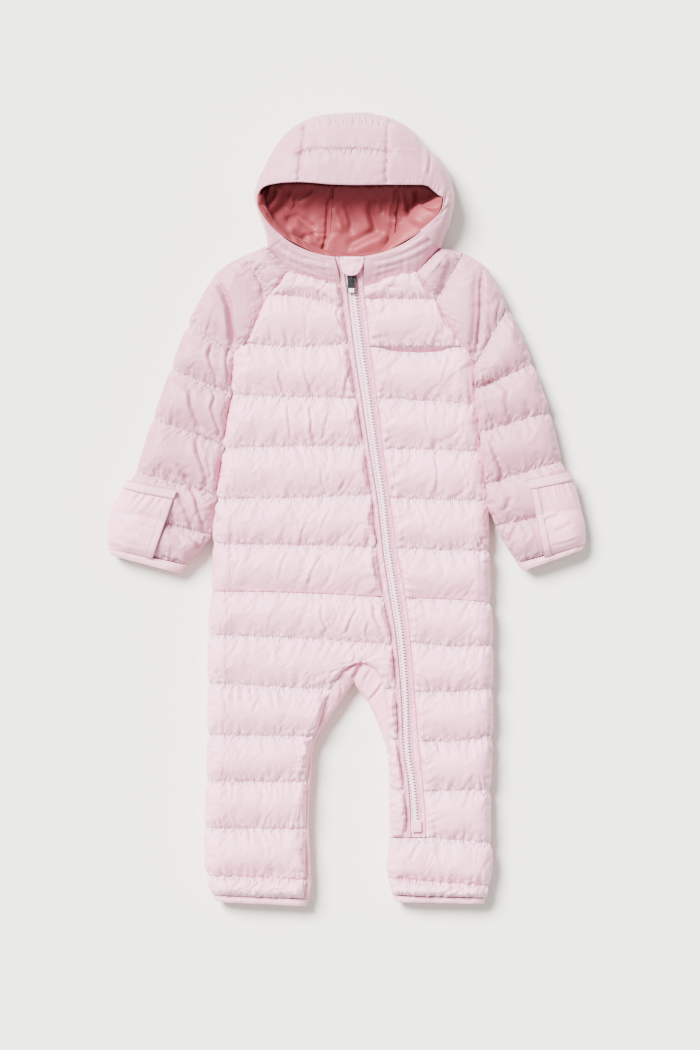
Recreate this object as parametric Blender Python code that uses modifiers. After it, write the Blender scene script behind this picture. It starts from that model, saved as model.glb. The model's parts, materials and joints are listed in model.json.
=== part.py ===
"""Baby snowsuit, laid flat and face up: quilted one-piece with a hood, raglan sleeves, a slanting
zip from the chin down the left leg, mitten flaps at the cuffs and a plain gusset round the crotch.

Plan positions are drafted on a sheet in millimetres, x to the right and y down the garment, and
place() turns them into the part's own frame: metres, +X to the right, +Y to the hood, +Z up from
the surface that the garment lies on. Sides are the wearer's, so the right sleeve has the small x.
"""

from collections import namedtuple
from math import cos, pi, sin, sqrt

import bmesh
import bpy
import numpy as np
from mathutils import Vector

MM = 0.001
COLLECTION = "BabySnowsuit"
DATUM_X, DATUM_Y = 346.6, 508.9  # middle of the garment's box on the drafting sheet
MERGE = 0.00001

# Heights above the surface, in mm.
MID = 15.0  # where the front panels lie on the back panels
GAP = 0.3
FRONT_LOW = MID + GAP / 2
BACK_HIGH = MID - GAP / 2
CREST = 17.0  # padded front panel at the middle of a channel, over FRONT_LOW
VALLEY = 8.0  # the same on a stitched line
SEAM_RISE = 8.5  # panel edge at a sewn seam
EDGE_RISE = 0.4  # panel edge where the garment rounds off
SEAM_ROLL = 7.0
EDGE_ROLL = 19.0
BACK_ROLL = 13.0  # the underside's round at the outline
GUSSET_ROLL = 11.0
WALL = 6.5  # padded wall of the hood and of a sleeve's outer fold

# Body side and raglan seam: one row for each section down the garment.
SideRow = namedtuple("SideRow", "y right_x left_x")
BODY_SIDES = [
    SideRow(269.5, 289.6, 415.8),
    SideRow(288.0, 274.9, 427.0),
    SideRow(303.0, 264.0, 437.0),
    SideRow(319.0, 256.2, 446.5),
    SideRow(335.0, 248.6, 456.0),
    SideRow(347.0, 240.4, 464.0),
    SideRow(355.0, 233.8, 469.2),
    SideRow(367.0, 232.0, 474.6),
    SideRow(380.0, 230.4, 475.0),
    SideRow(400.0, 228.7, 476.2),
    SideRow(425.0, 224.9, 479.0),
    SideRow(450.0, 221.5, 481.8),
    SideRow(475.0, 217.8, 485.0),
    SideRow(500.0, 214.4, 488.0),
    SideRow(530.0, 212.8, 488.8),
    SideRow(560.0, 213.0, 489.5),
    SideRow(591.0, 211.3, 490.2),
    SideRow(620.0, 208.9, 492.0),
    SideRow(650.0, 207.9, 493.0),
    SideRow(690.0, 207.9, 492.5),
    SideRow(735.0, 207.7, 492.6),
    SideRow(781.0, 206.4, 490.8),
    SideRow(828.0, 204.7, 490.4),
    SideRow(860.0, 204.8, 492.2),
    SideRow(881.0, 208.0, 490.3),
    SideRow(902.0, 215.0, 485.0),
]

# Inner leg: the outline and the seam that joins the gusset to the front.
InnerRow = namedtuple("InnerRow", "y right_x left_x")
INNER_LEGS = [
    InnerRow(682.3, 353.6, 353.6),
    InnerRow(688.0, 349.7, 357.0),
    InnerRow(701.0, 341.0, 367.4),
    InnerRow(714.0, 332.4, 373.7),
    InnerRow(731.0, 320.0, 380.4),
    InnerRow(750.0, 312.8, 386.7),
    InnerRow(774.0, 311.3, 388.9),
    InnerRow(800.0, 309.2, 388.9),
    InnerRow(838.0, 308.5, 389.4),
    InnerRow(867.0, 311.2, 386.4),
    InnerRow(881.0, 311.2, 389.0),
    InnerRow(902.0, 308.6, 394.4),
]
GUSSET_SEAMS = [
    InnerRow(662.0, 360.6, 361.6),
    InnerRow(663.5, 356.5, 366.0),
    InnerRow(666.5, 349.0, 371.5),
    InnerRow(672.0, 342.6, 376.8),
    InnerRow(680.0, 336.3, 381.6),
    InnerRow(690.0, 331.0, 384.8),
    InnerRow(703.0, 325.5, 386.8),
    InnerRow(715.0, 322.0, 387.4),
    InnerRow(729.0, 317.4, 387.8),
    InnerRow(744.0, 311.9, 388.6),
    InnerRow(760.0, 309.4, 390.0),
    InnerRow(800.0, 306.6, 391.0),
    InnerRow(838.0, 306.0, 391.4),
    InnerRow(881.0, 305.8, 391.4),
    InnerRow(902.0, 302.6, 391.4),
]

# Zip: edges of its two strips, the tape between them and the chain's middle.
ZipRow = namedtuple("ZipRow", "y strip_x tape_x chain_x left_x lift")
ZIP = [
    ZipRow(257.0, 333.8, 340.8, 348.0, 364.2, 11.0),
    ZipRow(270.0, 337.6, 343.8, 350.6, 364.0, 6.5),
    ZipRow(285.0, 340.5, 346.5, 353.0, 363.6, 2.4),
    ZipRow(305.0, 342.6, 348.8, 355.4, 365.8, 0.0),
    ZipRow(350.0, 348.0, 354.3, 361.3, 370.6, 0.0),
    ZipRow(400.0, 356.0, 361.8, 368.5, 377.5, 0.0),
    ZipRow(450.0, 363.7, 369.3, 375.3, 383.2, 0.0),
    ZipRow(500.0, 371.5, 377.4, 382.8, 390.2, 0.0),
    ZipRow(552.0, 376.4, 383.2, 388.4, 397.4, 0.0),
    ZipRow(600.0, 383.5, 390.4, 395.8, 406.0, 0.0),
    ZipRow(640.0, 391.3, 396.4, 401.5, 410.4, 0.0),
    ZipRow(701.0, 396.0, 401.5, 405.7, 415.3, 0.0),
    ZipRow(747.0, 398.0, 403.4, 407.0, 419.2, 0.0),
    ZipRow(787.0, 403.6, 409.0, 413.0, 423.4, 0.0),
    ZipRow(820.0, 406.2, 410.6, 415.6, 425.6, 0.0),
    ZipRow(838.0, 406.8, 411.2, 416.2, 426.2, 0.0),
]
ZIP_TOP, ZIP_END = 257.6, 836.6
ZIP_SECTIONS = list(np.linspace(261.0, 305.0, 8)) + list(np.linspace(325.0, 826.0, 22))
CHAIN_HALF = 2.8
STRIP_Z, STRIP_THICK, STRIP_CROWN = 24.6, 2.2, 0.6
TAPE_Z, TAPE_THICK = 22.6, 1.2
CHAIN_THICK = 2.0

# Quilted front panels: q counts the stitched lines, then the line's y at the side, middle and zip.
FrontRow = namedtuple("FrontRow", "q side_y mid_y zip_y")
RIGHT_UPPER = [
    FrontRow(0.0, 270.2, 278.0, 285.4),
    FrontRow(1.0, 295.0, 298.2, 309.0),
    FrontRow(2.0, 342.6, 347.2, 343.4),
    FrontRow(2.3, 356.0, 361.0, 359.0),
    FrontRow(3.0, 394.2, 397.4, 398.0),
    FrontRow(4.0, 448.4, 446.6, 446.6),
    FrontRow(5.0, 499.0, 498.0, 495.0),
    FrontRow(6.0, 544.0, 545.2, 547.0),
    FrontRow(7.0, 591.2, 592.4, 597.0),
]
RIGHT_SEAT = [
    FrontRow(0.0, 591.5, 592.7, 597.3),
    FrontRow(1.0, 635.0, 638.4, 645.0),
    FrontRow(1.5, 658.6, 661.0, 662.0),
]
LEFT_YOKE = [
    FrontRow(0.0, 271.9, 277.8, 286.8),
    FrontRow(1.0, 299.6, 299.0, 299.0),
    FrontRow(2.0, 347.0, 347.0, 347.0),
]
LEFT_UPPER = [
    FrontRow(0.0, 347.6, 352.6, 347.4),
    FrontRow(0.4, 367.4, 370.0, 366.6),
    FrontRow(1.0, 404.8, 401.2, 398.0),
    FrontRow(2.0, 452.0, 450.0, 449.0),
    FrontRow(3.0, 501.0, 500.0, 498.0),
    FrontRow(4.0, 550.4, 550.0, 548.0),
    FrontRow(5.0, 602.0, 598.8, 598.0),
]
LEFT_LOWER = [
    FrontRow(0.0, 602.3, 599.1, 598.3),
    FrontRow(1.0, 645.0, 646.0, 642.0),
    FrontRow(2.0, 689.0, 691.4, 691.4),
    FrontRow(3.0, 737.0, 741.0, 741.0),
    FrontRow(4.0, 790.0, 790.2, 791.0),
    FrontRow(5.0, 843.0, 839.6, 837.2),
]

BACK_WAIST_Y = 595.0
BACK_NECK_DIP = 15.0
CENTRE_BACK_X = 353.4

# Chest pocket: the ends of its slit, how far its lower lip sags and where its bag starts.
POCKET_LEFT, POCKET_RIGHT, POCKET_SAG, POCKET_TOP = 370.6, 464.0, 5.3, 347.1
POCKET_BAG_X = (380.0, 456.0)

# Neck seam of the front: one row for each point where its curve changes.
NeckRow = namedtuple("NeckRow", "x y")
NECK = [
    NeckRow(266.0, 246.2),
    NeckRow(277.7, 258.0),
    NeckRow(289.4, 269.8),
    NeckRow(298.0, 273.2),
    NeckRow(312.0, 277.0),
    NeckRow(340.6, 285.0),
    NeckRow(350.0, 287.0),
    NeckRow(360.0, 286.8),
    NeckRow(390.0, 277.2),
    NeckRow(402.0, 274.0),
    NeckRow(415.8, 271.6),
    NeckRow(428.6, 259.2),
    NeckRow(441.4, 246.8),
]

# Legs: the line's y at the outer side and at the inner edge, and the inner edge's rise.
LegRow = namedtuple("LegRow", "q side_y mid_y inner_y inner_rise")
RIGHT_LEG = [
    LegRow(1.5, 658.6, 661.0, 662.0, 10.5),
    LegRow(1.62, 664.0, 665.0, 664.2, 10.3),
    LegRow(1.75, 670.0, 671.0, 670.5, 10.0),
    LegRow(2.0, 683.0, 686.4, 689.4, 9.6),
    LegRow(3.0, 735.0, 735.6, 736.0, 6.0),
    LegRow(4.0, 781.0, 781.4, 781.6, 5.2),
    LegRow(5.0, 828.0, 828.4, 828.6, 5.2),
    LegRow(6.0, 875.0, 877.0, 879.0, 7.0),
    LegRow(7.0, 894.6, 896.6, 898.6, 7.0),
]
LEFT_ANKLE = [
    LegRow(5.0, 843.0, 839.6, 838.0, EDGE_RISE),
    LegRow(6.0, 885.0, 881.4, 878.0, EDGE_RISE),
    LegRow(7.0, 897.2, 896.1, 895.0, EDGE_RISE),
]

# Strip of the right front that runs on down the left leg, from the gusset to the zip.
BesideRow = namedtuple("BesideRow", "q inner_y zip_y inner_rise")
BESIDE_ZIP = [
    BesideRow(1.5, 662.0, 662.0, 10.5),
    BesideRow(1.62, 665.6, 667.0, 10.3),
    BesideRow(1.75, 673.0, 675.0, 10.0),
    BesideRow(2.0, 688.0, 689.4, 9.6),
    BesideRow(2.5, 711.0, 712.0, 8.4),
    BesideRow(3.0, 737.0, 739.0, 6.0),
    BesideRow(3.4, 755.0, 757.0, 4.5),
    BesideRow(4.0, 789.0, 790.0, EDGE_RISE),
    BesideRow(5.0, 837.0, 837.2, EDGE_RISE),
]
BESIDE_OUTLINE_Y = 756.0  # below this the strip's inner edge is the leg's outline
FORK_Y = 662.0  # where the seat divides into the leg and the strip

# Gusset: outline point and seam point of each section, from the right hem over the crotch.
GussetRow = namedtuple("GussetRow", "side outline_y seam_y")
GUSSET = [
    GussetRow("right_x", 898.4, 899.2),
    GussetRow("right_x", 881.0, 881.0),
    GussetRow("right_x", 852.0, 852.0),
    GussetRow("right_x", 820.0, 820.0),
    GussetRow("right_x", 790.0, 790.0),
    GussetRow("right_x", 765.0, 764.0),
    GussetRow("right_x", 748.0, 744.0),
    GussetRow("right_x", 733.0, 726.0),
    GussetRow("right_x", 719.0, 709.0),
    GussetRow("right_x", 706.0, 693.0),
    GussetRow("right_x", 696.0, 680.0),
    GussetRow("right_x", 688.0, 670.5),
    GussetRow("right_x", 684.0, 665.4),
    GussetRow("left_x", 682.4, 662.0),
    GussetRow("left_x", 686.0, 666.0),
    GussetRow("left_x", 692.0, 673.0),
    GussetRow("left_x", 700.0, 684.0),
    GussetRow("left_x", 710.0, 697.0),
    GussetRow("left_x", 722.0, 713.0),
    GussetRow("left_x", 735.0, 729.0),
    GussetRow("left_x", 746.0, 743.0),
    GussetRow("left_x", 754.0, 753.0),
]

# Sleeves: the stitched line's ends on the outer fold and on the seam or underarm.
SleeveRow = namedtuple("SleeveRow", "q outer_x outer_y inner_x inner_y")
RIGHT_SLEEVE = [
    SleeveRow(0.0, 265.8, 247.4, 288.9, 270.6),
    SleeveRow(1.0, 242.0, 256.5, 267.7, 296.8),
    SleeveRow(1.5, 217.8, 273.0, 250.0, 330.0),
    SleeveRow(2.0, 188.0, 325.0, 233.6, 355.6),
    SleeveRow(3.0, 171.0, 369.0, 228.8, 395.0),
    SleeveRow(4.0, 153.0, 419.0, 221.5, 446.0),
    SleeveRow(5.0, 135.4, 472.0, 213.8, 495.5),
    SleeveRow(5.5, 125.0, 492.0, 212.6, 516.0),
    SleeveRow(6.0, 113.4, 511.0, 211.4, 534.5),
    SleeveRow(6.5, 110.6, 529.0, 201.0, 549.0),
    SleeveRow(7.0, 110.0, 546.6, 187.0, 564.6),
]
LEFT_SLEEVE = [
    SleeveRow(0.0, 441.8, 247.8, 416.6, 272.6),
    SleeveRow(1.0, 464.0, 253.6, 437.0, 302.0),
    SleeveRow(1.5, 486.0, 268.4, 457.0, 338.0),
    SleeveRow(2.0, 508.0, 307.0, 474.9, 367.4),
    SleeveRow(3.0, 533.0, 364.0, 476.4, 390.0),
    SleeveRow(4.0, 549.6, 412.0, 480.2, 433.0),
    SleeveRow(5.0, 562.0, 461.0, 487.0, 485.0),
    SleeveRow(5.5, 572.4, 486.0, 489.6, 508.0),
    SleeveRow(6.0, 578.4, 509.0, 495.6, 526.0),
    SleeveRow(6.5, 582.4, 527.0, 505.6, 545.0),
    SleeveRow(7.0, 583.0, 543.0, 517.2, 562.8),
]
BindingRow = namedtuple("BindingRow", "outer_x outer_y inner_x inner_y")
RIGHT_CUFF = [BindingRow(107.6, 547.6, 187.8, 565.6), BindingRow(111.4, 555.4, 178.6, 573.0)]
LEFT_CUFF = [BindingRow(585.6, 544.0, 516.4, 563.8), BindingRow(582.8, 550.0, 523.8, 570.4)]
UNDERARM_Q = 2.0
UNDERARM_Y = {"right_x": 355.0, "left_x": 367.0}
SLEEVE_FREE_Y = 530.0  # above this the sleeve's inner edge lies along the body
FLAP_START, BAND_END, FLAP_SHARE, TAPE_SHARE = 5.2, 5.37, 0.475, 0.56
ON_SLEEVE = 1.0  # gap between a sleeve and the cloth that lies on it

# Hems: outer and inner ends of each binding's top and bottom edges.
HEM_SLIT = 5.0
RIGHT_HEM = [BindingRow(213.6, 895.2, 308.4, 899.4), BindingRow(216.0, 901.4, 306.8, 905.8)]
LEFT_HEM = [BindingRow(485.6, 898.0, 393.0, 895.8), BindingRow(484.4, 903.6, 395.0, 901.6)]
HEM_FULL, CUFF_FULL, CUFF_SLIT = 9.0, 8.5, 4.0

# Hood: rim point with its height, and the outline point, of each section round the opening.
HoodRow = namedtuple("HoodRow", "rim_x rim_y rim_z outer_x outer_y")
HOOD = [
    HoodRow(282.0, 237.0, 38.0, 267.0, 246.4),
    HoodRow(276.0, 232.0, 39.0, 266.0, 238.0),
    HoodRow(270.0, 226.0, 40.5, 263.5, 228.5),
    HoodRow(261.4, 213.5, 43.0, 258.0, 213.5),
    HoodRow(257.8, 202.0, 45.0, 255.0, 200.0),
    HoodRow(260.0, 192.5, 47.0, 257.4, 184.0),
    HoodRow(266.5, 187.2, 50.0, 265.5, 164.0),
    HoodRow(275.0, 185.2, 53.0, 276.5, 144.5),
    HoodRow(285.0, 184.2, 57.0, 290.5, 128.5),
    HoodRow(298.4, 183.9, 60.0, 307.5, 119.6),
    HoodRow(315.0, 184.9, 62.0, 323.0, 115.2),
    HoodRow(332.6, 186.4, 63.0, 339.0, 112.9),
    HoodRow(358.0, 187.0, 63.0, 362.0, 112.0),
    HoodRow(385.6, 186.6, 61.0, 388.3, 117.2),
    HoodRow(396.0, 186.6, 60.0, 402.0, 122.6),
    HoodRow(408.0, 186.5, 58.0, 414.0, 131.2),
    HoodRow(420.0, 186.4, 55.5, 427.0, 147.0),
    HoodRow(427.5, 187.6, 52.5, 439.0, 157.0),
    HoodRow(433.0, 191.8, 50.0, 447.4, 170.0),
    HoodRow(438.5, 196.4, 48.0, 452.4, 183.0),
    HoodRow(443.6, 200.4, 46.0, 455.0, 197.0),
    HoodRow(442.6, 208.0, 44.5, 453.6, 211.0),
    HoodRow(438.0, 216.8, 43.0, 449.6, 226.0),
    HoodRow(430.6, 223.8, 41.0, 444.4, 236.0),
    HoodRow(421.8, 230.8, 39.0, 441.0, 246.8),
]
HOOD_SEAM_RIGHT, HOOD_SEAM_LEFT = 9, 13  # rows of HOOD on the centre panel's seams
LINING_SEAM_RIGHT, LINING_SEAM_LEFT = 11, 14
HOOD_WIDEST_Z = 14.0
HOOD_TURN = 10.5  # how far the underside lies in from the outline
HOOD_SEAM_X = (303.0, 387.0)  # centre panel's sides, on the floor
LINING_SEAM_X = (327.0, 391.5)
HOOD_FLOOR_START, HOOD_FLOOR_END = 131.0, 271.0
LINING_GAP, LINING_THICK = 0.5, 1.2
HOOD_LINES = (0.42, 0.86)  # stitched lines, as shares of the way from the rim to the crown
HOOD_LINE_DEPTH, HOOD_LINE_WIDTH = 3.0, 0.1

# Collar: its rim at the hood's side, midway and at the zip, and where its side meets the neck seam.
CollarRow = namedtuple("CollarRow", "side_x side_y mid_x mid_y zip_y foot_x")
RIGHT_COLLAR = CollarRow(282.6, 237.6, 307.0, 251.2, 257.2, 267.8)
LEFT_COLLAR = CollarRow(421.2, 231.4, 396.0, 248.2, 257.0, 440.4)
COLLAR_RIM_Z = 36.0
COLLAR_SWELL = 3.0
COLLAR_DOWN = (0.0, 0.12, 0.4, 0.7, 0.92, 1.0)
COLLAR_ALONG = (0.0, 0.06, 0.16, 0.3, 0.42, 0.56, 0.72, 0.88, 1.0)
COLLAR_NECK_Y = 285.6

# Zip pull and slider, at the top of the chain.
HINGE_X, HINGE_Y, HINGE_Z = 351.4, 279.6, 32.6
PULL_WIDE, PULL_LONG, PULL_THICK = 7.6, 15.6, 1.6
GARAGE_X, GARAGE_HALF, GARAGE_NARROWS = 352.4, 12.0, 5.6
GARAGE_LONG, GARAGE_Z, GARAGE_THICK = 19.2, 37.8, 1.6
STOP_Z, STOP_THICK = 27.3, 1.5
STOP_SECTIONS, STOP_COLUMNS = (820.4, 826.0, 831.4), (410.8, 416.2, 421.4)
ZIP_TILT = 0.27  # slope of the chain over the collar


def place(x, y, z):
    """Drafting sheet position, in mm, as a point of the part, in metres."""
    return Vector(((x - DATUM_X) * MM, (DATUM_Y - y) * MM, z * MM))


def smooth(keys, values, at):
    """Monotone cubic curve through a table, so that an outline never overshoots its rows."""
    keys, values = np.asarray(keys, float), np.asarray(values, float)
    step = np.diff(keys)
    slope = np.diff(values) / step
    tangent = np.zeros(len(keys))
    tangent[0], tangent[-1] = slope[0], slope[-1]
    for i in range(1, len(keys) - 1):
        before, after = slope[i - 1], slope[i]
        if before * after > 0:
            weight_a = 2 * step[i] + step[i - 1]
            weight_b = step[i] + 2 * step[i - 1]
            tangent[i] = (weight_a + weight_b) / (weight_a / before + weight_b / after)
    i = int(np.clip(np.searchsorted(keys, at) - 1, 0, len(keys) - 2))
    u = np.clip((at - keys[i]) / step[i], 0.0, 1.0)
    return float(
        values[i] * (1 + 2 * u) * (1 - u) ** 2
        + step[i] * tangent[i] * u * (1 - u) ** 2
        + values[i + 1] * u * u * (3 - 2 * u)
        + step[i] * tangent[i + 1] * u * u * (u - 1)
    )


def column(table, key, name, at):
    """A table's named column, read between its rows."""
    return smooth([getattr(r, key) for r in table], [getattr(r, name) for r in table], at)


def puff(q):
    """How far a padded channel stands up between its stitched lines: 0 on a line, 1 midway."""
    u = q - np.floor(q + 1e-9)
    return 1.0 - abs(2.0 * min(max(u, 0.0), 1.0) - 1.0) ** 2.6


def stations(table, fractions):
    """Where sections are cut: each row's q, and fractions of the way on to the next row."""
    found = []
    for row, following in zip(table, table[1:]):
        span = following.q - row.q
        found += [row.q + span * f for f in (fractions if span > 0.6 else (0.0, 0.5))]
    return found + [table[-1].q]


QUILT = (0.0, 0.14, 0.5, 0.86)


def rounding(distance, radius):
    """Quarter-round: 0 at the edge, 1 from the radius inwards."""
    return sqrt(max(0.0, 1.0 - (1.0 - min(distance / radius, 1.0)) ** 2))


def rise_from_edge(distance, edge_rise, full):
    """Height of a padded panel at a distance from an edge of the given height."""
    soft = min(max(edge_rise / SEAM_RISE, 0.0), 1.0)
    radius = EDGE_ROLL + (SEAM_ROLL - EDGE_ROLL) * soft
    return edge_rise + (full - edge_rise) * rounding(distance, radius)


def shares(width, first_steps, last_steps, between):
    """Column positions across a panel: close steps at both edges, even ones between."""
    scale = min(1.0, 0.8 * width / (first_steps[-1] + last_steps[-1]))
    start = [d * scale for d in first_steps]
    end = [width - d * scale for d in reversed(last_steps)]
    middle = list(np.linspace(start[-1], end[0], between + 2)[1:-1])
    return start + middle + end


def across(first, middle_y, last, share):
    """Point on a stitched line: straight in x, with the y bent through the middle."""
    x = first[0] + (last[0] - first[0]) * share
    bend = middle_y - (first[1] + last[1]) / 2
    y = first[1] + (last[1] - first[1]) * share + 4 * bend * share * (1 - share)
    return x, y


def neck_y(x):
    return column(NECK, "x", "y", x)


def along_neck(row, q):
    """Section of a front's first channel, drawn onto the neck seam as q nears 0."""
    pull = max(0.0, 1.0 - q / 0.5)
    drawn = []
    for x, y, z in row:
        share = pull if q == 0.0 else pull * min(1.0, abs(x - row[0][0]) / 14.0)
        drawn.append((x, y + (neck_y(x) + GAP - y) * share, z))
    return drawn


SIDE_STEPS = (0.0, 2.0, 7.0, 14.0)
FOLD_STEPS = (0.0, 2.0, 6.5, 13.0)
SEAM_STEPS = (0.0, 2.5, 7.0)


def padded_row(first, middle_y, last, rises, q, steps, between):
    """One section of a padded front panel, as points on its outer face."""
    width = abs(last[0] - first[0])
    full = VALLEY + (CREST - VALLEY) * puff(q)
    row = []
    for d in shares(width, steps[0], steps[1], between):
        x, y = across(first, middle_y, last, d / width)
        z = min(rise_from_edge(d, rises[0], full), rise_from_edge(width - d, rises[1], full))
        row.append((x, y, FRONT_LOW + z))
    return row


def new_object(name, bm, material):
    """Object in the part's collection, from a finished bmesh."""
    bmesh.ops.recalc_face_normals(bm, faces=bm.faces)
    mesh = bpy.data.meshes.new(name)
    bm.to_mesh(mesh)
    bm.free()
    mesh.materials.append(material)
    mesh.shade_smooth()
    mesh.set_sharp_from_angle(angle=0.7)
    made = bpy.data.objects.new(name, mesh)
    bpy.data.collections[COLLECTION].objects.link(made)
    return made


def skin(bm, grids):
    """Faces through grids of drafted points. Grids that share points are joined there."""
    for grid in grids:
        verts = [[bm.verts.new(place(*point)) for point in row] for row in grid]
        for upper, lower in zip(verts, verts[1:]):
            for i in range(len(upper) - 1):
                bm.faces.new((upper[i], upper[i + 1], lower[i + 1], lower[i]))
    bmesh.ops.remove_doubles(bm, verts=bm.verts, dist=MERGE)


def panel(name, grids, level, material):
    """Panel with a shaped outer face and a plain inner face at one height."""
    bm = bmesh.new()
    skin(bm, grids)
    border = [edge for edge in bm.edges if edge.is_boundary]
    made = bmesh.ops.extrude_edge_only(bm, edges=border)["geom"]
    for vert in (item for item in made if isinstance(item, bmesh.types.BMVert)):
        vert.co.z = level * MM
    open_edges = [edge for edge in bm.edges if edge.is_boundary]
    bmesh.ops.edgeloop_fill(bm, edges=open_edges)
    return new_object(name, bm, material)


def shell(name, outer, inner, material):
    """Wall between two grids of points with the same rows and columns."""
    bm = bmesh.new()
    border = []
    for grid in (outer, inner):
        verts = [[bm.verts.new(place(*point)) for point in row] for row in grid]
        for upper, lower in zip(verts, verts[1:]):
            for i in range(len(upper) - 1):
                bm.faces.new((upper[i], upper[i + 1], lower[i + 1], lower[i]))
        right = [row[-1] for row in verts[1:-1]]
        left = [row[0] for row in reversed(verts[1:-1])]
        border.append(verts[0] + right + list(reversed(verts[-1])) + left)
    top, low = border
    for i in range(len(top)):
        j = (i + 1) % len(top)
        bm.faces.new((top[i], top[j], low[j], low[i]))
    return new_object(name, bm, material)


def loft(name, rings, material):
    """Closed body through rings of points, with flat ends."""
    bm = bmesh.new()
    verts = [[bm.verts.new(place(*point)) for point in ring] for ring in rings]
    for ring, following in zip(verts, verts[1:]):
        for i in range(len(ring)):
            j = (i + 1) % len(ring)
            bm.faces.new((ring[i], ring[j], following[j], following[i]))
    bm.faces.new(verts[0])
    bm.faces.new(verts[-1])
    return new_object(name, bm, material)


def side_x(side, y):
    """Body outline or raglan seam of a side ('right_x' or 'left_x')."""
    return column(BODY_SIDES, "y", side, y)


def inner_x(side, y):
    return column(INNER_LEGS, "y", side, y)


def gusset_x(side, y):
    return column(GUSSET_SEAMS, "y", side, y)


def zip_x(name, y):
    return column(ZIP, "y", name, y)


def front_grid(table, side, steps=(SIDE_STEPS, SEAM_STEPS), between=3, at_neck=False):
    """Outer face of a front panel between its side and the zip."""
    inwards = 1 if side == "right_x" else -1
    zip_edge = "strip_x" if side == "right_x" else "left_x"
    grid = []
    for q in stations(table, QUILT):
        side_y, mid_y, zip_y = (column(table, "q", n, q) for n in ("side_y", "mid_y", "zip_y"))
        underarm = UNDERARM_Y[side]
        side_rise = SEAM_RISE if side_y < underarm - 1 else EDGE_RISE
        first = (side_x(side, side_y) + inwards * GAP, side_y)
        last = (zip_x(zip_edge, zip_y) - inwards * GAP, zip_y)
        row = padded_row(first, mid_y, last, (side_rise, SEAM_RISE), q, steps, between)
        grid.append(along_neck(row, q) if at_neck else row)
    return grid


def leg_grid(table, side, fixed_shares=None):
    """Outer face of a leg front between its outer side and the gusset or inner outline."""
    inwards = 1 if side == "right_x" else -1
    grid = []
    for q in stations(table, QUILT):
        side_y, mid_y, in_y = (column(table, "q", n, q) for n in ("side_y", "mid_y", "inner_y"))
        rise = column(table, "q", "inner_rise", q)
        edge = gusset_x(side, in_y) if side == "right_x" else inner_x(side, in_y)
        first = (side_x(side, side_y) + inwards * GAP, side_y)
        last = (edge - inwards * GAP * 1.5, in_y)
        if fixed_shares is None:
            steps = (SIDE_STEPS, SEAM_STEPS)
            grid.append(padded_row(first, mid_y, last, (EDGE_RISE, rise), q, steps, 2))
            continue
        width = abs(last[0] - first[0])
        full = VALLEY + (CREST - VALLEY) * puff(q)
        row = []
        for share in fixed_shares:
            x, y = across(first, mid_y, last, share)
            near = min(share, 1 - share) * width
            row.append((x, y, FRONT_LOW + rise_from_edge(near, EDGE_RISE, full)))
        grid.append(row)
    return grid


def beside_zip_grid():
    """Outer face of the right front's strip, between the gusset and the zip."""
    grid = []
    for q in stations(BESIDE_ZIP, (0.0, 0.3, 0.6)):
        in_y, zip_y = (column(BESIDE_ZIP, "q", n, q) for n in ("inner_y", "zip_y"))
        rise = column(BESIDE_ZIP, "q", "inner_rise", q)
        edge = gusset_x("left_x", in_y)
        if in_y > BESIDE_OUTLINE_Y:
            edge = inner_x("left_x", in_y)
        first = (edge + GAP * 1.5, in_y)
        last = (zip_x("strip_x", zip_y) - GAP, zip_y)
        steps = ((0.0, 3.0, 8.0), (0.0, 3.0))
        mid_y = (in_y + zip_y) / 2
        grid.append(padded_row(first, mid_y, last, (rise, SEAM_RISE), q, steps, 0))
    return grid


def front_right_lower(material):
    """Right leg front, crotch and the strip beside the zip, in one piece."""
    leg = leg_grid(RIGHT_LEG, "right_x")
    strip = beside_zip_grid()
    strip[0][0] = leg[0][-1]
    fork = leg[0] + strip[0][1:]
    begin, finish = fork[0][0], fork[-1][0]
    seat = []
    for q in stations(RIGHT_SEAT, QUILT)[:-1]:
        side_y, mid_y, zip_y = (column(RIGHT_SEAT, "q", n, q) for n in ("side_y", "mid_y", "zip_y"))
        first = (side_x("right_x", side_y) + GAP, side_y)
        last = (zip_x("strip_x", zip_y) - GAP, zip_y)
        width = last[0] - first[0]
        full = VALLEY + (CREST - VALLEY) * puff(q)
        row = []
        for share in ((point[0] - begin) / (finish - begin) for point in fork):
            x, y = across(first, mid_y, last, share)
            z = min(
                rise_from_edge(share * width, EDGE_RISE, full),
                rise_from_edge((1 - share) * width, SEAM_RISE, full),
            )
            row.append((x, y, FRONT_LOW + z))
        seat.append(row)
    seat.append(fork)
    return panel("front_right_lower", [seat, leg, strip], FRONT_LOW, material)


def front_left_lower(material):
    """Left leg front: beside the zip above, the whole leg's width below it."""
    beside = front_grid(LEFT_LOWER, "left_x", between=2)
    side_end, zip_end = beside[-1][0], beside[-1][-1]
    inner_end = inner_x("left_x", zip_end[1]) + GAP
    width = side_end[0] - inner_end
    inner_part = [zip_end[0] + (inner_end - zip_end[0]) * f for f in (0.35, 0.7, 0.9, 1.0)]
    fixed = [(side_end[0] - p[0]) / width for p in beside[-1]]
    fixed += [(side_end[0] - x) / width for x in inner_part]
    ankle = leg_grid(LEFT_ANKLE, "left_x", fixed)
    top = list(beside[-1])
    for x in inner_part:
        near = x - inner_end
        top.append((x, zip_end[1] + 0.4, FRONT_LOW + rise_from_edge(near, EDGE_RISE, VALLEY)))
    ankle[0] = top
    return panel("front_left_lower", [beside, ankle], FRONT_LOW, material)


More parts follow.
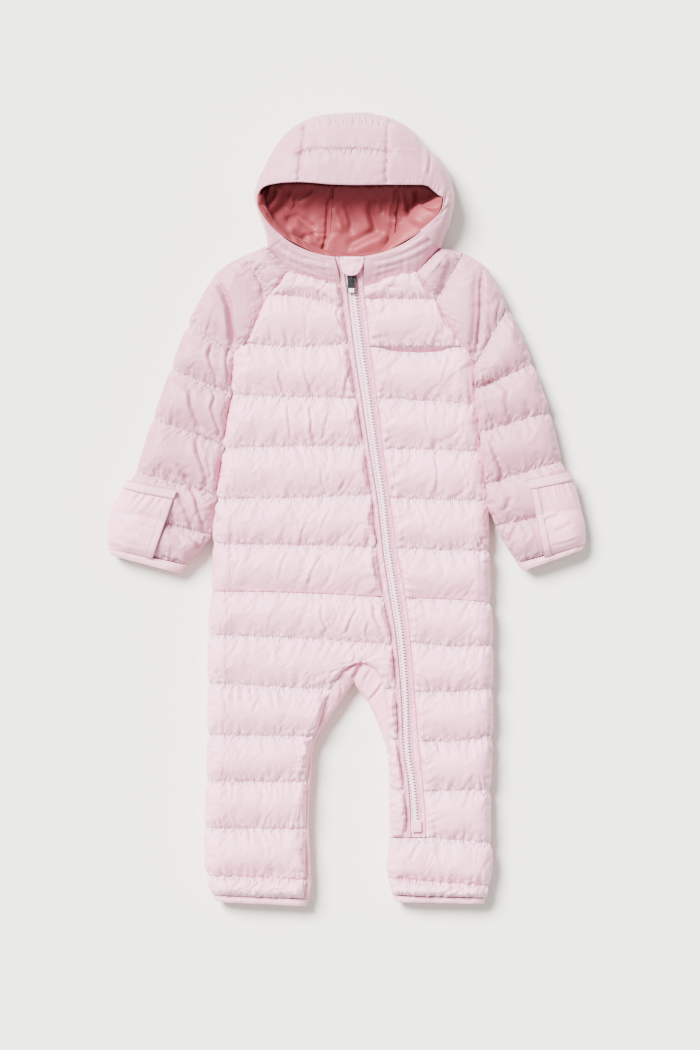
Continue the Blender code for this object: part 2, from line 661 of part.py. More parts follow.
def back_row(first, last, middle_y, rolls, columns_between=2):
    """One section of a back panel's underside: flat on the surface, rounded at the outline."""
    width = abs(last[0] - first[0])
    steps = (0.0, 1.5, 5.5, BACK_ROLL)
    row = []
    for d in shares(width, steps, steps, columns_between):
        x, y = across(first, middle_y, last, d / width)
        low = 0.0
        if rolls[0]:
            low = max(low, 1.0 - rounding(d, BACK_ROLL))
        if rolls[1]:
            low = max(low, 1.0 - rounding(width - d, BACK_ROLL))
        row.append((x, y, low * (BACK_HIGH - EDGE_RISE)))
    return row


def back_upper(material):
    grid = []
    top = BODY_SIDES[0].y + 1.0
    levels = [top] + [row.y for row in BODY_SIDES[1:] if row.y < BACK_WAIST_Y]
    levels.append(BACK_WAIST_Y - GAP)
    for y in levels:
        share = (y - top) / (BACK_WAIST_Y - top)
        rolls = (y > UNDERARM_Y["right_x"] + 1, y > UNDERARM_Y["left_x"] + 1)
        first = (side_x("right_x", y) + GAP, y)
        last = (side_x("left_x", y) - GAP, y)
        middle_y = y + BACK_NECK_DIP * (1 - share) ** 6
        grid.append(back_row(first, last, middle_y, rolls))
    return panel("back_upper", [grid], BACK_HIGH, material)


def back_lower(name, side, material):
    """Back of one leg, from the waist to the hem, with its share of the seat."""
    inwards = 1 if side == "right_x" else -1
    centre = CENTRE_BACK_X - inwards * GAP
    levels = list(np.linspace(BACK_WAIST_Y, FORK_Y - 1.0, 4))
    levels += [row.y for row in GUSSET_SEAMS if row.y < 750.0] + [754.6]
    levels += [row.y for row in BODY_SIDES if 757.0 < row.y < 890.0] + [894.4]
    grid = []
    for y in levels:
        first = (side_x(side, y) + inwards * GAP, y)
        if y < FORK_Y:
            edge = centre
        elif side == "left_x" and y > BESIDE_OUTLINE_Y:
            edge = inner_x(side, y) + GAP
        else:
            edge = gusset_x(side, y) - inwards * GAP * 1.5
        if side == "right_x":
            edge = min(edge, centre)
        rounds = side == "left_x" and y > BESIDE_OUTLINE_Y
        grid.append(back_row(first, (edge, y), y, (True, rounds)))
    return panel(name, [grid], BACK_HIGH, material)


def fold_ring(outer, inner, full, inner_rise, slit, steps_between, under_roll):
    """Section of a piece folded round its outer edge, with a slit between its two layers.

    It starts on the inner edge's top, goes over to the fold, back along the underside,
    and round the slit."""
    width = sqrt((inner[0] - outer[0]) ** 2 + (inner[1] - outer[1]) ** 2)
    scale = min(1.0, 0.45 * width / FOLD_STEPS[-1])
    near = [d * scale for d in FOLD_STEPS]
    cuts = near + list(np.linspace(near[-1], width - near[-1], steps_between + 2)[1:-1])
    cuts += [width - d for d in reversed(near)]

    def at(d, z):
        share = d / width
        x = outer[0] + (inner[0] - outer[0]) * share
        return x, outer[1] + (inner[1] - outer[1]) * share, z

    ring = []
    for d in reversed(cuts):
        z = min(rise_from_edge(d, 0.0, full), rise_from_edge(width - d, inner_rise, full))
        ring.append(at(d, (FRONT_LOW if d > 0 else MID) + z))
    for d in (near[1], near[3], width - near[3], width - near[1], width):
        low = 1.0 - rounding(d, near[3])
        if under_roll:
            low = max(low, 1.0 - rounding(width - d, near[3]))
        ring.append(at(d, low * (BACK_HIGH - EDGE_RISE)))
    slit_end = min(slit, width * 0.5)
    ring.append(at(width, BACK_HIGH))
    ring.append(at(slit_end, BACK_HIGH))
    ring.append(at(slit_end, FRONT_LOW))
    ring.append(at(width, FRONT_LOW))
    return ring


def sleeve_section(table, side, q):
    """Outer fold point, inner edge point and fullness of a sleeve at q."""
    outer = (column(table, "q", "outer_x", q), column(table, "q", "outer_y", q))
    inner_y = column(table, "q", "inner_y", q)
    inwards = 1 if side == "right_x" else -1
    x = column(table, "q", "inner_x", q)
    if inner_y < SLEEVE_FREE_Y:
        x = side_x(side, inner_y) - inwards * 2 * GAP
    full = VALLEY - 1.5 + (CREST - VALLEY) * puff(q)
    return outer, (x, inner_y), full


def sleeve_top(table, side, q, share):
    """Point and outward direction of a sleeve's top face, for what lies on it."""
    outer, inner, full = sleeve_section(table, side, q)
    width = sqrt((inner[0] - outer[0]) ** 2 + (inner[1] - outer[1]) ** 2)

    def height(d):
        rise = min(rise_from_edge(d, 0.0, full), rise_from_edge(width - d, EDGE_RISE, full))
        return FRONT_LOW + max(rise, 0.0)

    d = share * width
    x = outer[0] + (inner[0] - outer[0]) * share
    y = outer[1] + (inner[1] - outer[1]) * share
    slope = (height(d + 0.5) - height(max(d - 0.5, 0.0))) / (d + 0.5 - max(d - 0.5, 0.0))
    length = sqrt(1 + slope * slope)
    along = ((inner[0] - outer[0]) / width, (inner[1] - outer[1]) / width)
    out = (-slope / length * along[0], -slope / length * along[1], 1 / length)
    return np.array((x, y, height(d))), np.array(out)


def sleeve(name, table, side, material):
    rings = []
    for q in stations(table, QUILT):
        outer, inner, full = sleeve_section(table, side, q)
        open_side = q < UNDERARM_Q
        inner_rise = SEAM_RISE if open_side else EDGE_RISE
        rings.append(fold_ring(outer, inner, full, inner_rise, WALL, 2, not open_side))
    return loft(name, rings, material)


def sleeve_patch(name, table, side, q_values, share_values, low, high, material):
    """Cloth that lies on a sleeve: the sleeve's own points, moved out.

    Where share_values starts at 0 the cloth goes round the fold, by the sleeve's own steps."""
    faces = []
    for lift in (high, low):
        grid = []
        for q in q_values:
            outer, inner, _ = sleeve_section(table, side, q)
            width = sqrt((inner[0] - outer[0]) ** 2 + (inner[1] - outer[1]) ** 2)
            round_fold = [d / width for d in FOLD_STEPS] if share_values[0] == 0.0 else []
            row = []
            for share in round_fold + [s for s in share_values if s > 0.0]:
                point, out = sleeve_top(table, side, q, share)
                row.append(tuple(point + out * lift))
            grid.append(row)
        faces.append(grid)
    return shell(name, faces[0], faces[1], material)


def binding(name, table, full, slit, material):
    """Bound edge of a cuff or hem, as a short folded band."""
    rings = []
    for f in (0.0, 0.5, 1.0):
        ends = [a + (b - a) * f for a, b in zip(table[0], table[1])]
        swell = full * (0.86 + 0.14 * sin(pi * f))
        rings.append(fold_ring(ends[:2], ends[2:], swell, EDGE_RISE, slit, 2, True))
    return loft(name, rings, material)


def gusset(material):
    rings = []
    for row in GUSSET:
        outline = (inner_x(row.side, row.outline_y), row.outline_y)
        seam = (gusset_x(row.side, row.seam_y), row.seam_y)
        width = sqrt((seam[0] - outline[0]) ** 2 + (seam[1] - outline[1]) ** 2)
        short = 1.0 - 2 * GAP / width
        seam = tuple(a + (b - a) * short for a, b in zip(outline, seam))
        width *= short
        full = 3.6 + 6.4 * min(width / 18.0, 1.0)
        steps = [width * f for f in (1.0, 0.6, 0.25, 0.0)]

        def at(d, z, a=outline, b=seam, w=width):
            share = d / w
            return a[0] + (b[0] - a[0]) * share, a[1] + (b[1] - a[1]) * share, z

        ring = []
        for d in steps:
            z = full * rounding(d, max(width, 2.0))
            ring.append(at(d, (FRONT_LOW if d > 0 else MID) + z))
        for d in reversed(steps[:-1]):
            ring.append(at(d, (1.0 - rounding(d, GUSSET_ROLL)) * (BACK_HIGH - EDGE_RISE)))
        ring += [at(width, BACK_HIGH), at(width * 0.5, BACK_HIGH)]
        ring += [at(width * 0.5, FRONT_LOW), at(width, FRONT_LOW)]
        rings.append(ring)
    return loft("gusset", rings, material)


HOOD_SHARES = (0.0, 0.06, 0.2, 0.34, 0.42, 0.5, 0.66, 0.8, 0.9, 0.97, 1.0)
TURN_STEPS = (0.35, 0.7, 1.0)
FLOOR_STEPS = (0.35, 1.0)


def hood_path(row, floor_end, low, high, rim_low):
    """Section of the hood's wall: from the rim over to the outline, under it and along the floor.

    low and high are how far in from the outer face the wall starts and ends. rim_low is the
    inset at the rim, where the wall is thinner. Gives the points at 'low' and at 'high'."""
    reach = sqrt((row.outer_x - row.rim_x) ** 2 + (row.outer_y - row.rim_y) ** 2)
    unit = ((row.outer_x - row.rim_x) / reach, (row.outer_y - row.rim_y) / reach)
    rise = row.rim_z - HOOD_WIDEST_Z
    profile = []
    for share in HOOD_SHARES:
        z = HOOD_WIDEST_Z + rise * sqrt(max(0.0, 1 - share**2.4))
        if reach > 30:
            for line in HOOD_LINES:
                z -= HOOD_LINE_DEPTH * np.exp(-(((share - line) / HOOD_LINE_WIDTH) ** 2))
        profile.append((reach * share, z))
    for f in TURN_STEPS:
        angle = f * pi / 2
        r = reach - HOOD_TURN * (1 - cos(angle))
        profile.append((r, HOOD_WIDEST_Z * (1 - sin(angle))))
    profile = np.array(profile)
    tangent = np.gradient(profile, axis=0)
    tangent[-1] = (-1.0, 0.0)
    length = np.linalg.norm(tangent, axis=1)
    normal = np.stack([tangent[:, 1], -tangent[:, 0]], axis=1) / length[:, None]
    faces = []
    for inset, rim_inset in ((low, rim_low[0]), (high, rim_low[1])):
        path = []
        for i, (r, z) in enumerate(profile):
            depth = rim_inset + (inset - rim_inset) * min(i / 3.0, 1.0)
            r_in, z_in = r + normal[i][0] * depth, z + normal[i][1] * depth
            path.append((row.rim_x + unit[0] * r_in, row.rim_y + unit[1] * r_in, z_in))
        last = path[-1]
        for f in FLOOR_STEPS:
            x = last[0] + (floor_end[0] - last[0]) * f
            y = last[1] + (floor_end[1] - last[1]) * f
            path.append((x, y, inset))
        faces.append(path)
    return faces


def shifted(row, dx):
    return row._replace(rim_x=row.rim_x + dx, outer_x=row.outer_x + dx)


def floor_seam(row, end_x, y):
    """Where a seam of the hood's centre panel lies on the floor, at a given y."""
    reach = sqrt((row.outer_x - row.rim_x) ** 2 + (row.outer_y - row.rim_y) ** 2)
    share = (reach - HOOD_TURN) / reach
    start_x = row.rim_x + (row.outer_x - row.rim_x) * share
    start_y = row.rim_y + (row.outer_y - row.rim_y) * share
    return start_x + (end_x - start_x) * (y - start_y) / (HOOD_FLOOR_END - start_y)


def hood_wall(name, first, last, seam_xs, insets, rim_insets, material):
    """Panel of the hood or of its lining, through the sections from one row to another."""
    outer, inner = [], []
    centre = first >= min(HOOD_SEAM_RIGHT, LINING_SEAM_RIGHT) and last <= LINING_SEAM_LEFT
    for i in range(first, last + 1):
        dx = GAP if i == first and first > 0 else 0.0
        if i == last and last < len(HOOD) - 1:
            dx = -GAP
        row = shifted(HOOD[i], dx)
        if centre:
            share = (i - first) / (last - first)
            x = seam_xs[0] + GAP + (seam_xs[1] - seam_xs[0] - 2 * GAP) * share
            end = (x, HOOD_FLOOR_END)
        else:
            right = first == 0
            away = (last - i) / (last - first) if right else (i - first) / (last - first)
            y = HOOD_FLOOR_START + (HOOD_FLOOR_END - HOOD_FLOOR_START) * away**0.8
            seam_row, seam_x = (HOOD[last], seam_xs[0]) if right else (HOOD[first], seam_xs[1])
            end = (floor_seam(seam_row, seam_x, y) + (-GAP if right else GAP), y)
        outer_path, inner_path = hood_path(row, end, insets[0], insets[1], rim_insets)
        outer.append(outer_path)
        inner.append(inner_path)
    return shell(name, outer, inner, material)


def collar(name, rim, side, material):
    """Front of the collar, from its rim down to the neck seam."""
    zip_edge = "strip_x" if side == "right_x" else "left_x"
    inwards = 1 if side == "right_x" else -1
    rim_end = (zip_x(zip_edge, rim.zip_y) - inwards * GAP, rim.zip_y)
    foot_y = neck_y(rim.foot_x)
    neck_end_x = zip_x(zip_edge, COLLAR_NECK_Y) - inwards * GAP
    bend_x = rim.mid_x - (rim.side_x + rim_end[0]) / 2
    bend_y = rim.mid_y - (rim.side_y + rim_end[1]) / 2
    grid = []
    for v in COLLAR_DOWN:
        row = []
        for share in COLLAR_ALONG:
            bow = 4 * share * (1 - share)
            rim_x = rim.side_x + (rim_end[0] - rim.side_x) * share + bend_x * bow
            rim_y = rim.side_y + (rim_end[1] - rim.side_y) * share + bend_y * bow
            neck_x = rim.foot_x + (neck_end_x - rim.foot_x) * share
            low_y = neck_y(neck_x) - GAP if share > 0 else foot_y - GAP
            x, y = rim_x + (neck_x - rim_x) * v, rim_y + (low_y - rim_y) * v
            if share == 1.0:
                x = zip_x(zip_edge, y) - inwards * GAP
            neck_rise = EDGE_RISE + (SEAM_RISE + 2.0 - EDGE_RISE) * rounding(share, 0.3)
            rim_rise = COLLAR_RIM_Z - FRONT_LOW
            z = rim_rise + (neck_rise - rim_rise) * v**1.3
            row.append((x, y, FRONT_LOW + z + COLLAR_SWELL * sin(pi * v) * min(1.0, share * 4)))
        grid.append(row)
    return panel(name, [grid], FRONT_LOW, material)


def along_zip(name, left, right, top, thick, material, ends=(ZIP_TOP, ZIP_END), crown=0.0):
    """Band that follows the zip between two edges, each a column of ZIP and a shift."""
    outer, inner = [], []
    sections = [y for y in ZIP_SECTIONS if ends[0] < y < ends[1]]
    for y in [ends[0]] + sections + [ends[1]]:
        lift = column(ZIP, "y", "lift", y)
        a = zip_x(left[0], y) + left[1]
        b = zip_x(right[0], y) + right[1]
        xs = (a, (a + b) / 2, b)
        zs = (top - crown, top, top - crown)
        outer.append([(x, y, z + lift) for x, z in zip(xs, zs)])
        inner.append([(x, y, top - thick + lift) for x in xs])
    return shell(name, outer, inner, material)


def box(bm, centre, size):
    """Plain block in a bmesh, in mm about the hinge's frame."""
    made = bmesh.ops.create_cube(bm, size=1.0)["verts"]
    bmesh.ops.scale(bm, vec=[s * MM for s in size], verts=made)
    bmesh.ops.translate(bm, vec=[c * MM for c in centre], verts=made)
    return made


def block_object(name, centre, size, material, bevel=0.3):
    """Block with softened edges, centred at a place about the hinge."""
    bm = bmesh.new()
    box(bm, centre, size)
    made = new_object(name, bm, material)
    soften = made.modifiers.new("edges", "BEVEL")
    soften.width = bevel * MM
    soften.segments = 2
    return made


def join(target, others):
    """Boolean union of simple blocks into one body."""
    for other in others:
        union = target.modifiers.new(other.name, "BOOLEAN")
        union.operation = "UNION"
        union.object = other
        other.hide_render = True
        other.display_type = "WIRE"
        bpy.data.collections[COLLECTION].objects.unlink(other)
        bpy.data.collections["Cutters"].objects.link(other)


def cut(target, cutter):
    """Boolean difference that takes a hidden cutter out of a body."""
    take = target.modifiers.new(cutter.name, "BOOLEAN")
    take.operation = "DIFFERENCE"
    take.object = cutter
    cutter.hide_render = True
    cutter.display_type = "WIRE"
    bpy.data.collections[COLLECTION].objects.unlink(cutter)
    bpy.data.collections["Cutters"].objects.link(cutter)


def set_on_hinge(made):
    made.location = place(HINGE_X, HINGE_Y, HINGE_Z)
    made.rotation_euler = (ZIP_TILT, 0.0, 0.0)


def zip_slider(material):
    """Slider body under the garage, with the bridge that holds the pull."""
    body = block_object("zip_slider", (0.0, 4.6, -2.3), (8.6, 13.0, 1.9), material)
    legs = [
        block_object("bridge_front_leg", (0.0, -1.75, -0.5), (2.2, 0.9, 3.6), material, 0.1),
        block_object("bridge_back_leg", (0.0, 1.75, -0.5), (2.2, 0.9, 3.6), material, 0.1),
        block_object("bridge_top", (0.0, 0.0, 1.6), (2.2, 4.4, 0.9), material, 0.1),
    ]
    join(body, legs)
    for piece in [body] + legs:
        set_on_hinge(piece)
    return body


def zip_pull(material):
    """Pull tab: a bar on the hinge's axis, two side rails and a block at its end."""
    plate = block_object(
        "zip_pull", (0.0, -PULL_LONG / 2 + 0.8, 0.0), (PULL_WIDE, PULL_LONG, PULL_THICK), material
    )
    hole = block_object("pull_hole", (0.0, -4.9, 0.0), (4.4, 8.2, 4.0), material, 0.4)
    cut(plate, hole)
    for piece in (plate, hole):
        set_on_hinge(piece)
    return plate


def garage(material):
    """Chin guard: a small flap over the slider, curved along its lower edge."""
    outer, inner = [], []
    for v in (0.0, 0.3, 0.6, 0.85, 1.0):
        half = GARAGE_HALF - GARAGE_NARROWS * v**3
        row_out, row_in = [], []
        for u in (-1.0, -0.6, -0.2, 0.2, 0.6, 1.0):
            y = ZIP_TOP + (GARAGE_LONG - 1.8 * u * u) * v
            x = GARAGE_X - 1.4 * v + half * u
            z = GARAGE_Z - 0.4 * v - 1.6 * u * u * v
            row_out.append((x, y, z))
            row_in.append((x, y, z - GARAGE_THICK))
        outer.append(row_out)
        inner.append(row_in)
    return shell("zip_garage", outer, inner, material)


def zip_stop(material):
    outer, inner = [], []
    for y in STOP_SECTIONS:
        outer.append([(x, y, STOP_Z) for x in STOP_COLUMNS])
        inner.append([(x, y, STOP_Z - STOP_THICK) for x in STOP_COLUMNS])
    return shell("zip_stop", outer, inner, material)


def pocket_bag(material):
    """Cloth inside the chest pocket, seen through the slit's sagging lip."""
    outer, inner = [], []
    for x in np.linspace(*POCKET_BAG_X, 9):
        share = (x - POCKET_LEFT) / (POCKET_RIGHT - POCKET_LEFT)
        sag = 4 * POCKET_SAG * share * (1 - share)
        ys = (POCKET_TOP + 0.2, POCKET_TOP + 0.1 + sag / 2, POCKET_TOP + sag)
        outer.append([(x, y, FRONT_LOW + 2.0) for y in ys])
        inner.append([(x, y, FRONT_LOW + 0.4) for y in ys])
    return shell("pocket_bag", outer, inner, material)


def fabric(name, colour, roughness, metallic=0.0):
    made = bpy.data.materials.new(name)
    made.use_nodes = True
    shader = made.node_tree.nodes["Principled BSDF"]
    shader.inputs["Base Color"].default_value = (*colour, 1.0)
    shader.inputs["Roughness"].default_value = roughness
    shader.inputs["Metallic"].default_value = metallic
    return made


def start_scene():
    for old in list(bpy.data.objects):
        bpy.data.objects.remove(old)
    for name in (COLLECTION, "Cutters"):
        bpy.context.scene.collection.children.link(bpy.data.collections.new(name))
    bpy.data.collections["Cutters"].hide_render = True


def build_hood(shell_cloth, lining_cloth):
    seams, wall = HOOD_SEAM_X, (0.0, WALL)
    thin_rim = (0.0, 2.0)
    last = len(HOOD) - 1
    hood_wall("hood_side_right", 0, HOOD_SEAM_RIGHT, seams, wall, thin_rim, shell_cloth)
    hood_wall("hood_centre", HOOD_SEAM_RIGHT, HOOD_SEAM_LEFT, seams, wall, thin_rim, shell_cloth)
    hood_wall("hood_side_left", HOOD_SEAM_LEFT, last, seams, wall, thin_rim, shell_cloth)
    start = WALL + LINING_GAP
    wall = (start, start + LINING_THICK)
    thin_rim = (2.5, 3.6)
    seams = LINING_SEAM_X
    hood_wall("hood_lining_right", 0, LINING_SEAM_RIGHT, seams, wall, thin_rim, lining_cloth)
    hood_wall(
        "hood_lining_centre", LINING_SEAM_RIGHT, LINING_SEAM_LEFT, seams, wall, thin_rim, lining_cloth
    )
    hood_wall("hood_lining_left", LINING_SEAM_LEFT, last, seams, wall, thin_rim, lining_cloth)


def build_sleeves(shell_cloth, trim):
    sides = (
        ("right", RIGHT_SLEEVE, RIGHT_CUFF, "right_x"),
        ("left", LEFT_SLEEVE, LEFT_CUFF, "left_x"),
    )
    for word, table, cuff, side in sides:
        sleeve(f"sleeve_{word}", table, side, shell_cloth)
        binding(f"cuff_binding_{word}", cuff, CUFF_FULL, CUFF_SLIT, trim)
        flap_q = [BAND_END + 0.01, 5.5, 5.75, 6.0, 6.25, 6.5, 6.75, 6.98]
        flap_shares = (0.0, 0.32, FLAP_SHARE)
        band_q = (FLAP_START, 5.25, BAND_END)
        band_shares = (0.0, 0.32, FLAP_SHARE, TAPE_SHARE)
        tape_shares = (FLAP_SHARE + 0.005, (FLAP_SHARE + TAPE_SHARE) / 2, TAPE_SHARE)
        patches = (
            ("mitten_flap", flap_q, flap_shares, ON_SLEEVE, 2.7),
            ("mitten_band", band_q, band_shares, ON_SLEEVE, 3.7),
            ("mitten_tape", flap_q, tape_shares, ON_SLEEVE, 3.5),
        )
        for name, qs, share_values, low, high in patches:
            sleeve_patch(f"{name}_{word}", table, side, qs, share_values, low, high, trim)


def build_zip(shell_cloth, tape, metal):
    left, right = ("strip_x", 0.0), ("tape_x", 0.0)
    along_zip("zip_strip_right", left, right, STRIP_Z, STRIP_THICK, tape, crown=STRIP_CROWN)
    left, right = ("chain_x", 4.2), ("left_x", 0.0)
    along_zip("zip_strip_left", left, right, STRIP_Z, STRIP_THICK, tape, crown=STRIP_CROWN)
    along_zip("zip_tape", ("tape_x", 0.3), ("chain_x", 3.9), TAPE_Z, TAPE_THICK, tape)
    chain_low = TAPE_Z + 1.5 * GAP
    along_zip(
        "zip_chain",
        ("chain_x", -CHAIN_HALF),
        ("chain_x", CHAIN_HALF),
        chain_low + CHAIN_THICK,
        CHAIN_THICK,
        tape,
        ends=(ZIP_TOP + 12.0, ZIP_END - 10.0),
        crown=0.5,
    )
    zip_slider(metal)
    zip_pull(metal)
    garage(shell_cloth)
    zip_stop(tape)


def main():
    start_scene()
    shell_cloth = fabric("pink_shell", (0.84, 0.72, 0.76), 0.5)
    trim = fabric("pink_trim", (0.82, 0.68, 0.73), 0.6)
    lining_cloth = fabric("rose_lining", (0.60, 0.22, 0.25), 0.35)
    metal = fabric("dark_metal", (0.09, 0.09, 0.09), 0.35, 0.8)
    chest = front_grid(RIGHT_UPPER, "right_x", at_neck=True)
    panel("front_right_upper", [chest], FRONT_LOW, shell_cloth)
    yoke = front_grid(LEFT_YOKE, "left_x", between=2, at_neck=True)
    panel("front_left_yoke", [yoke], FRONT_LOW, shell_cloth)
    panel("front_left_upper", [front_grid(LEFT_UPPER, "left_x")], FRONT_LOW, shell_cloth)
    front_right_lower(shell_cloth)
    front_left_lower(shell_cloth)
    back_upper(shell_cloth)
    back_lower("back_lower_right", "right_x", shell_cloth)
    back_lower("back_lower_left", "left_x", shell_cloth)
    gusset(shell_cloth)
    build_sleeves(shell_cloth, trim)
    binding("hem_binding_right", RIGHT_HEM, HEM_FULL, HEM_SLIT, trim)
    binding("hem_binding_left", LEFT_HEM, HEM_FULL, HEM_SLIT, trim)
    build_hood(shell_cloth, lining_cloth)
    collar("collar_right", RIGHT_COLLAR, "right_x", shell_cloth)
    collar("collar_left", LEFT_COLLAR, "left_x", shell_cloth)
    build_zip(shell_cloth, trim, metal)
    pocket_bag(lining_cloth)


main()
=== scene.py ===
"""Soft surfaces and finishes of a baby snowsuit laid flat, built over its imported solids.

Plan positions are drafted in millimetres, x to the right and y down the garment, and heights are
millimetres above the floor. Sides are the wearer's, so the right sleeve has the small x.
"""

import json
import logging
import math
from dataclasses import dataclass, field, replace
from enum import Enum
from typing import Callable, Iterable, Mapping, Sequence

import bpy
import numpy as np
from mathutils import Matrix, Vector

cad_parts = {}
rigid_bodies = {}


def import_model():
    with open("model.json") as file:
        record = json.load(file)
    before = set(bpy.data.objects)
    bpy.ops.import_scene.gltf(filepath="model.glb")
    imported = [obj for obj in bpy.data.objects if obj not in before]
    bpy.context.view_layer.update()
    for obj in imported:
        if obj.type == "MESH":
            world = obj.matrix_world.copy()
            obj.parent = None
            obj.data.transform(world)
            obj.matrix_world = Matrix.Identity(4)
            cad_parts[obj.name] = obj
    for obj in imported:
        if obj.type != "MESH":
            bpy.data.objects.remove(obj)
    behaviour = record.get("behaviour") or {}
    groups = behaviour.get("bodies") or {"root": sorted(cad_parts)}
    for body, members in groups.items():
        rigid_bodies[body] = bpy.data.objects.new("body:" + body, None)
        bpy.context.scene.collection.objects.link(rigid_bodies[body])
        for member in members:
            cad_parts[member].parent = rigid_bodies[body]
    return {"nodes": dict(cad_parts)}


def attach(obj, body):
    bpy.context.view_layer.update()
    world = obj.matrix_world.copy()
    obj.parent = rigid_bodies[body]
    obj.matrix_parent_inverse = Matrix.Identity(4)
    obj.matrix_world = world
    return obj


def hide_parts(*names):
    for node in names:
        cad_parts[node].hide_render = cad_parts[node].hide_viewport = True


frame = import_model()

Array = np.ndarray
Point = tuple[float, float]
Colour = tuple[float, float, float]
log = logging.getLogger("snowsuit")

MM = 0.001
DATUM_X, DATUM_Y = 346.6, 508.9
BODY = "garment"
FINE = 1.2  # spacing of a finished cloth surface
WELD = 0.02  # points closer than this are joined
FAR = 90.0  # distance written where no stitching is near
ON_LINE = 0.4  # cloth this close to a stitched line is held by it

MID, GAP = 15.0, 0.05  # level of every fold, and the clearance between pieces
FRONT_LOW, BACK_HIGH = 15.15, 14.85  # levels where the front and the back meet
CREST, VALLEY, SEAM_RISE, EDGE_RISE = 17.0, 8.0, 8.5, 0.4  # heights over the front's foot
SEAM_ROLL, EDGE_ROLL, BACK_ROLL = 7.0, 19.0, 13.0  # radii of the padding's rounded edges
LEAST_CUT, LEAST_SHARE = 0.0101, 0.301  # smallest side in metres and share of it in a sheet


class Curve:
    """Monotone cubic curve through the rows of a table."""

    def __init__(self, keys: Sequence[float], values: Sequence[float]) -> None:
        """Find the slope at each row.

        Args:
            keys: place of each row, rising.
            values: value at each row.
        """
        self.keys = np.asarray(keys, float)
        self.values = np.asarray(values, float)
        self.step = np.diff(self.keys)
        slope = np.diff(self.values) / self.step
        self.slopes = np.concatenate(([slope[0]], np.zeros(len(slope) - 1), [slope[-1]]))
        for i in range(1, len(slope)):
            before, after = slope[i - 1], slope[i]
            if before * after > 0:
                wide = 2 * self.step[i] + self.step[i - 1]
                near = self.step[i] + 2 * self.step[i - 1]
                self.slopes[i] = (wide + near) / (wide / before + near / after)

    def __call__(self, at: Array | float) -> Array:
        """Value of the curve.

        Args:
            at: keys to read it at.

        Returns:
            The values there.
        """
        at = np.asarray(at, float)
        i = np.clip(np.searchsorted(self.keys, at) - 1, 0, len(self.keys) - 2)
        u = ramp((at - self.keys[i]) / self.step[i])
        start, end = self.values[i], self.values[i + 1]
        lean_in, lean_out = self.slopes[i] * self.step[i], self.slopes[i + 1] * self.step[i]
        return (
            start * (1 + 2 * u) * (1 - u) ** 2
            + lean_in * u * (1 - u) ** 2
            + end * u * u * (3 - 2 * u)
            + lean_out * u * u * (u - 1)
        )


class Table:
    """Named columns, each read as a curve over the first one."""

    def __init__(self, names: str, rows: Sequence[Sequence[float]]) -> None:
        """Take the column names, in one string, and the rows.

        Args:
            names: column names, the first for the places.
            rows: values of each row.
        """
        columns = list(zip(*rows))
        self.key = np.array(columns[0], float)
        self.curves = {n: Curve(columns[0], c) for n, c in zip(names.split(), columns)}

    def __getitem__(self, name: str) -> Curve:
        """Curve of a column."""
        return self.curves[name]


SIDES = Table(
    "y right left",
    [
        (269.5, 289.6, 415.8), (288, 274.9, 427), (303, 264, 437), (319, 256.2, 446.5),
        (335, 248.6, 456), (347, 240.4, 464), (355, 233.8, 469.2), (367, 232, 474.6),
        (380, 230.4, 475), (400, 228.7, 476.2), (425, 224.9, 479), (450, 221.5, 481.8),
        (475, 217.8, 485), (500, 214.4, 488), (530, 212.8, 488.8), (560, 213, 489.5),
        (591, 211.3, 490.2), (620, 208.9, 492), (650, 207.9, 493), (690, 207.9, 492.5),
        (735, 207.7, 492.6), (781, 206.4, 490.8), (828, 204.7, 490.4), (860, 204.8, 492.2),
        (881, 208, 490.3), (902, 215, 485),
    ],
)
INNER = Table(
    "y right left",
    [
        (682.3, 353.6, 353.6), (688, 349.7, 357), (701, 341, 367.4), (714, 332.4, 373.7),
        (731, 320, 380.4), (750, 312.8, 386.7), (774, 311.3, 388.9), (800, 309.2, 388.9),
        (838, 308.5, 389.4), (867, 311.2, 386.4), (881, 311.2, 389), (902, 308.6, 394.4),
    ],
)
GUSSET_SEAM = Table(
    "y right left",
    [
        (662, 360.6, 361.6), (663.5, 356.5, 366), (666.5, 349, 371.5), (672, 342.6, 376.8),
        (680, 336.3, 381.6), (690, 331, 384.8), (703, 325.5, 386.8), (715, 322, 387.4),
        (729, 317.4, 387.8), (744, 311.9, 388.6), (760, 309.4, 390), (800, 306.6, 391),
        (838, 306, 391.4), (881, 305.8, 391.4), (902, 302.6, 391.4),
    ],
)
ZIP = Table(
    "y strip tape chain left lift",
    [
        (257, 333.8, 340.8, 348, 364.2, 11), (270, 337.6, 343.8, 350.6, 364, 6.5),
        (285, 340.5, 346.5, 353, 363.6, 2.4), (305, 342.6, 348.8, 355.4, 365.8, 0),
        (350, 348, 354.3, 361.3, 370.6, 0), (400, 356, 361.8, 368.5, 377.5, 0),
        (450, 363.7, 369.3, 375.3, 383.2, 0), (500, 371.5, 377.4, 382.8, 390.2, 0),
        (552, 376.4, 383.2, 388.4, 397.4, 0), (600, 383.5, 390.4, 395.8, 406, 0),
        (640, 391.3, 396.4, 401.5, 410.4, 0), (701, 396, 401.5, 405.7, 415.3, 0),
        (747, 398, 403.4, 407, 419.2, 0), (787, 403.6, 409, 413, 423.4, 0),
        (820, 406.2, 410.6, 415.6, 425.6, 0), (838, 406.8, 411.2, 416.2, 426.2, 0),
    ],
)
NECK = Table(
    "x y",
    [
        (266, 246.2), (277.7, 258), (289.4, 269.8), (298, 273.2), (312, 277),
        (340.6, 285), (350, 287), (360, 286.8), (390, 277.2), (402, 274),
        (415.8, 271.6), (428.6, 259.2), (441.4, 246.8),
    ],
)
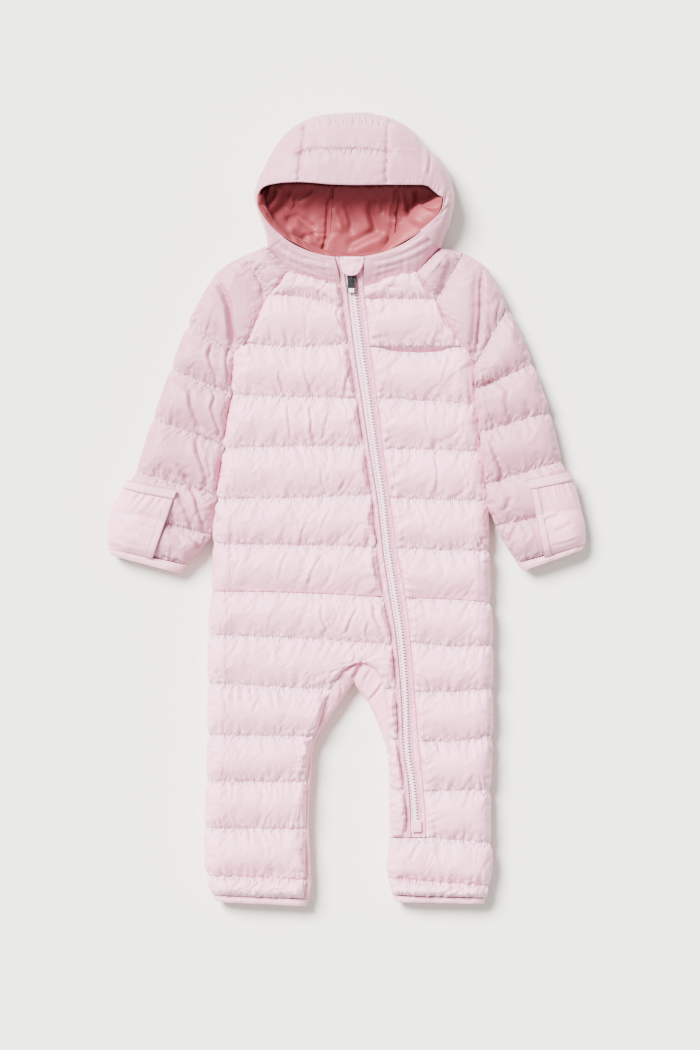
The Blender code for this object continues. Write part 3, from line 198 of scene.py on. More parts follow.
RIGHT_UPPER = Table(
    "q side mid zip",
    [
        (0, 270.2, 278, 285.4), (1, 295, 298.2, 309), (2, 342.6, 347.2, 343.4),
        (2.3, 356, 361, 359), (3, 394.2, 397.4, 398), (4, 448.4, 446.6, 446.6),
        (5, 499, 498, 495), (6, 544, 545.2, 547), (7, 591.2, 592.4, 597),
    ],
)
RIGHT_SEAT = Table(
    "q side mid zip",
    [(0, 591.5, 592.7, 597.3), (1, 635, 638.4, 645), (1.5, 658.6, 661, 662)],
)
LEFT_YOKE = Table(
    "q side mid zip",
    [(0, 271.9, 277.8, 286.8), (1, 299.6, 299, 299), (2, 347, 347, 347)],
)
LEFT_UPPER = Table(
    "q side mid zip",
    [
        (0, 347.6, 352.6, 347.4), (0.4, 367.4, 370, 366.6), (1, 404.8, 401.2, 398),
        (2, 452, 450, 449), (3, 501, 500, 498), (4, 550.4, 550, 548),
        (5, 602, 598.8, 598),
    ],
)
LEFT_LOWER = Table(
    "q side mid zip",
    [
        (0, 602.3, 599.1, 598.3), (1, 645, 646, 642), (2, 689, 691.4, 691.4),
        (3, 737, 741, 741), (4, 790, 790.2, 791), (5, 843, 839.6, 837.2),
    ],
)
RIGHT_LEG = Table(
    "q side mid inner rise",
    [
        (1.5, 658.6, 661, 662, 10.5), (1.62, 664, 665, 664.2, 10.3),
        (1.75, 670, 671, 670.5, 10), (2, 683, 686.4, 689.4, 9.6),
        (3, 735, 735.6, 736, 6), (4, 781, 781.4, 781.6, 5.2),
        (5, 828, 828.4, 828.6, 5.2), (6, 875, 877, 879, 7),
        (7, 894.6, 896.6, 898.6, 7),
    ],
)
LEFT_ANKLE = Table(
    "q side mid inner rise",
    [
        (5, 843, 839.6, 838, EDGE_RISE), (6, 885, 881.4, 878, EDGE_RISE),
        (7, 897.2, 896.1, 895, EDGE_RISE),
    ],
)
BESIDE_ZIP = Table(
    "q inner zip rise",
    [
        (1.5, 662, 662, 10.5), (1.62, 665.6, 667, 10.3), (1.75, 673, 675, 10),
        (2, 688, 689.4, 9.6), (2.5, 711, 712, 8.4), (3, 737, 739, 6),
        (3.4, 755, 757, 4.5), (4, 789, 790, EDGE_RISE), (5, 837, 837.2, EDGE_RISE),
    ],
)
BESIDE_OUTLINE_Y = 756.0
RIGHT_SLEEVE = Table(
    "q outer_x outer_y inner_x inner_y",
    [
        (0, 265.8, 247.4, 288.9, 270.6), (1, 242, 256.5, 267.7, 296.8),
        (1.5, 217.8, 273, 250, 330), (2, 188, 325, 233.6, 355.6),
        (3, 171, 369, 228.8, 395), (4, 153, 419, 221.5, 446),
        (5, 135.4, 472, 213.8, 495.5), (5.5, 125, 492, 212.6, 516),
        (6, 113.4, 511, 211.4, 534.5), (6.5, 110.6, 529, 201, 549),
        (7, 110, 546.6, 187, 564.6),
    ],
)
LEFT_SLEEVE = Table(
    "q outer_x outer_y inner_x inner_y",
    [
        (0, 441.8, 247.8, 416.6, 272.6), (1, 464, 253.6, 437, 302),
        (1.5, 486, 268.4, 457, 338), (2, 508, 307, 474.9, 367.4),
        (3, 533, 364, 476.4, 390), (4, 549.6, 412, 480.2, 433),
        (5, 562, 461, 487, 485), (5.5, 572.4, 486, 489.6, 508),
        (6, 578.4, 509, 495.6, 526), (6.5, 582.4, 527, 505.6, 545),
        (7, 583, 543, 517.2, 562.8),
    ],
)
HOOD = Table(
    "row rim_x rim_y rim_z outer_x outer_y",
    [
        (i, *row)
        for i, row in enumerate(
            [
                (282, 237, 38, 267, 246.4), (276, 232, 39, 266, 238),
                (270, 226, 40.5, 263.5, 228.5), (261.4, 213.5, 43, 258, 213.5),
                (257.8, 202, 45, 255, 200), (260, 192.5, 47, 257.4, 184),
                (266.5, 187.2, 50, 265.5, 164), (275, 185.2, 53, 276.5, 144.5),
                (285, 184.2, 57, 290.5, 128.5), (298.4, 183.9, 60, 307.5, 119.6),
                (315, 184.9, 62, 323, 115.2), (332.6, 186.4, 63, 339, 112.9),
                (358, 187, 63, 362, 112), (385.6, 186.6, 61, 388.3, 117.2),
                (396, 186.6, 60, 402, 122.6), (408, 186.5, 58, 414, 131.2),
                (420, 186.4, 55.5, 427, 147), (427.5, 187.6, 52.5, 439, 157),
                (433, 191.8, 50, 447.4, 170), (438.5, 196.4, 48, 452.4, 183),
                (443.6, 200.4, 46, 455, 197), (442.6, 208, 44.5, 453.6, 211),
                (438, 216.8, 43, 449.6, 226), (430.6, 223.8, 41, 444.4, 236),
                (421.8, 230.8, 39, 441, 246.8),
            ]
        )
    ],
)


CROWN, LINING_CROWN = (9, 13), (11, 14)  # hood rows that bound the centre panels
SKIN_SEAMS, LINING_FEET = (303.0, 387.0), (327.0, 391.5)  # x where they end on the floor


class Side(Enum):
    """Wearer's side, with the direction that leads from its outline into the garment."""

    RIGHT = ("right", 1.0, "strip")
    LEFT = ("left", -1.0, "left")

    @property
    def word(self) -> str:
        """Column and piece name of the side."""
        return self.value[0]

    @property
    def inwards(self) -> float:
        """Sign of x from the outline towards the zip."""
        return self.value[1]

    @property
    def zip_edge(self) -> str:
        """Zip column that the side's panels end on."""
        return self.value[2]


def ramp(x: Array) -> Array:
    """Value held between 0 and 1."""
    return np.clip(x, 0.0, 1.0)


def puff(q: Array) -> Array:
    """How far a channel stands up between its stitched lines: 0 on a line, 1 midway."""
    u = ramp(q - np.floor(q + 1e-9))
    return 1.0 - np.abs(2.0 * u - 1.0) ** 2.6


def rounding(distance: Array, radius: Array | float) -> Array:
    """Quarter-round: 0 at the edge, 1 from the radius inwards."""
    return np.sqrt(ramp(1.0 - (1.0 - ramp(distance / radius)) ** 2))


def rise_from_edge(distance: Array, edge_rise: Array | float, full: Array) -> Array:
    """Height of a padded panel at a distance from an edge of the given height.

    Args:
        distance: how far in from the edge.
        edge_rise: height at the edge.
        full: height past the edge's roll.

    Returns:
        The height at each distance.
    """
    soft = ramp(edge_rise / SEAM_RISE)
    radius = EDGE_ROLL + (SEAM_ROLL - EDGE_ROLL) * soft
    return edge_rise + (full - edge_rise) * rounding(distance, radius)


def bell(x: Array) -> Array:
    """Smooth bump of height 1 and half-width about 1."""
    return np.exp(-np.square(x))


def drawn_in(away: Array) -> Array:
    """How far an outline is drawn in at a distance from the end of a stitched line, in mm."""
    return 1.7 * bell(away / 5.0) - 0.5


def grid_quads(ids: Array) -> Array:
    """Corner numbers of the squares of a numbered grid."""
    return np.stack([ids[:-1, :-1], ids[:-1, 1:], ids[1:, 1:], ids[1:, :-1]], axis=-1)


def lay_out(outer: Array, inner: Array, share: Array, z: Array) -> Array:
    """Points at some shares of the way from an outer line to an inner one, at given heights."""
    flat = outer[:, None, :] + (inner - outer)[:, None, :] * share[..., None]
    return np.concatenate([flat, z[..., None]], axis=-1)


def running_length(steps: Array) -> Array:
    """Distance from the start, at each point of a path with the given steps."""
    return np.concatenate(([0.0], np.cumsum(steps)))


def metres(points: Array) -> Array:
    """Drafted points, in mm, in the part's own frame.

    Args:
        points: drafted points.

    Returns:
        The same points in metres.
    """
    return np.stack(
        [
            (points[..., 0] - DATUM_X) * MM,
            (DATUM_Y - points[..., 1]) * MM,
            points[..., 2] * MM,
        ],
        axis=-1,
    )


class Grain:
    """Smooth random values along a line, the same in every run."""

    def __init__(self, seed: int) -> None:
        """Draw the values."""
        self.values = np.random.default_rng(seed).uniform(-1.0, 1.0, 8192)

    def __call__(self, at: Array, lane: Array | int = 0) -> Array:
        """Value from -1 to 1.

        Args:
            at: place, in steps between one random value and the next.
            lane: which independent run of values to read.

        Returns:
            The value at each place.
        """
        at = at + 700.0
        whole = np.floor(at).astype(int)
        part = at - whole
        part = part * part * (3 - 2 * part)
        start = (whole + np.asarray(lane) * 173) % 8191
        return self.values[start] * (1 - part) + self.values[start + 1] * part


def polyline_distance(x: Array, y: Array, path: Sequence[Point]) -> tuple[Array, Array]:
    """Distance to a path and how far along it the nearest point lies.

    Args:
        x: drafted x of the points.
        y: drafted y of the points.
        path: corners of the path.

    Returns:
        Signed distance, positive on the right hand going along the path, and 0 to 1 along it.
    """
    corners = np.asarray(path, float)
    lengths = np.hypot(*np.diff(corners, axis=0).T)
    total, done = lengths.sum(), 0.0
    best = np.full(x.shape, 1e9)
    signed, along = np.zeros(x.shape), np.zeros(x.shape)
    for (ax, ay), (bx, by), length in zip(corners, corners[1:], lengths):
        ux, uy = (bx - ax) / length, (by - ay) / length
        t = np.clip((x - ax) * ux + (y - ay) * uy, 0, length)
        dx, dy = x - ax - t * ux, y - ay - t * uy
        distance = np.hypot(dx, dy)
        near = distance < best
        best = np.where(near, distance, best)
        side = np.where(ux * dy - uy * dx >= 0, 1.0, -1.0)
        signed = np.where(near, distance * side, signed)
        along = np.where(near, (done + t) / total, along)
        done += length
    return signed, along


@dataclass(frozen=True)
class Crease:
    """One fold in the cloth, along a path on the drafting sheet."""

    path: tuple[Point, ...]
    depth: float = 1.6
    width: float = 1.6
    lip: float = 0.8

    def height(self, x: Array, y: Array) -> Array:
        """Change of height that the fold makes, in mm.

        Args:
            x: drafted x of the points.
            y: drafted y of the points.

        Returns:
            The change at each point.
        """
        signed, along = polyline_distance(x, y, self.path)
        taper = ramp(along * 5) * ramp((1 - along) * 5)
        valley = -self.depth * bell(signed / self.width)
        ridge = self.lip * bell((signed - 2.2 * self.width) / (1.5 * self.width))
        return (valley + ridge) * taper * taper * (3 - 2 * taper)


def crease_rows(*rows: tuple[float, ...]) -> tuple[Crease, ...]:
    """Folds from rows of a depth, a width, a lip, and then the x and y of each point."""
    return tuple(Crease(tuple(zip(row[3::2], row[4::2])), *row[:3]) for row in rows)


@dataclass
class Stitching:
    """A stitched line or seam that draws the cloth in, as seen by each point of a surface."""

    away: Array
    along: Array
    lane: Array
    strength: float = 1.0
    meander: float = 0.0


@dataclass
class Surface:
    """Grid of points on a cloth's outer face, with the stitching that shapes it."""

    points: Array
    held: Array
    stitching: list[Stitching]
    calm: Array
    across: Point = (1.0, 0.0)
    up: float = 1.0
    lines: list[int] = field(default_factory=list)
    ids: Array | None = None

    def normals(self) -> Array:
        """Outward direction at each point, on the drafting sheet's axes.

        Returns:
            One unit vector a point.
        """
        flipped = self.points * np.array([1.0, -1.0, 1.0])
        normal = np.cross(np.gradient(flipped, axis=1), np.gradient(flipped, axis=0))
        normal *= self.up
        length = np.linalg.norm(normal, axis=-1, keepdims=True)
        normal /= np.maximum(length, 1e-9)
        return normal * np.array([1.0, -1.0, 1.0])

    def seam_map(self) -> Array:
        """Place along the nearest quilted line and distance from it, at each point.

        Returns:
            Both values in mm, the lines kept apart by a step of 1000.
        """
        quilted = [line for line in self.stitching if line.meander]
        if not quilted:
            return np.stack([np.zeros(self.held.shape), np.full(self.held.shape, FAR)], axis=-1)
        away = np.stack([np.abs(line.away) for line in quilted])
        along = np.stack([line.along + 0 * line.away for line in quilted])
        near = away.argmin(0)[None]
        pick = [np.take_along_axis(values, near, 0)[0] for values in (along, away)]
        return np.stack([pick[0] + 1000.0 * near[0], pick[1]], axis=-1)

    def settle_direction(self) -> None:
        """Make the outward direction point up on the whole."""
        self.up = 1.0
        if self.normals()[..., 2].mean() < 0:
            self.up = -1.0

    def quads(self, ids: Array) -> Array:
        """Corner numbers of the surface's squares, turned to face outwards."""
        corners = grid_quads(ids).reshape(-1, 4)
        return corners[:, ::-1] if self.up < 0 else corners

    @classmethod
    def bare(cls, points: Array) -> "Surface":
        """Surface without stitching, with nothing held."""
        shape = points.shape[:2]
        return cls(points, np.zeros(shape, bool), [], np.zeros(shape))


@dataclass(frozen=True)
class Puckers:
    """Small folds that stitching draws into the cloth beside it."""

    pitch: float = 9.0
    height: float = 0.8
    loose: float = 1.0
    reach: float = 2.4
    grain: Grain = field(default_factory=lambda: Grain(11))

    def shape(self, line: Stitching) -> Array:
        """Height of the folds, in mm, at every point of a surface.

        Args:
            line: the stitching that draws them up.

        Returns:
            The heights.
        """
        away = np.abs(line.away)
        lane = np.asarray(line.lane)
        lean = 0.55 * self.grain(line.along / 38.0, lane) + 0.2
        along = line.along + away * lean + 1.2 * self.grain(line.along / 9.0, lane + 3)
        some = 0.75 + 0.5 * self.grain(line.along / 21.0, lane + 7)
        fine = np.abs(np.sin(math.pi * along / self.pitch + 2.4 * self.grain(along / 26.0, lane)))
        near = (away / self.reach) * np.exp(1 - away / self.reach)
        total = self.height * some * near * (1.7 * fine - 1.05)
        for step, height, reach in ((5.5, 0.7, 5.0), (9.5, 0.85, 10.0)):
            wave = 2.0 * np.abs(self.grain(along / step, lane + 11)) - 0.8
            fade = self.loose * ramp((24.0 - away) / 12.0)
            total += height * fade * wave * (away / reach) * np.exp(1 - away / reach)
        return total * line.strength

    def shift(self, line: Stitching) -> Array:
        """How far the stitched line itself wanders, in mm.

        Args:
            line: the stitched line.

        Returns:
            The shift at each point.
        """
        turn = 2 * math.pi * line.along / self.pitch
        wander = np.sin(turn + 3 * self.grain(line.along / 26.0, 5))
        return line.meander * wander * bell(line.away / 3.2)


def odd_count(length: float, spacing: float = FINE) -> int:
    """Number of points, always odd, that covers a length at about the given spacing."""
    return 2 * max(1, math.ceil(length / (2 * spacing))) + 1


def column_shares(width: float, spacing: float = FINE) -> Array:
    """Column positions from 0 to 1, closer together at both edges."""
    t = np.linspace(0.0, 1.0, odd_count(width, spacing))
    return t - 0.45 * np.sin(2 * math.pi * t) / (2 * math.pi)


@dataclass(frozen=True)
class Quilt:
    """Stitched lines of a panel, by the y where each crosses its middle."""

    lines: tuple[float, ...]

    def y(self, q: Array) -> Array:
        """Middle y of a stitched line, or of a place between two."""
        return np.interp(q, range(len(self.lines)), self.lines)

    def rows(self, start: float, stop: float) -> Array:
        """Row positions, with one on every line and an even number between two lines.

        Args:
            start: first place among the lines.
            stop: last place.

        Returns:
            The rows.
        """
        marks = [start] + [q for q in range(len(self.lines)) if start < q < stop] + [stop]
        rows: list[float] = []
        for a, b in zip(marks, marks[1:]):
            count = odd_count(float(abs(self.y(b) - self.y(a)))) - 1
            rows += list(np.linspace(a, b, count, endpoint=False))
        return np.array(rows + [stop])

    def away(self, q: Array) -> tuple[Array, Array]:
        """Signed distance from the nearest line, in mm, and that line's number."""
        line = np.floor(q + 0.5)
        return self.y(q) - self.y(line), line.astype(int)


def quilted_surface(
    quilt: Quilt,
    q: Array,
    shares: Array,
    first: tuple[Array, Array],
    middle_y: Array,
    last: tuple[Array, Array],
    rises: tuple[Array | float, Array | float],
    lane: int,
    edges: tuple[float, float] = (0.35, 0.8),
    fork: bool = False,
) -> Surface:
    """Padded panel between two edges.

    Args:
        quilt: its stitched lines.
        q: row positions among the lines.
        shares: column positions from the first edge to the last.
        first: x and y of the first edge in each row.
        middle_y: y of each row at the panel's middle.
        last: x and y of the last edge in each row.
        rises: height of each edge over the panel's foot.
        lane: number that keeps this panel's small folds apart from the others'.
        edges: strength of the folds along the two edges.
        fork: whether the panel dips to the gusset's seam as well.

    Returns:
        The panel's outer face.
    """
    rows, s = q[:, None], shares[None, :]
    x1, y1, x2, y2 = (np.asarray(values)[:, None] for values in (*first, *last))
    bend = middle_y[:, None] - (y1 + y2) / 2
    x = x1 + (x2 - x1) * s
    y = y1 + (y2 - y1) * s + 4 * bend * s * (1 - s)
    width = np.abs(x2 - x1)
    near, far = s * width, (1 - s) * width
    full = VALLEY + (CREST - VALLEY) * puff(rows) + 0 * s
    rises = tuple(np.broadcast_to(np.asarray(r, float), q.shape)[:, None] for r in rises)
    z = np.minimum(rise_from_edge(near, rises[0], full), rise_from_edge(far, rises[1], full))
    if fork:
        seam = [(float(GUSSET_SEAM[n](y)), float(y)) for n, y in FORK_SEAM]
        gap = np.abs(polyline_distance(x, y, seam)[0])
        z = np.minimum(z, rise_from_edge(gap, 10.5 + 0 * s, full))
    points = np.stack([x, y, FRONT_LOW + z], axis=-1)
    from_line, line = quilt.away(rows + 0 * s)
    side = (from_line > 0).astype(int)
    held = np.abs(from_line) < ON_LINE
    held[:, [0, -1]] = True
    held[[0, -1], :] = True
    stitching = [
        Stitching(from_line, x, lane + 2 * line + side, 1.0, 0.55),
        Stitching(near, y * 1.0, np.full(x.shape, lane + 60), edges[0]),
        Stitching(far, y * 1.0, np.full(x.shape, lane + 61), edges[1]),
    ]
    made = Surface(points, held, stitching, np.zeros(x.shape))
    made.settle_direction()
    made.lines = [i for i, v in enumerate(q) if abs(v - round(v)) < 1e-6 and q[0] < v < q[-1]]
    return made


FORK_SEAM = [("right", y) for y in (744.0, 715.0, 690.0, 680.0, 672.0, 666.5, 663.5)]
FORK_SEAM += [("left", y) for y in (662.0, 663.5, 666.5, 672.0, 680.0, 690.0, 715.0, 744.0)]


def column_values(name: str, *parts: tuple[Table, int, int]) -> tuple[float, ...]:
    """Values of a column at the whole numbers from one row to another, of one table or more.

    Args:
        name: the column.
        parts: each table with its first and last row.

    Returns:
        The values in order.
    """
    return tuple(
        float(table[name](q)) for table, first, last in parts for q in range(first, last + 1)
    )


SIDE_LINES = {
    "right": column_values("side", (RIGHT_UPPER, 2, 7), (RIGHT_SEAT, 1, 1), (RIGHT_LEG, 2, 6)),
    "left": column_values("side", (LEFT_UPPER, 1, 5), (LEFT_LOWER, 1, 5), (LEFT_ANKLE, 6, 6)),
}
UNDERARM = {"right": 355.0, "left": 367.0}
SMOOTH = 40.0  # distance from stitching, for cloth that lies smooth along the waist seam
PARTING = {"right": 526.0, "left": 509.0}  # where each sleeve leaves the body


def pinch(side: Side, y: Array) -> Array:
    """How far the outline is drawn in by the stitched lines that end on it, in mm.

    Args:
        side: which side.
        y: places down it.

    Returns:
        The distance at each place.
    """
    y = np.asarray(y, float)
    away = np.min([np.abs(y - line) for line in SIDE_LINES[side.word]], axis=0)
    free = ramp((y - UNDERARM[side.word]) / 12.0)
    return free * drawn_in(away)


def outline(side: Side, y: Array, gap: float = GAP) -> tuple[Array, Array]:
    """Outer side of the body at each y, as x and y."""
    x = SIDES[side.word](y) + side.inwards * (gap + pinch(side, y))
    return x, np.asarray(y, float)


def front(table: Table, side: Side, quilt: Quilt, lane: int, at_neck: bool = False) -> Surface:
    """Front panel between the garment's side and the zip.

    Args:
        table: y of its stitched lines at both edges and the middle.
        side: which side it is on.
        quilt: its stitched lines.
        lane: number that keeps its small folds apart from the others'.
        at_neck: whether its top follows the neck seam.

    Returns:
        The panel's outer face.
    """
    q = quilt.rows(table.key[0], table.key[-1])
    side_y, mid_y, zip_y = table["side"](q), table["mid"](q), table["zip"](q)
    first = outline(side, side_y)
    last = (ZIP[side.zip_edge](zip_y) - side.inwards * GAP, zip_y)
    sewn = ramp((UNDERARM[side.word] - side_y) / 8.0)
    rise = EDGE_RISE + (SEAM_RISE - EDGE_RISE) * sewn
    shares = column_shares(float(np.abs(last[0] - first[0]).max()))
    made = quilted_surface(quilt, q, shares, first, mid_y, last, (rise, SEAM_RISE), lane)
    if table in (RIGHT_UPPER, LEFT_UPPER):
        quilting = made.stitching[0]
        quilting.away = np.where(q[:, None] > q[-1] - 0.5, SMOOTH, quilting.away)
    if at_neck:
        x, y = made.points[..., 0], made.points[..., 1]
        pull = ramp(1.0 - q / 0.5)[:, None]
        share = pull * ramp(np.abs(x - x[:, :1]) / 14.0)
        share[0] = 1.0
        made.points[..., 1] = y + (NECK["y"](x) + GAP - y) * share
    return made


def right_leg_front() -> list[Surface]:
    """Seat, leg and the strip beside the zip, which divide at the gusset's peak.

    Returns:
        The three surfaces, which touch at the peak.
    """
    quilt = Quilt((592.7, 638.4, 687.0, 735.6, 781.4, 828.4, 877.0, 896.6))
    q = quilt.rows(1.5, 7.0)
    inner_y = RIGHT_LEG["inner"](q)
    last = (GUSSET_SEAM["right"](inner_y) - 1.5 * GAP, inner_y)
    first = outline(Side.RIGHT, RIGHT_LEG["side"](q))
    rises = (EDGE_RISE, RIGHT_LEG["rise"](q))
    leg = quilted_surface(
        quilt, q, column_shares(140.0), first, RIGHT_LEG["mid"](q), last, rises, 400, (0.35, 0.9)
    )
    beside = Quilt((592.7, 638.4, 688.5, 738.0, 789.5, 837.0))
    q = beside.rows(1.5, 5.0)
    inner_y, zip_y = BESIDE_ZIP["inner"](q), BESIDE_ZIP["zip"](q)
    low = ramp((inner_y - BESIDE_OUTLINE_Y) / 6.0)
    edge = GUSSET_SEAM["left"](inner_y) * (1 - low) + INNER["left"](inner_y) * low
    first = (edge + 1.5 * GAP, inner_y)
    last = (ZIP["strip"](zip_y) - GAP, zip_y)
    rises = (BESIDE_ZIP["rise"](q), SEAM_RISE)
    strip = quilted_surface(
        beside, q, column_shares(34.0), first, (inner_y + zip_y) / 2, last, rises, 500, (0.6, 0.7)
    )
    strip.points[0, 0] = leg.points[0, -1]
    fork = np.concatenate([leg.points[0], strip.points[0, 1:]])
    shares = (fork[:, 0] - fork[0, 0]) / (fork[-1, 0] - fork[0, 0])
    q = quilt.rows(0.0, 1.5)
    side_y, mid_y, zip_y = RIGHT_SEAT["side"](q), RIGHT_SEAT["mid"](q), RIGHT_SEAT["zip"](q)
    last = (ZIP["strip"](zip_y) - GAP, zip_y)
    seat = quilted_surface(
        quilt, q, shares, outline(Side.RIGHT, side_y), mid_y, last, (EDGE_RISE, SEAM_RISE), 400,
        fork=True,
    )
    seat.points[-1] = fork
    seat.held[-1, 1:-1] = False
    leg.held[0, 1:-1] = False
    strip.held[0, 1:-1] = False
    return [seat, leg, strip]


def left_leg_front() -> list[Surface]:
    """Left leg: beside the zip above, the whole leg's width below it.

    Returns:
        The two surfaces, which share a row.
    """
    quilt = Quilt(column_values("mid", (LEFT_LOWER, 0, 5), (LEFT_ANKLE, 6, 7)))
    upper = front(LEFT_LOWER, Side.LEFT, quilt, 600)
    side_end, zip_end = upper.points[-1, 0], upper.points[-1, -1]
    inner_end = float(INNER["left"](zip_end[1])) + GAP
    count = odd_count(zip_end[0] - inner_end) - 1
    inner_x = np.linspace(zip_end[0], inner_end, count + 1)[1:]
    near = inner_x - inner_end
    inner_z = FRONT_LOW + rise_from_edge(near, EDGE_RISE, np.full(near.shape, VALLEY))
    inner = np.stack([inner_x, np.full(near.shape, zip_end[1] + 0.4), inner_z], axis=-1)
    top = np.concatenate([upper.points[-1], inner])
    shares = (top[:, 0] - side_end[0]) / (inner_end - side_end[0])
    q = quilt.rows(5.0, 7.0)
    inner_y = LEFT_ANKLE["inner"](q)
    last = (INNER["left"](inner_y) + GAP, inner_y)
    ankle = quilted_surface(
        quilt, q, shares, outline(Side.LEFT, LEFT_ANKLE["side"](q)), LEFT_ANKLE["mid"](q), last,
        (EDGE_RISE, EDGE_RISE), 600,
    )
    ankle.points[0] = top
    return [upper, ankle]


def under_and_slit(
    top: Array, outer: Array, inner: Array, slit: float, loose: Array | float = 1.0
) -> Array:
    """Rings through a folded band's top, its underside and the slit between its layers.

    Args:
        top: its finished top face.
        outer: plan of its outer fold.
        inner: plan of its inner edge.
        slit: how far from the fold the slit starts.
        loose: share by which the inner edge rounds up as well.

    Returns:
        The closed rings.
    """
    width = np.linalg.norm(inner - outer, axis=1)[:, None]
    roll = BACK_ROLL * np.minimum(1.0, 0.45 * width / BACK_ROLL)
    start, end = np.array([0.08, 0.2, 0.36, 0.55, 0.78, 1.0]), np.array([1.0, 0.6, 0.3, 0.12, 0])
    distance = np.concatenate([roll * start, width - roll * end], axis=1)
    low = 1.0 - rounding(distance, roll)
    low = np.maximum(low, loose * (1.0 - rounding(width - distance, roll)))
    under_z = low * (BACK_HIGH - EDGE_RISE)
    short = np.minimum(slit, width * 0.5)
    distance = np.concatenate([distance, width, short, short, width], axis=1)
    levels = np.array([[BACK_HIGH, BACK_HIGH, FRONT_LOW, FRONT_LOW]]) * np.ones_like(width)
    z = np.concatenate([under_z, levels], axis=1)
    return np.concatenate([top, lay_out(outer, inner, distance / width, z)], axis=1)


@dataclass
class SleeveShape:
    """Folded sleeve: its top face for the quilting, and the rest of each ring."""

    table: Table
    side: Side
    lane: int
    flap: float = 5.15  # row from which the mitten flap lies on it
    slit: float = 6.5  # how far from the fold its two layers part

    def lines(self) -> Quilt:
        """Stitched lines by their distance down the arm.

        Returns:
            The lines.
        """
        at = np.linspace(0.0, 7.0, 141)
        x = (self.table["outer_x"](at) + self.table["inner_x"](at)) / 2
        y = (self.table["outer_y"](at) + self.table["inner_y"](at)) / 2
        length = running_length(np.hypot(np.diff(x), np.diff(y)))
        return Quilt(tuple(np.interp(range(8), at, length)))

    def edges(self, q: Array) -> tuple[Array, Array, Array]:
        """Outer fold, inner edge and fullness of each row.

        Args:
            q: rows among the stitched lines.

        Returns:
            Plan of the fold, plan of the inner edge, and the fullness.
        """
        away, _ = self.lines().away(q)
        outer = np.stack([self.table["outer_x"](q), self.table["outer_y"](q)], axis=-1)
        inner_y = self.table["inner_y"](q)
        beside = SIDES[self.side.word](inner_y) + self.side.inwards * (
            pinch(self.side, inner_y) + 1.4
        )
        free = ramp((inner_y - PARTING[self.side.word]) / 6.0)
        inner_x = beside * (1 - free) + self.table["inner_x"](q) * free
        inner = np.stack([inner_x, inner_y], axis=-1)
        inward = (inner - outer) / np.linalg.norm(inner - outer, axis=1, keepdims=True)
        drawn = drawn_in(away) * ramp((q - 1.0) * 2)
        drawn *= ramp((self.flap - q) * 8)
        outer = outer + inward * drawn[:, None]
        full = VALLEY - 1.5 + (CREST - VALLEY) * puff(q)
        return outer, inner, full

    def surface(self) -> tuple[Surface, Array]:
        """Top face from the inner edge to the fold, and its rows.

        Returns:
            The face and its rows.
        """
        quilt = self.lines()
        q = quilt.rows(0.0, 7.0)
        outer, inner, full = self.edges(q)
        width = np.linalg.norm(inner - outer, axis=1)[:, None]
        shares = (1.0 - column_shares(float(width.max())))[None, :]
        distance = shares * width
        sewn = ramp((2.0 - q) / 0.12)[:, None]
        parting = PARTING[self.side.word] - 4.0
        beside = 0.7 * ramp((parting - inner[:, 1:]) / 12.0)
        inner_rise = EDGE_RISE + (SEAM_RISE - EDGE_RISE) * np.maximum(sewn, beside)
        full = full[:, None] + 0 * shares
        z = np.minimum(
            rise_from_edge(distance, 0.0, full), rise_from_edge(width - distance, inner_rise, full)
        )
        points = lay_out(outer, inner, shares, FRONT_LOW + z)
        points[:, -1, 2] = MID
        away, line = quilt.away(q[:, None] + 0 * shares)
        held = np.abs(away) < ON_LINE
        held[:, [0, -1]] = True
        held[[0, -1], :] = True
        under_flap = (q[:, None] > self.flap) & (shares < 0.6)
        held |= under_flap
        stitching = [
            Stitching(away, distance, self.lane + 2 * line + (away > 0), 1.0, 0.5),
            Stitching(width - distance, points[..., 1], np.full(away.shape, self.lane + 60), 0.5),
        ]
        calm = np.where(under_flap, 0.9, 0.0)
        axis = inner[len(q) // 2] - outer[len(q) // 2]
        axis = axis / np.linalg.norm(axis)
        made = Surface(points, held, stitching, calm, (float(axis[0]), float(axis[1])))
        made.settle_direction()
        made.lines = [i for i, v in enumerate(q) if abs(v - round(v)) < 1e-6 and 0 < v < 5.5]
        return made, q

    def rings(self, top: Array, q: Array) -> Array:
        """Whole rings through the finished top face, the underside and the hollow.

        Args:
            top: the finished top face.
            q: its rows.

        Returns:
            The closed rings.
        """
        outer, inner, _ = self.edges(q)
        loose = ramp((q - 1.9) / 0.12)[:, None]
        rings = under_and_slit(top, outer, inner, self.slit, loose)
        step = rings[0] - rings[2]
        rings[0] += 0.7 * step / np.maximum(np.linalg.norm(step, axis=1, keepdims=True), 1e-9)
        return rings


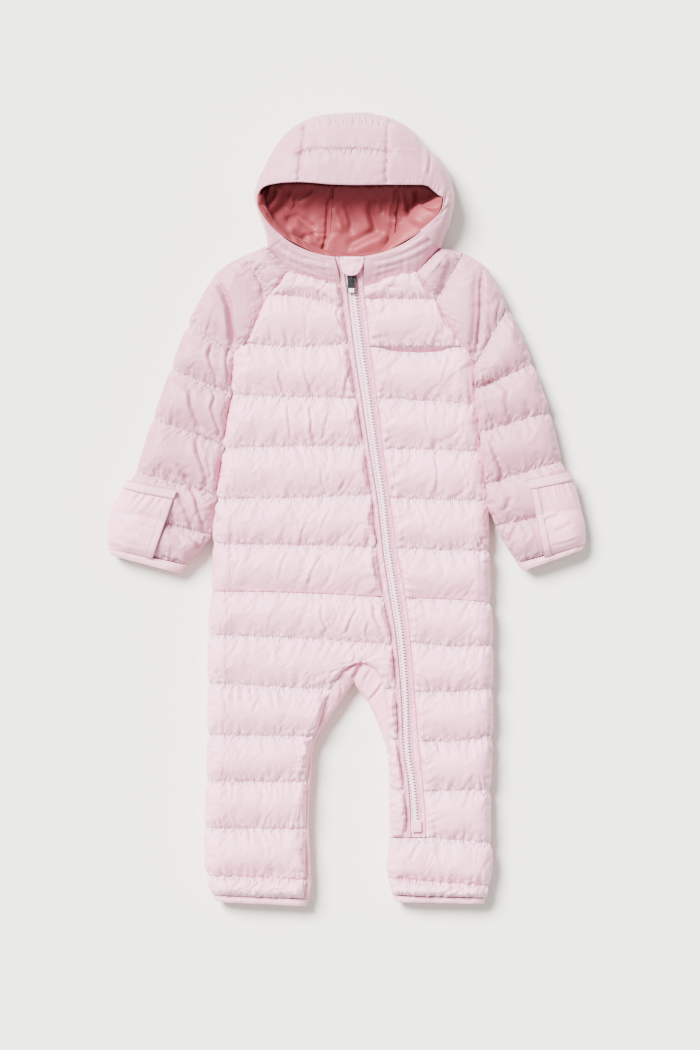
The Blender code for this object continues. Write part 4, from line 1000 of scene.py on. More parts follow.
@dataclass
class Wadding:
    """Cloth simulation that fills the channels of every padded piece together."""

    pressure: float = 3.0
    frames: int = 14
    spare: float = 0.075
    grow: float = -0.02
    bending: float = 0.05
    limit: float = 5.0

    def fill(self, pieces: Sequence[Sequence[Surface]]) -> None:
        """Blow up the cloth between its stitched lines and keep the result in the surfaces.

        Args:
            pieces: surfaces of each piece; those of one piece are joined where they touch.
        """
        verts, rest, faces, held = [], [], [], []
        places: list[tuple[Surface, Array]] = []
        count = 0
        for surfaces in pieces:
            grids = [s.points[::2, ::2] for s in surfaces]
            flat = np.concatenate([g.reshape(-1, 3) for g in grids])
            index, inverse = touching(flat)
            points = flat[index]
            pinned = np.zeros(len(index), bool)
            stretched = points.copy()
            offset = 0
            for surface, grid in zip(surfaces, grids):
                ids = inverse[offset : offset + grid[..., 0].size].reshape(grid.shape[:2])
                offset += ids.size
                np.logical_or.at(pinned, ids.ravel(), surface.held[::2, ::2].ravel())
                across = np.array(surface.across)
                reach = (grid[..., :2] - grid[..., :2].reshape(-1, 2).mean(0)) @ across
                if len(surfaces) > 1:
                    reach = grid[..., 0] - points[:, 0].mean()
                moved = grid.copy()
                moved[..., :2] += reach[..., None] * across * self.spare
                stretched[ids.ravel()] = moved.reshape(-1, 3)
                faces.append(surface.quads(ids) + count)
                places.append((surface, ids + count))
            verts.append(points)
            rest.append(stretched)
            held.append(pinned)
            count += len(points)
        start = np.concatenate(verts)
        cut, sewn = np.concatenate(rest), np.concatenate(held)
        end = self.simulate(start, cut, np.concatenate(faces), sewn)
        moved = end - start
        length = np.linalg.norm(moved, axis=1, keepdims=True)
        moved *= np.minimum(1.0, self.limit / np.maximum(length, 1e-9))
        for surface, ids in places:
            shift = refined(moved[ids])
            surface.points += shift * (1.0 - 0.9 * surface.calm[..., None])

    def simulate(self, start: Array, rest: Array, faces: Array, held: Array) -> Array:
        """Run the cloth and give where its points end, on the drafting sheet.

        Args:
            start: points of the sewn cloth.
            rest: points of the cut cloth, which is a little larger.
            faces: its squares.
            held: which points are stitched down.

        Returns:
            Where the points end.
        """
        mesh = bpy.data.meshes.new("wadding")
        mesh.from_pydata(metres(start).tolist(), [], faces.tolist())
        cloth = bpy.data.objects.new("wadding", mesh)
        bpy.context.scene.collection.objects.link(cloth)
        cloth.shape_key_add(name="sewn")
        cut = cloth.shape_key_add(name="cut")
        cut.data.foreach_set("co", metres(rest).ravel())
        cut.value = 0.0
        group = cloth.vertex_groups.new(name="stitched")
        group.add(np.nonzero(held)[0].tolist(), 1.0, "REPLACE")
        modifier = cloth.modifiers.new("cloth", "CLOTH")
        settings = modifier.settings
        settings.quality = 4
        settings.mass = 0.02
        settings.tension_stiffness = settings.compression_stiffness = 10.0
        settings.shear_stiffness = 5.0
        settings.bending_stiffness = self.bending
        settings.air_damping = 4.0
        settings.use_pressure = True
        settings.uniform_pressure_force = self.pressure
        settings.shrink_min = self.grow
        settings.vertex_group_mass = "stitched"
        settings.pin_stiffness = 1.0
        settings.rest_shape_key = cut
        settings.effector_weights.gravity = 0.0
        modifier.collision_settings.use_collision = False
        modifier.point_cache.frame_start = 1
        modifier.point_cache.frame_end = self.frames
        scene = bpy.context.scene
        for number in range(1, self.frames + 1):
            scene.frame_set(number)
        graph = bpy.context.evaluated_depsgraph_get()
        result = cloth.evaluated_get(graph).data
        found = np.empty(len(start) * 3)
        result.vertices.foreach_get("co", found)
        found = found.reshape(-1, 3) / MM
        bpy.data.objects.remove(cloth)
        scene.frame_set(1)
        return np.stack([found[:, 0] + DATUM_X, DATUM_Y - found[:, 1], found[:, 2]], axis=-1)


def touching(flat: Array) -> tuple[Array, Array]:
    """First point of each group that touches, and the group of every point.

    Args:
        flat: points in one list.

    Returns:
        The first point of each group, and the group of each point.
    """
    keys = np.round(flat / WELD).astype(np.int64)
    _, index, inverse = np.unique(keys, axis=0, return_index=True, return_inverse=True)
    return index, inverse.reshape(-1)


def weld(surfaces: Sequence[Surface]) -> None:
    """Number the points of a piece's surfaces, with one number where they touch.

    Args:
        surfaces: the surfaces of one piece.
    """
    flat = np.concatenate([s.points.reshape(-1, 3) for s in surfaces])
    if len(surfaces) == 1:
        surfaces[0].ids = np.arange(len(flat)).reshape(surfaces[0].points.shape[:2])
        return
    _, inverse = touching(flat)
    offset = 0
    for surface in surfaces:
        shape = surface.points.shape[:2]
        surface.ids = inverse[offset : offset + shape[0] * shape[1]].reshape(shape)
        offset += surface.ids.size


def refined(coarse: Array) -> Array:
    """Values of every second row and column, filled in smoothly between them.

    Args:
        coarse: values of every second row and column.

    Returns:
        The whole grid.
    """
    for axis in (0, 1):
        grid = np.moveaxis(coarse, axis, 0)
        pad = np.concatenate([grid[:1], grid, grid[-1:]])
        middle = (9 * (pad[1:-2] + pad[2:-1]) - pad[:-3] - pad[3:]) / 16
        full = np.empty((2 * len(grid) - 1, *grid.shape[1:]))
        full[::2] = grid
        full[1::2] = middle
        coarse = np.moveaxis(full, 0, axis)
    return coarse


def sew(surfaces: Sequence[Surface], puckers: Puckers, creases: Sequence[Crease]) -> None:
    """Raise the small folds along the stitching and the single creases in some surfaces.

    Args:
        surfaces: what is sewn.
        puckers: the small folds.
        creases: the single creases.
    """
    for surface in surfaces:
        x, y = surface.points[..., 0], surface.points[..., 1]
        height = np.zeros(x.shape)
        for line in surface.stitching:
            height += puckers.shape(line)
        border = np.ones(x.shape)
        border[:, [0, -1]] = 0.0
        border[:, [1, -2]] = 0.6
        height *= border * (1.0 - surface.calm)
        plan = surface.points[..., :2]
        low, high = plan.min((0, 1)) - 8, plan.max((0, 1)) + 8
        for crease in creases:
            path = np.array(crease.path)
            if (path.max(0) > low).all() and (path.min(0) < high).all():
                height += crease.height(x, y) * border
        normals = surface.normals()
        inside = border.copy()
        inside[[0, -1], :] = 0.0
        for line in surface.stitching:
            if line.meander:
                surface.points[..., 1] += puckers.shift(line) * inside
        surface.points += normals * height[..., None]


@dataclass
class Bolt:
    """Makes mesh pieces from drafted grids and attaches them to the garment's body."""

    made: list[bpy.types.Object] = field(default_factory=list)

    def piece(
        self,
        name: str,
        points: Array,
        faces: list,
        material: bpy.types.Material,
        uv: Array | None = None,
        sharp: float = 1.0,
        seam: Array | None = None,
    ) -> bpy.types.Object:
        """Object of the given points and faces, with its cloth map.

        Args:
            name: name of the piece.
            points: drafted points.
            faces: corner numbers of each face.
            material: its finish.
            uv: cloth map of each point in metres, or None for the plan.
            sharp: angle from which an edge is shaded sharp.
            seam: place along and distance from the nearest stitching, in mm, or None.

        Returns:
            The object.
        """
        place = metres(points)
        mesh = bpy.data.meshes.new(name)
        mesh.from_pydata(place.tolist(), [], faces)
        uv = place[:, :2] if uv is None else uv
        corners = np.empty(len(mesh.loops), int)
        mesh.loops.foreach_get("vertex_index", corners)
        layer = mesh.uv_layers.new(name="cloth")
        layer.data.foreach_set("uv", uv[corners].ravel())
        if seam is None:
            seam = np.tile((0.0, FAR), (len(points), 1))
        layer = mesh.uv_layers.new(name="seam")
        layer.data.foreach_set("uv", (seam[corners] * MM).ravel())
        mesh.materials.append(material)
        mesh.update()
        mesh.shade_smooth()
        mesh.set_sharp_from_angle(angle=sharp)
        made = bpy.data.objects.new(name, mesh)
        bpy.context.scene.collection.objects.link(made)
        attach(made, BODY)
        self.made.append(made)
        log.info("%s: %d points, %d faces", name, len(points), len(faces))
        return made

    def panel(
        self, name: str, surfaces: Sequence[Surface], level: float, material: bpy.types.Material
    ) -> bpy.types.Object:
        """Padded panel: its outer face, closed against a plane at one height.

        Args:
            name: name of the piece.
            surfaces: its outer face.
            level: height of the plane.
            material: its finish.

        Returns:
            The object.
        """
        if surfaces[0].ids is None:
            weld(surfaces)
        flat = np.concatenate([s.points.reshape(-1, 3) for s in surfaces])
        joined = np.concatenate([s.ids.ravel() for s in surfaces])
        points = np.zeros((int(joined.max()) + 1, 3))
        np.add.at(points, joined, flat)
        points /= np.bincount(joined)[:, None]
        quads = np.concatenate([surface.quads(surface.ids) for surface in surfaces])
        starts, ends = quads.ravel(), np.roll(quads, -1, axis=1).ravel()
        pairs = set(zip(starts.tolist(), ends.tolist()))
        following = {a: b for a, b in pairs if (b, a) not in pairs and a != b}
        loop = [next(iter(sorted(following)))]
        while following[loop[-1]] != loop[0] and len(loop) <= len(following):
            loop.append(following[loop[-1]])
        count = len(points)
        foot = points[loop].copy()
        foot[:, 2] = level
        faces = [list(dict.fromkeys(q)) for q in quads.tolist()]
        faces = [q for q in faces if len(q) > 2]
        for i, a in enumerate(loop):
            j = (i + 1) % len(loop)
            faces.append([loop[j], a, count + i, count + j])
        faces.append([count + i for i in reversed(range(len(loop)))])
        seam = np.tile((0.0, FAR), (count + len(foot), 1))
        for surface in surfaces:
            if surface.stitching:
                seam[surface.ids.ravel()] = surface.seam_map().reshape(-1, 2)
        return self.piece(name, np.concatenate([points, foot]), faces, material, seam=seam)

    def shell(
        self,
        name: str,
        outer: Array,
        inner: Array,
        material: bpy.types.Material,
        sharp: float = 1.0,
        seam: Array | None = None,
    ) -> bpy.types.Object:
        """Wall between two grids with the same rows and columns.

        Args:
            name: name of the piece.
            outer: grid of its outer face.
            inner: grid of its inner face.
            material: its finish.
            sharp: angle from which an edge is shaded sharp.
            seam: stitching map of the outer face, or None.

        Returns:
            The object.
        """
        rows, columns = outer.shape[:2]
        ids = np.arange(rows * columns).reshape(rows, columns)
        lower = ids + rows * columns
        a = grid_quads(ids).reshape(-1, 4)
        b = np.stack([lower[:-1, :-1], lower[1:, :-1], lower[1:, 1:], lower[:-1, 1:]], -1)
        rim = np.concatenate([ids[0], ids[1:, -1], ids[-1, -2::-1], ids[-2:0:-1, 0]])
        after = np.roll(rim, -1)
        offset = rows * columns
        c = np.stack([rim, rim + offset, after + offset, after], -1)
        faces = np.concatenate([a, b.reshape(-1, 4), c])
        points = np.concatenate([outer.reshape(-1, 3), inner.reshape(-1, 3)])
        if signed_volume(metres(points), faces) < 0:
            faces = faces[:, ::-1]
        uv = grid_map(outer)
        if seam is not None:
            seam = np.concatenate([seam.reshape(-1, 2), np.tile((0.0, FAR), (offset, 1))])
        uv = np.concatenate([uv, uv])
        return self.piece(name, points, faces.tolist(), material, uv, sharp, seam)

    def tube(
        self,
        name: str,
        rings: Array,
        material: bpy.types.Material,
        sharp: float = 1.0,
        seam: Array | None = None,
    ) -> bpy.types.Object:
        """Closed body through rings of points, with flat ends.

        Args:
            name: name of the piece.
            rings: points of each ring.
            material: its finish.
            sharp: angle from which an edge is shaded sharp.
            seam: stitching map of the first columns, or None.

        Returns:
            The object.
        """
        rows, columns = rings.shape[:2]
        ids = np.arange(rows * columns).reshape(rows, columns)
        nxt = np.roll(ids, -1, axis=1)
        faces = np.stack([ids[:-1], nxt[:-1], nxt[1:], ids[1:]], -1).reshape(-1, 4)
        points = rings.reshape(-1, 3)
        turned = signed_volume(metres(points), faces) < 0
        quads = (faces[:, ::-1] if turned else faces).tolist()
        ends = [ids[0][::-1].tolist(), ids[-1].tolist()]
        quads += [end[::-1] for end in ends] if turned else ends
        if seam is not None:
            full = np.tile((0.0, FAR), (rows, columns, 1))
            full[:, : seam.shape[1]] = seam
            seam = full.reshape(-1, 2)
        return self.piece(name, points, quads, material, grid_map(rings), sharp, seam)


def declare_sheet(made: bpy.types.Object, grid: Array) -> None:
    """Work out the cut that a piece's grid unrolls to and its area, which are not kept.

    Args:
        made: the piece.
        grid: its outer face.
    """
    down = float(np.linalg.norm(np.diff(grid, axis=0), axis=-1).sum(0).max()) * MM
    across = float(np.linalg.norm(np.diff(grid, axis=1), axis=-1).sum(1).max()) * MM
    across, down = max(across, LEAST_CUT), max(down, LEAST_CUT)
    area = sum(face.area for face in made.data.polygons) / 2
    area = min(max(area, LEAST_SHARE * across * down), across * down)


def grid_map(grid: Array) -> Array:
    """Cloth map of a grid: lengths along its columns and rows, in metres.

    Args:
        grid: drafted points.

    Returns:
        One pair of lengths a point.
    """
    along = np.linalg.norm(np.diff(grid, axis=1), axis=-1).mean(0)
    down = np.linalg.norm(np.diff(grid, axis=0), axis=-1).mean(1)
    u, v = running_length(along) * MM, running_length(down) * MM
    return np.stack(np.broadcast_arrays(u[None, :], v[:, None]), axis=-1).reshape(-1, 2)


def signed_volume(points: Array, faces: Array) -> float:
    """Volume inside some quads, negative where they face inwards.

    Args:
        points: the corners.
        faces: four corner numbers a quad.

    Returns:
        Six times the volume.
    """
    a, b, c, d = (points[faces[:, i]] for i in range(4))
    first = np.einsum("ij,ij->i", a, np.cross(b, c)).sum()
    return float(first + np.einsum("ij,ij->i", a, np.cross(c, d)).sum())


@dataclass
class Graph:
    """Shader nodes, added with what feeds them."""

    tree: bpy.types.NodeTree

    def node(
        self, kind: str, feeds: Mapping[str | int, object] | None = None, **settings: object
    ) -> bpy.types.Node:
        """Add one node.

        Args:
            kind: its type, without the prefix of shader nodes.
            feeds: a socket or a plain value for each of its inputs that isn't left alone.
            settings: its other properties.

        Returns:
            The node.
        """
        made = self.tree.nodes.new(f"ShaderNode{kind}")
        for name, value in settings.items():
            setattr(made, name, value)
        for slot, value in (feeds or {}).items():
            self.feed(value, made.inputs[slot])
        return made

    def feed(self, value: object, slot: bpy.types.NodeSocket) -> None:
        """Link an input to a socket, or set it to a plain value.

        Args:
            value: the socket or the plain value.
            slot: the input.
        """
        if isinstance(value, bpy.types.NodeSocket):
            self.tree.links.new(value, slot)
        else:
            slot.default_value = value

    def maths(self, operation: str, *values: object) -> bpy.types.NodeSocket:
        """Result of one sum, of sockets or plain numbers."""
        return self.node("Math", dict(enumerate(values)), operation=operation).outputs[0]

    def bump(
        self, height: bpy.types.NodeSocket, distance: float, strength: float
    ) -> bpy.types.Node:
        """Small relief from a height."""
        feeds = {"Strength": strength, "Distance": distance, "Height": height}
        return self.node("Bump", feeds)


def new_group(
    name: str, inputs: Mapping[str, tuple[str, object]], outputs: Mapping[str, str]
) -> tuple[Graph, bpy.types.Node, bpy.types.Node]:
    """Start a node group.

    Args:
        name: its name.
        inputs: kind and first value of each input.
        outputs: kind of each output.

    Returns:
        Its graph, and the nodes at its two ends.
    """
    tree = bpy.data.node_groups.new(name, "ShaderNodeTree")
    for socket_name, (kind, value) in inputs.items():
        socket = tree.interface.new_socket(
            name=socket_name, in_out="INPUT", socket_type=f"NodeSocket{kind}"
        )
        if value is not None:
            socket.default_value = value
    for socket_name, kind in outputs.items():
        tree.interface.new_socket(
            name=socket_name, in_out="OUTPUT", socket_type=f"NodeSocket{kind}"
        )
    return Graph(tree), tree.nodes.new("NodeGroupInput"), tree.nodes.new("NodeGroupOutput")


def weave_group() -> bpy.types.NodeTree:
    """Plain weave and fine crinkle of thin nylon, as one height.

    Returns:
        The node group.
    """
    inputs = {
        "Map": ("Vector", None), "Place": ("Vector", None), "Threads": ("Float", 700.0),
        "Crinkle": ("Float", 1.0),
    }
    graph, source, out = new_group("woven_nylon", inputs, {"Height": "Float"})
    ends = source.outputs
    feeds = {"Distortion": 0.6, "Vector": ends["Map"], "Scale": ends["Threads"]}
    warp, weft = (graph.node("TexWave", feeds, bands_direction=way) for way in ("X", "Y"))
    cross = graph.maths("MULTIPLY", warp.outputs["Fac"], weft.outputs["Fac"])
    total = graph.maths("MULTIPLY", cross, 0.045)
    for scale, amount in ((190.0, 0.55), (70.0, 0.9)):
        feeds = {"Scale": scale, "Detail": 2.0, "Distortion": 0.4, "Vector": ends["Place"]}
        noise = graph.node("TexNoise", feeds)
        scaled = graph.maths("MULTIPLY", noise.outputs["Fac"], ends["Crinkle"])
        total = graph.maths("MULTIPLY_ADD", scaled, amount, total)
    graph.feed(total, out.inputs["Height"])
    return graph.tree


def gather_group() -> bpy.types.NodeTree:
    """Slanted gathers that a row of stitches draws up, as a height from the seam map.

    Returns:
        The node group.
    """
    inputs = {"Seam": ("Vector", None), "Pitch": ("Float", 6.0), "Reach": ("Float", 4.4)}
    outputs = {"Height": "Float", "Near": "Float", "Edge": "Float"}
    graph, source, out = new_group("stitch_gathers", inputs, outputs)
    maths, ends = graph.maths, source.outputs

    def fading(value: bpy.types.NodeSocket, rate: float) -> bpy.types.NodeSocket:
        """Bell over a value, narrower at a higher rate."""
        return maths("EXPONENT", maths("MULTIPLY", maths("MULTIPLY", value, value), -rate))

    parts = graph.node("SeparateXYZ", {0: ends["Seam"]})
    along = maths("MULTIPLY", parts.outputs["X"], 1000.0)
    away = maths("ABSOLUTE", maths("MULTIPLY", parts.outputs["Y"], 1000.0))
    noise = graph.node(
        "TexNoise", {"Scale": 0.16, "Detail": 2.0, "W": along}, noise_dimensions="1D"
    )
    wander = maths("MULTIPLY", noise.outputs["Fac"], 14.0)
    lean = maths("MULTIPLY", away, 0.8)
    place = maths("ADD", maths("ADD", along, wander), lean)
    turn = maths("DIVIDE", maths("MULTIPLY", place, 2 * math.pi), ends["Pitch"])
    wave = maths("SINE", turn)
    near = maths("DIVIDE", away, ends["Reach"])
    fall = fading(near, 1.0)
    groove = maths("MULTIPLY", fading(away, 0.6), -0.12)
    strength = maths("ADD", maths("MULTIPLY", noise.outputs["Fac"], 0.9), 0.35)
    height = maths("MULTIPLY", maths("MULTIPLY", wave, fall), strength)
    graph.feed(maths("ADD", height, groove), out.inputs["Height"])
    # Near and Edge place the painted groove shade and the painted shade line along edges
    for name, width in (("Near", 6.0), ("Edge", 1.0)):
        graph.feed(fading(maths("DIVIDE", away, width), 1.0), out.inputs[name])
    return graph.tree


def tone_group() -> bpy.types.NodeTree:
    """Slight cloudiness of dyed cloth, from a light to a deep tone.

    Returns:
        The node group.
    """
    inputs = {
        "Place": ("Vector", None), "Light": ("Color", (1, 1, 1, 1)),
        "Deep": ("Color", (0, 0, 0, 1)), "Cloud": ("Float", 22.0),
    }
    graph, source, out = new_group("dyed_tone", inputs, {"Color": "Color", "Mask": "Float"})
    ends = source.outputs
    feeds = {"Detail": 3.0, "Roughness": 0.6, "Vector": ends["Place"], "Scale": ends["Cloud"]}
    cloud = graph.node("TexNoise", feeds).outputs["Fac"]
    mix = graph.node("Mix", data_type="RGBA")
    for name, value in (("Factor", cloud), ("A", ends["Light"]), ("B", ends["Deep"])):
        graph.feed(value, mix.inputs[name])
    graph.feed(mix.outputs["Result"], out.inputs["Color"])
    graph.feed(cloud, out.inputs["Mask"])
    return graph.tree


def new_material(
    name: str, values: Mapping[str, object]
) -> tuple[bpy.types.Material, Graph, bpy.types.Node]:
    """Material with its main shader's values, its graph and that shader.

    Args:
        name: its name.
        values: values of the shader's inputs.

    Returns:
        The three of them.
    """
    material = bpy.data.materials.new(name)
    material.use_nodes = True
    graph = Graph(material.node_tree)
    shader = material.node_tree.nodes["Principled BSDF"]
    for slot, value in values.items():
        graph.feed(value, shader.inputs[slot])
    return material, graph, shader


GROOVE_SHADE_TINT = (0.86, 0.56, 0.65)  # painted shade: greyer pink laid into the grooves along the stitching, for the colour of the shade there
EDGE_SHADE_TINT = (0.30, 0.10, 0.14)  # painted shade: thin dark line along a piece's folded edge, where the edge's shadow falls


@dataclass(frozen=True)
class ClothFinish:
    """Woven cloth: its two close tones, gloss and surface."""

    name: str
    light: Colour
    deep: Colour
    roughness: float = 0.5
    sheen: float = 0.15
    threads: float = 700.0
    crinkle: float = 1.0
    bump: float = 0.35
    specular: float = 0.4
    pitch: float = 6.0
    gather: float = 0.85
    glint: Colour = (1.0, 1.0, 1.0)
    # share of the painted groove shade, a greyer pink laid along the stitching
    groove_shade: float = 0.0
    # share of the painted shade line along folded edges
    edging: float = 0.0

    def build(
        self, weave: bpy.types.NodeTree, tone: bpy.types.NodeTree, gathers: bpy.types.NodeTree
    ) -> bpy.types.Material:
        """Material of this cloth.

        Args:
            weave: node group of the weave.
            tone: node group of the colour.
            gathers: node group of the folds along stitching.

        Returns:
            The material.
        """
        values = {
            "Roughness": self.roughness, "Sheen Weight": self.sheen, "Sheen Roughness": 0.45,
            "Specular IOR Level": self.specular, "Specular Tint": (*self.glint, 1.0),
        }
        material, graph, shader = new_material(self.name, values)
        place = graph.node("TexCoord").outputs["Object"]
        cloth = graph.node("UVMap", uv_map="cloth").outputs["UV"]
        seam = graph.node("UVMap", uv_map="seam").outputs["UV"]
        colour = graph.node("Group", node_tree=tone)
        for name, value in (("Light", self.light), ("Deep", self.deep)):
            graph.feed((*value, 1.0), colour.inputs[name])
        graph.feed(place, colour.inputs["Place"])
        surface = graph.node("Group", node_tree=weave)
        feeds = {"Threads": self.threads, "Crinkle": self.crinkle, "Map": cloth, "Place": place}
        for name, value in feeds.items():
            graph.feed(value, surface.inputs[name])
        woven = graph.bump(surface.outputs["Height"], 0.001, self.bump)
        drawn = graph.node("Group", node_tree=gathers)
        graph.feed(self.pitch, drawn.inputs["Pitch"])
        graph.feed(seam, drawn.inputs["Seam"])
        shade = colour.outputs["Color"]
        # both mixes paint shade: a greyer tint in the stitching's grooves and a dark line along
        # folded edges
        for mask, share, tint in (("Near", self.groove_shade, GROOVE_SHADE_TINT), ("Edge", self.edging, EDGE_SHADE_TINT)):
            if share:
                scaled = graph.maths("MULTIPLY", drawn.outputs[mask], share)
                mixed = graph.node("Mix", data_type="RGBA")
                for slot, value in ((0, scaled), (6, shade), (7, (*tint, 1.0))):
                    graph.feed(value, mixed.inputs[slot])
                shade = mixed.outputs[2]
        graph.feed(shade, shader.inputs["Base Color"])
        relief = graph.bump(drawn.outputs["Height"], self.gather * 0.001, 1.0)
        graph.feed(woven.outputs["Normal"], relief.inputs["Normal"])
        graph.feed(relief.outputs["Normal"], shader.inputs["Normal"])
        return material


@dataclass(frozen=True)
class HardFinish:
    """Moulded or painted hard part."""

    name: str
    light: Colour
    deep: Colour
    roughness: float
    metallic: float = 0.0

    def build(self, tone: bpy.types.NodeTree) -> bpy.types.Material:
        """Material of this part.

        Args:
            tone: node group of the colour.

        Returns:
            The material.
        """
        values = {"Roughness": self.roughness, "Metallic": self.metallic}
        material, graph, shader = new_material(self.name, values)
        place = graph.node("TexCoord").outputs["Object"]
        colour = graph.node("Group", node_tree=tone)
        feeds = {
            "Light": (*self.light, 1.0), "Deep": (*self.deep, 1.0), "Cloud": 900.0, "Place": place
        }
        for name, value in feeds.items():
            graph.feed(value, colour.inputs[name])
        graph.feed(colour.outputs["Color"], shader.inputs["Base Color"])
        grit = graph.node("TexNoise", {"Scale": 2600.0, "Vector": place})
        bump = graph.bump(grit.outputs["Fac"], 0.0001, 0.15)
        graph.feed(bump.outputs["Normal"], shader.inputs["Normal"])
        return material


@dataclass
class Finishes:
    """Every material of the garment, made once."""

    shell: bpy.types.Material = field(init=False)
    deep: bpy.types.Material = field(init=False)
    plain: bpy.types.Material = field(init=False)
    shaded: bpy.types.Material = field(init=False)
    trim: bpy.types.Material = field(init=False)
    tape: bpy.types.Material = field(init=False)
    lining: bpy.types.Material = field(init=False)
    thread: bpy.types.Material = field(init=False)
    teeth: bpy.types.Material = field(init=False)
    core: bpy.types.Material = field(init=False)
    metal: bpy.types.Material = field(init=False)
    inlay: bpy.types.Material = field(init=False)

    def __post_init__(self) -> None:
        """Build them all from the shared groups."""
        groups = weave_group(), tone_group(), gather_group()
        tone = groups[1]
        pinks = (0.93, 0.435, 0.56), (0.89, 0.405, 0.53)
        # both quilted finishes carry the painted groove shade along their stitching
        self.shell = ClothFinish("quilted_nylon", *pinks, groove_shade=0.6).build(*groups)
        # painted shade: darker copy of the shell cloth for the sleeves, hood and collars, which lie
        # in more shade
        pinks = (0.61, 0.268, 0.35), (0.575, 0.248, 0.325)
        self.deep = ClothFinish("quilted_nylon_shaded_copy", *pinks, groove_shade=0.3).build(*groups)
        # plain cloth, with a painted shade line along its folded edges
        pinks = (0.92, 0.43, 0.555), (0.88, 0.39, 0.515)
        plain = ClothFinish("plain_nylon", *pinks, crinkle=0.7, gather=0.0, edging=0.5)
        self.plain = plain.build(*groups)
        pinks = (0.86, 0.43, 0.53), (0.81, 0.385, 0.485)
        # elastic trim, with a painted shade line along its folded edges
        trim = ClothFinish("elastic_trim", *pinks, 0.7, 0.3, 420.0, 0.5, 0.5, gather=0.1)
        self.trim = replace(trim, edging=0.8).build(*groups)
        # painted shade: darker, greyer cloth for the pocket bag, for the shade in its recess
        shaded = ClothFinish("shaded_nylon", (0.49, 0.23, 0.295), (0.43, 0.20, 0.255), crinkle=0.7)
        self.shaded = shaded.build(*groups)
        pinks = (0.88, 0.49, 0.60), (0.84, 0.45, 0.56)
        tape = ClothFinish("zip_tape_weave", *pinks, 0.75, 0.3, 380.0, 0.3, 0.6, gather=0.0)
        self.tape = tape.build(*groups)
        roses = (0.27, 0.047, 0.057), (0.22, 0.037, 0.046)
        lining = ClothFinish("rose_satin", *roses, 0.44, 0.04, 900.0, 0.35, 0.2, 0.35)
        self.lining = replace(lining, glint=(0.95, 0.42, 0.44)).build(*groups)
        pinks = (0.85, 0.44, 0.54), (0.81, 0.40, 0.50)
        self.thread = ClothFinish("sewing_thread", *pinks, 0.6, 0.3, 3000.0, 0.2).build(*groups)
        pinks = (0.97, 0.67, 0.80), (0.94, 0.64, 0.77)
        self.teeth = HardFinish("moulded_teeth", *pinks, 0.32).build(tone)
        # painted shade: dark plum strip under the teeth that shows as the shade in their gaps
        plums = (0.30, 0.15, 0.21), (0.26, 0.13, 0.18)
        self.core = HardFinish("zip_gap_shade_strip", *plums, 0.8).build(tone)
        greys = (0.055, 0.056, 0.06), (0.03, 0.03, 0.033)
        self.metal = HardFinish("dark_enamel", *greys, 0.34, 0.6).build(tone)
        greys = (0.82, 0.79, 0.80), (0.78, 0.75, 0.76)
        self.inlay = HardFinish("pale_inlay", *greys, 0.3).build(tone)


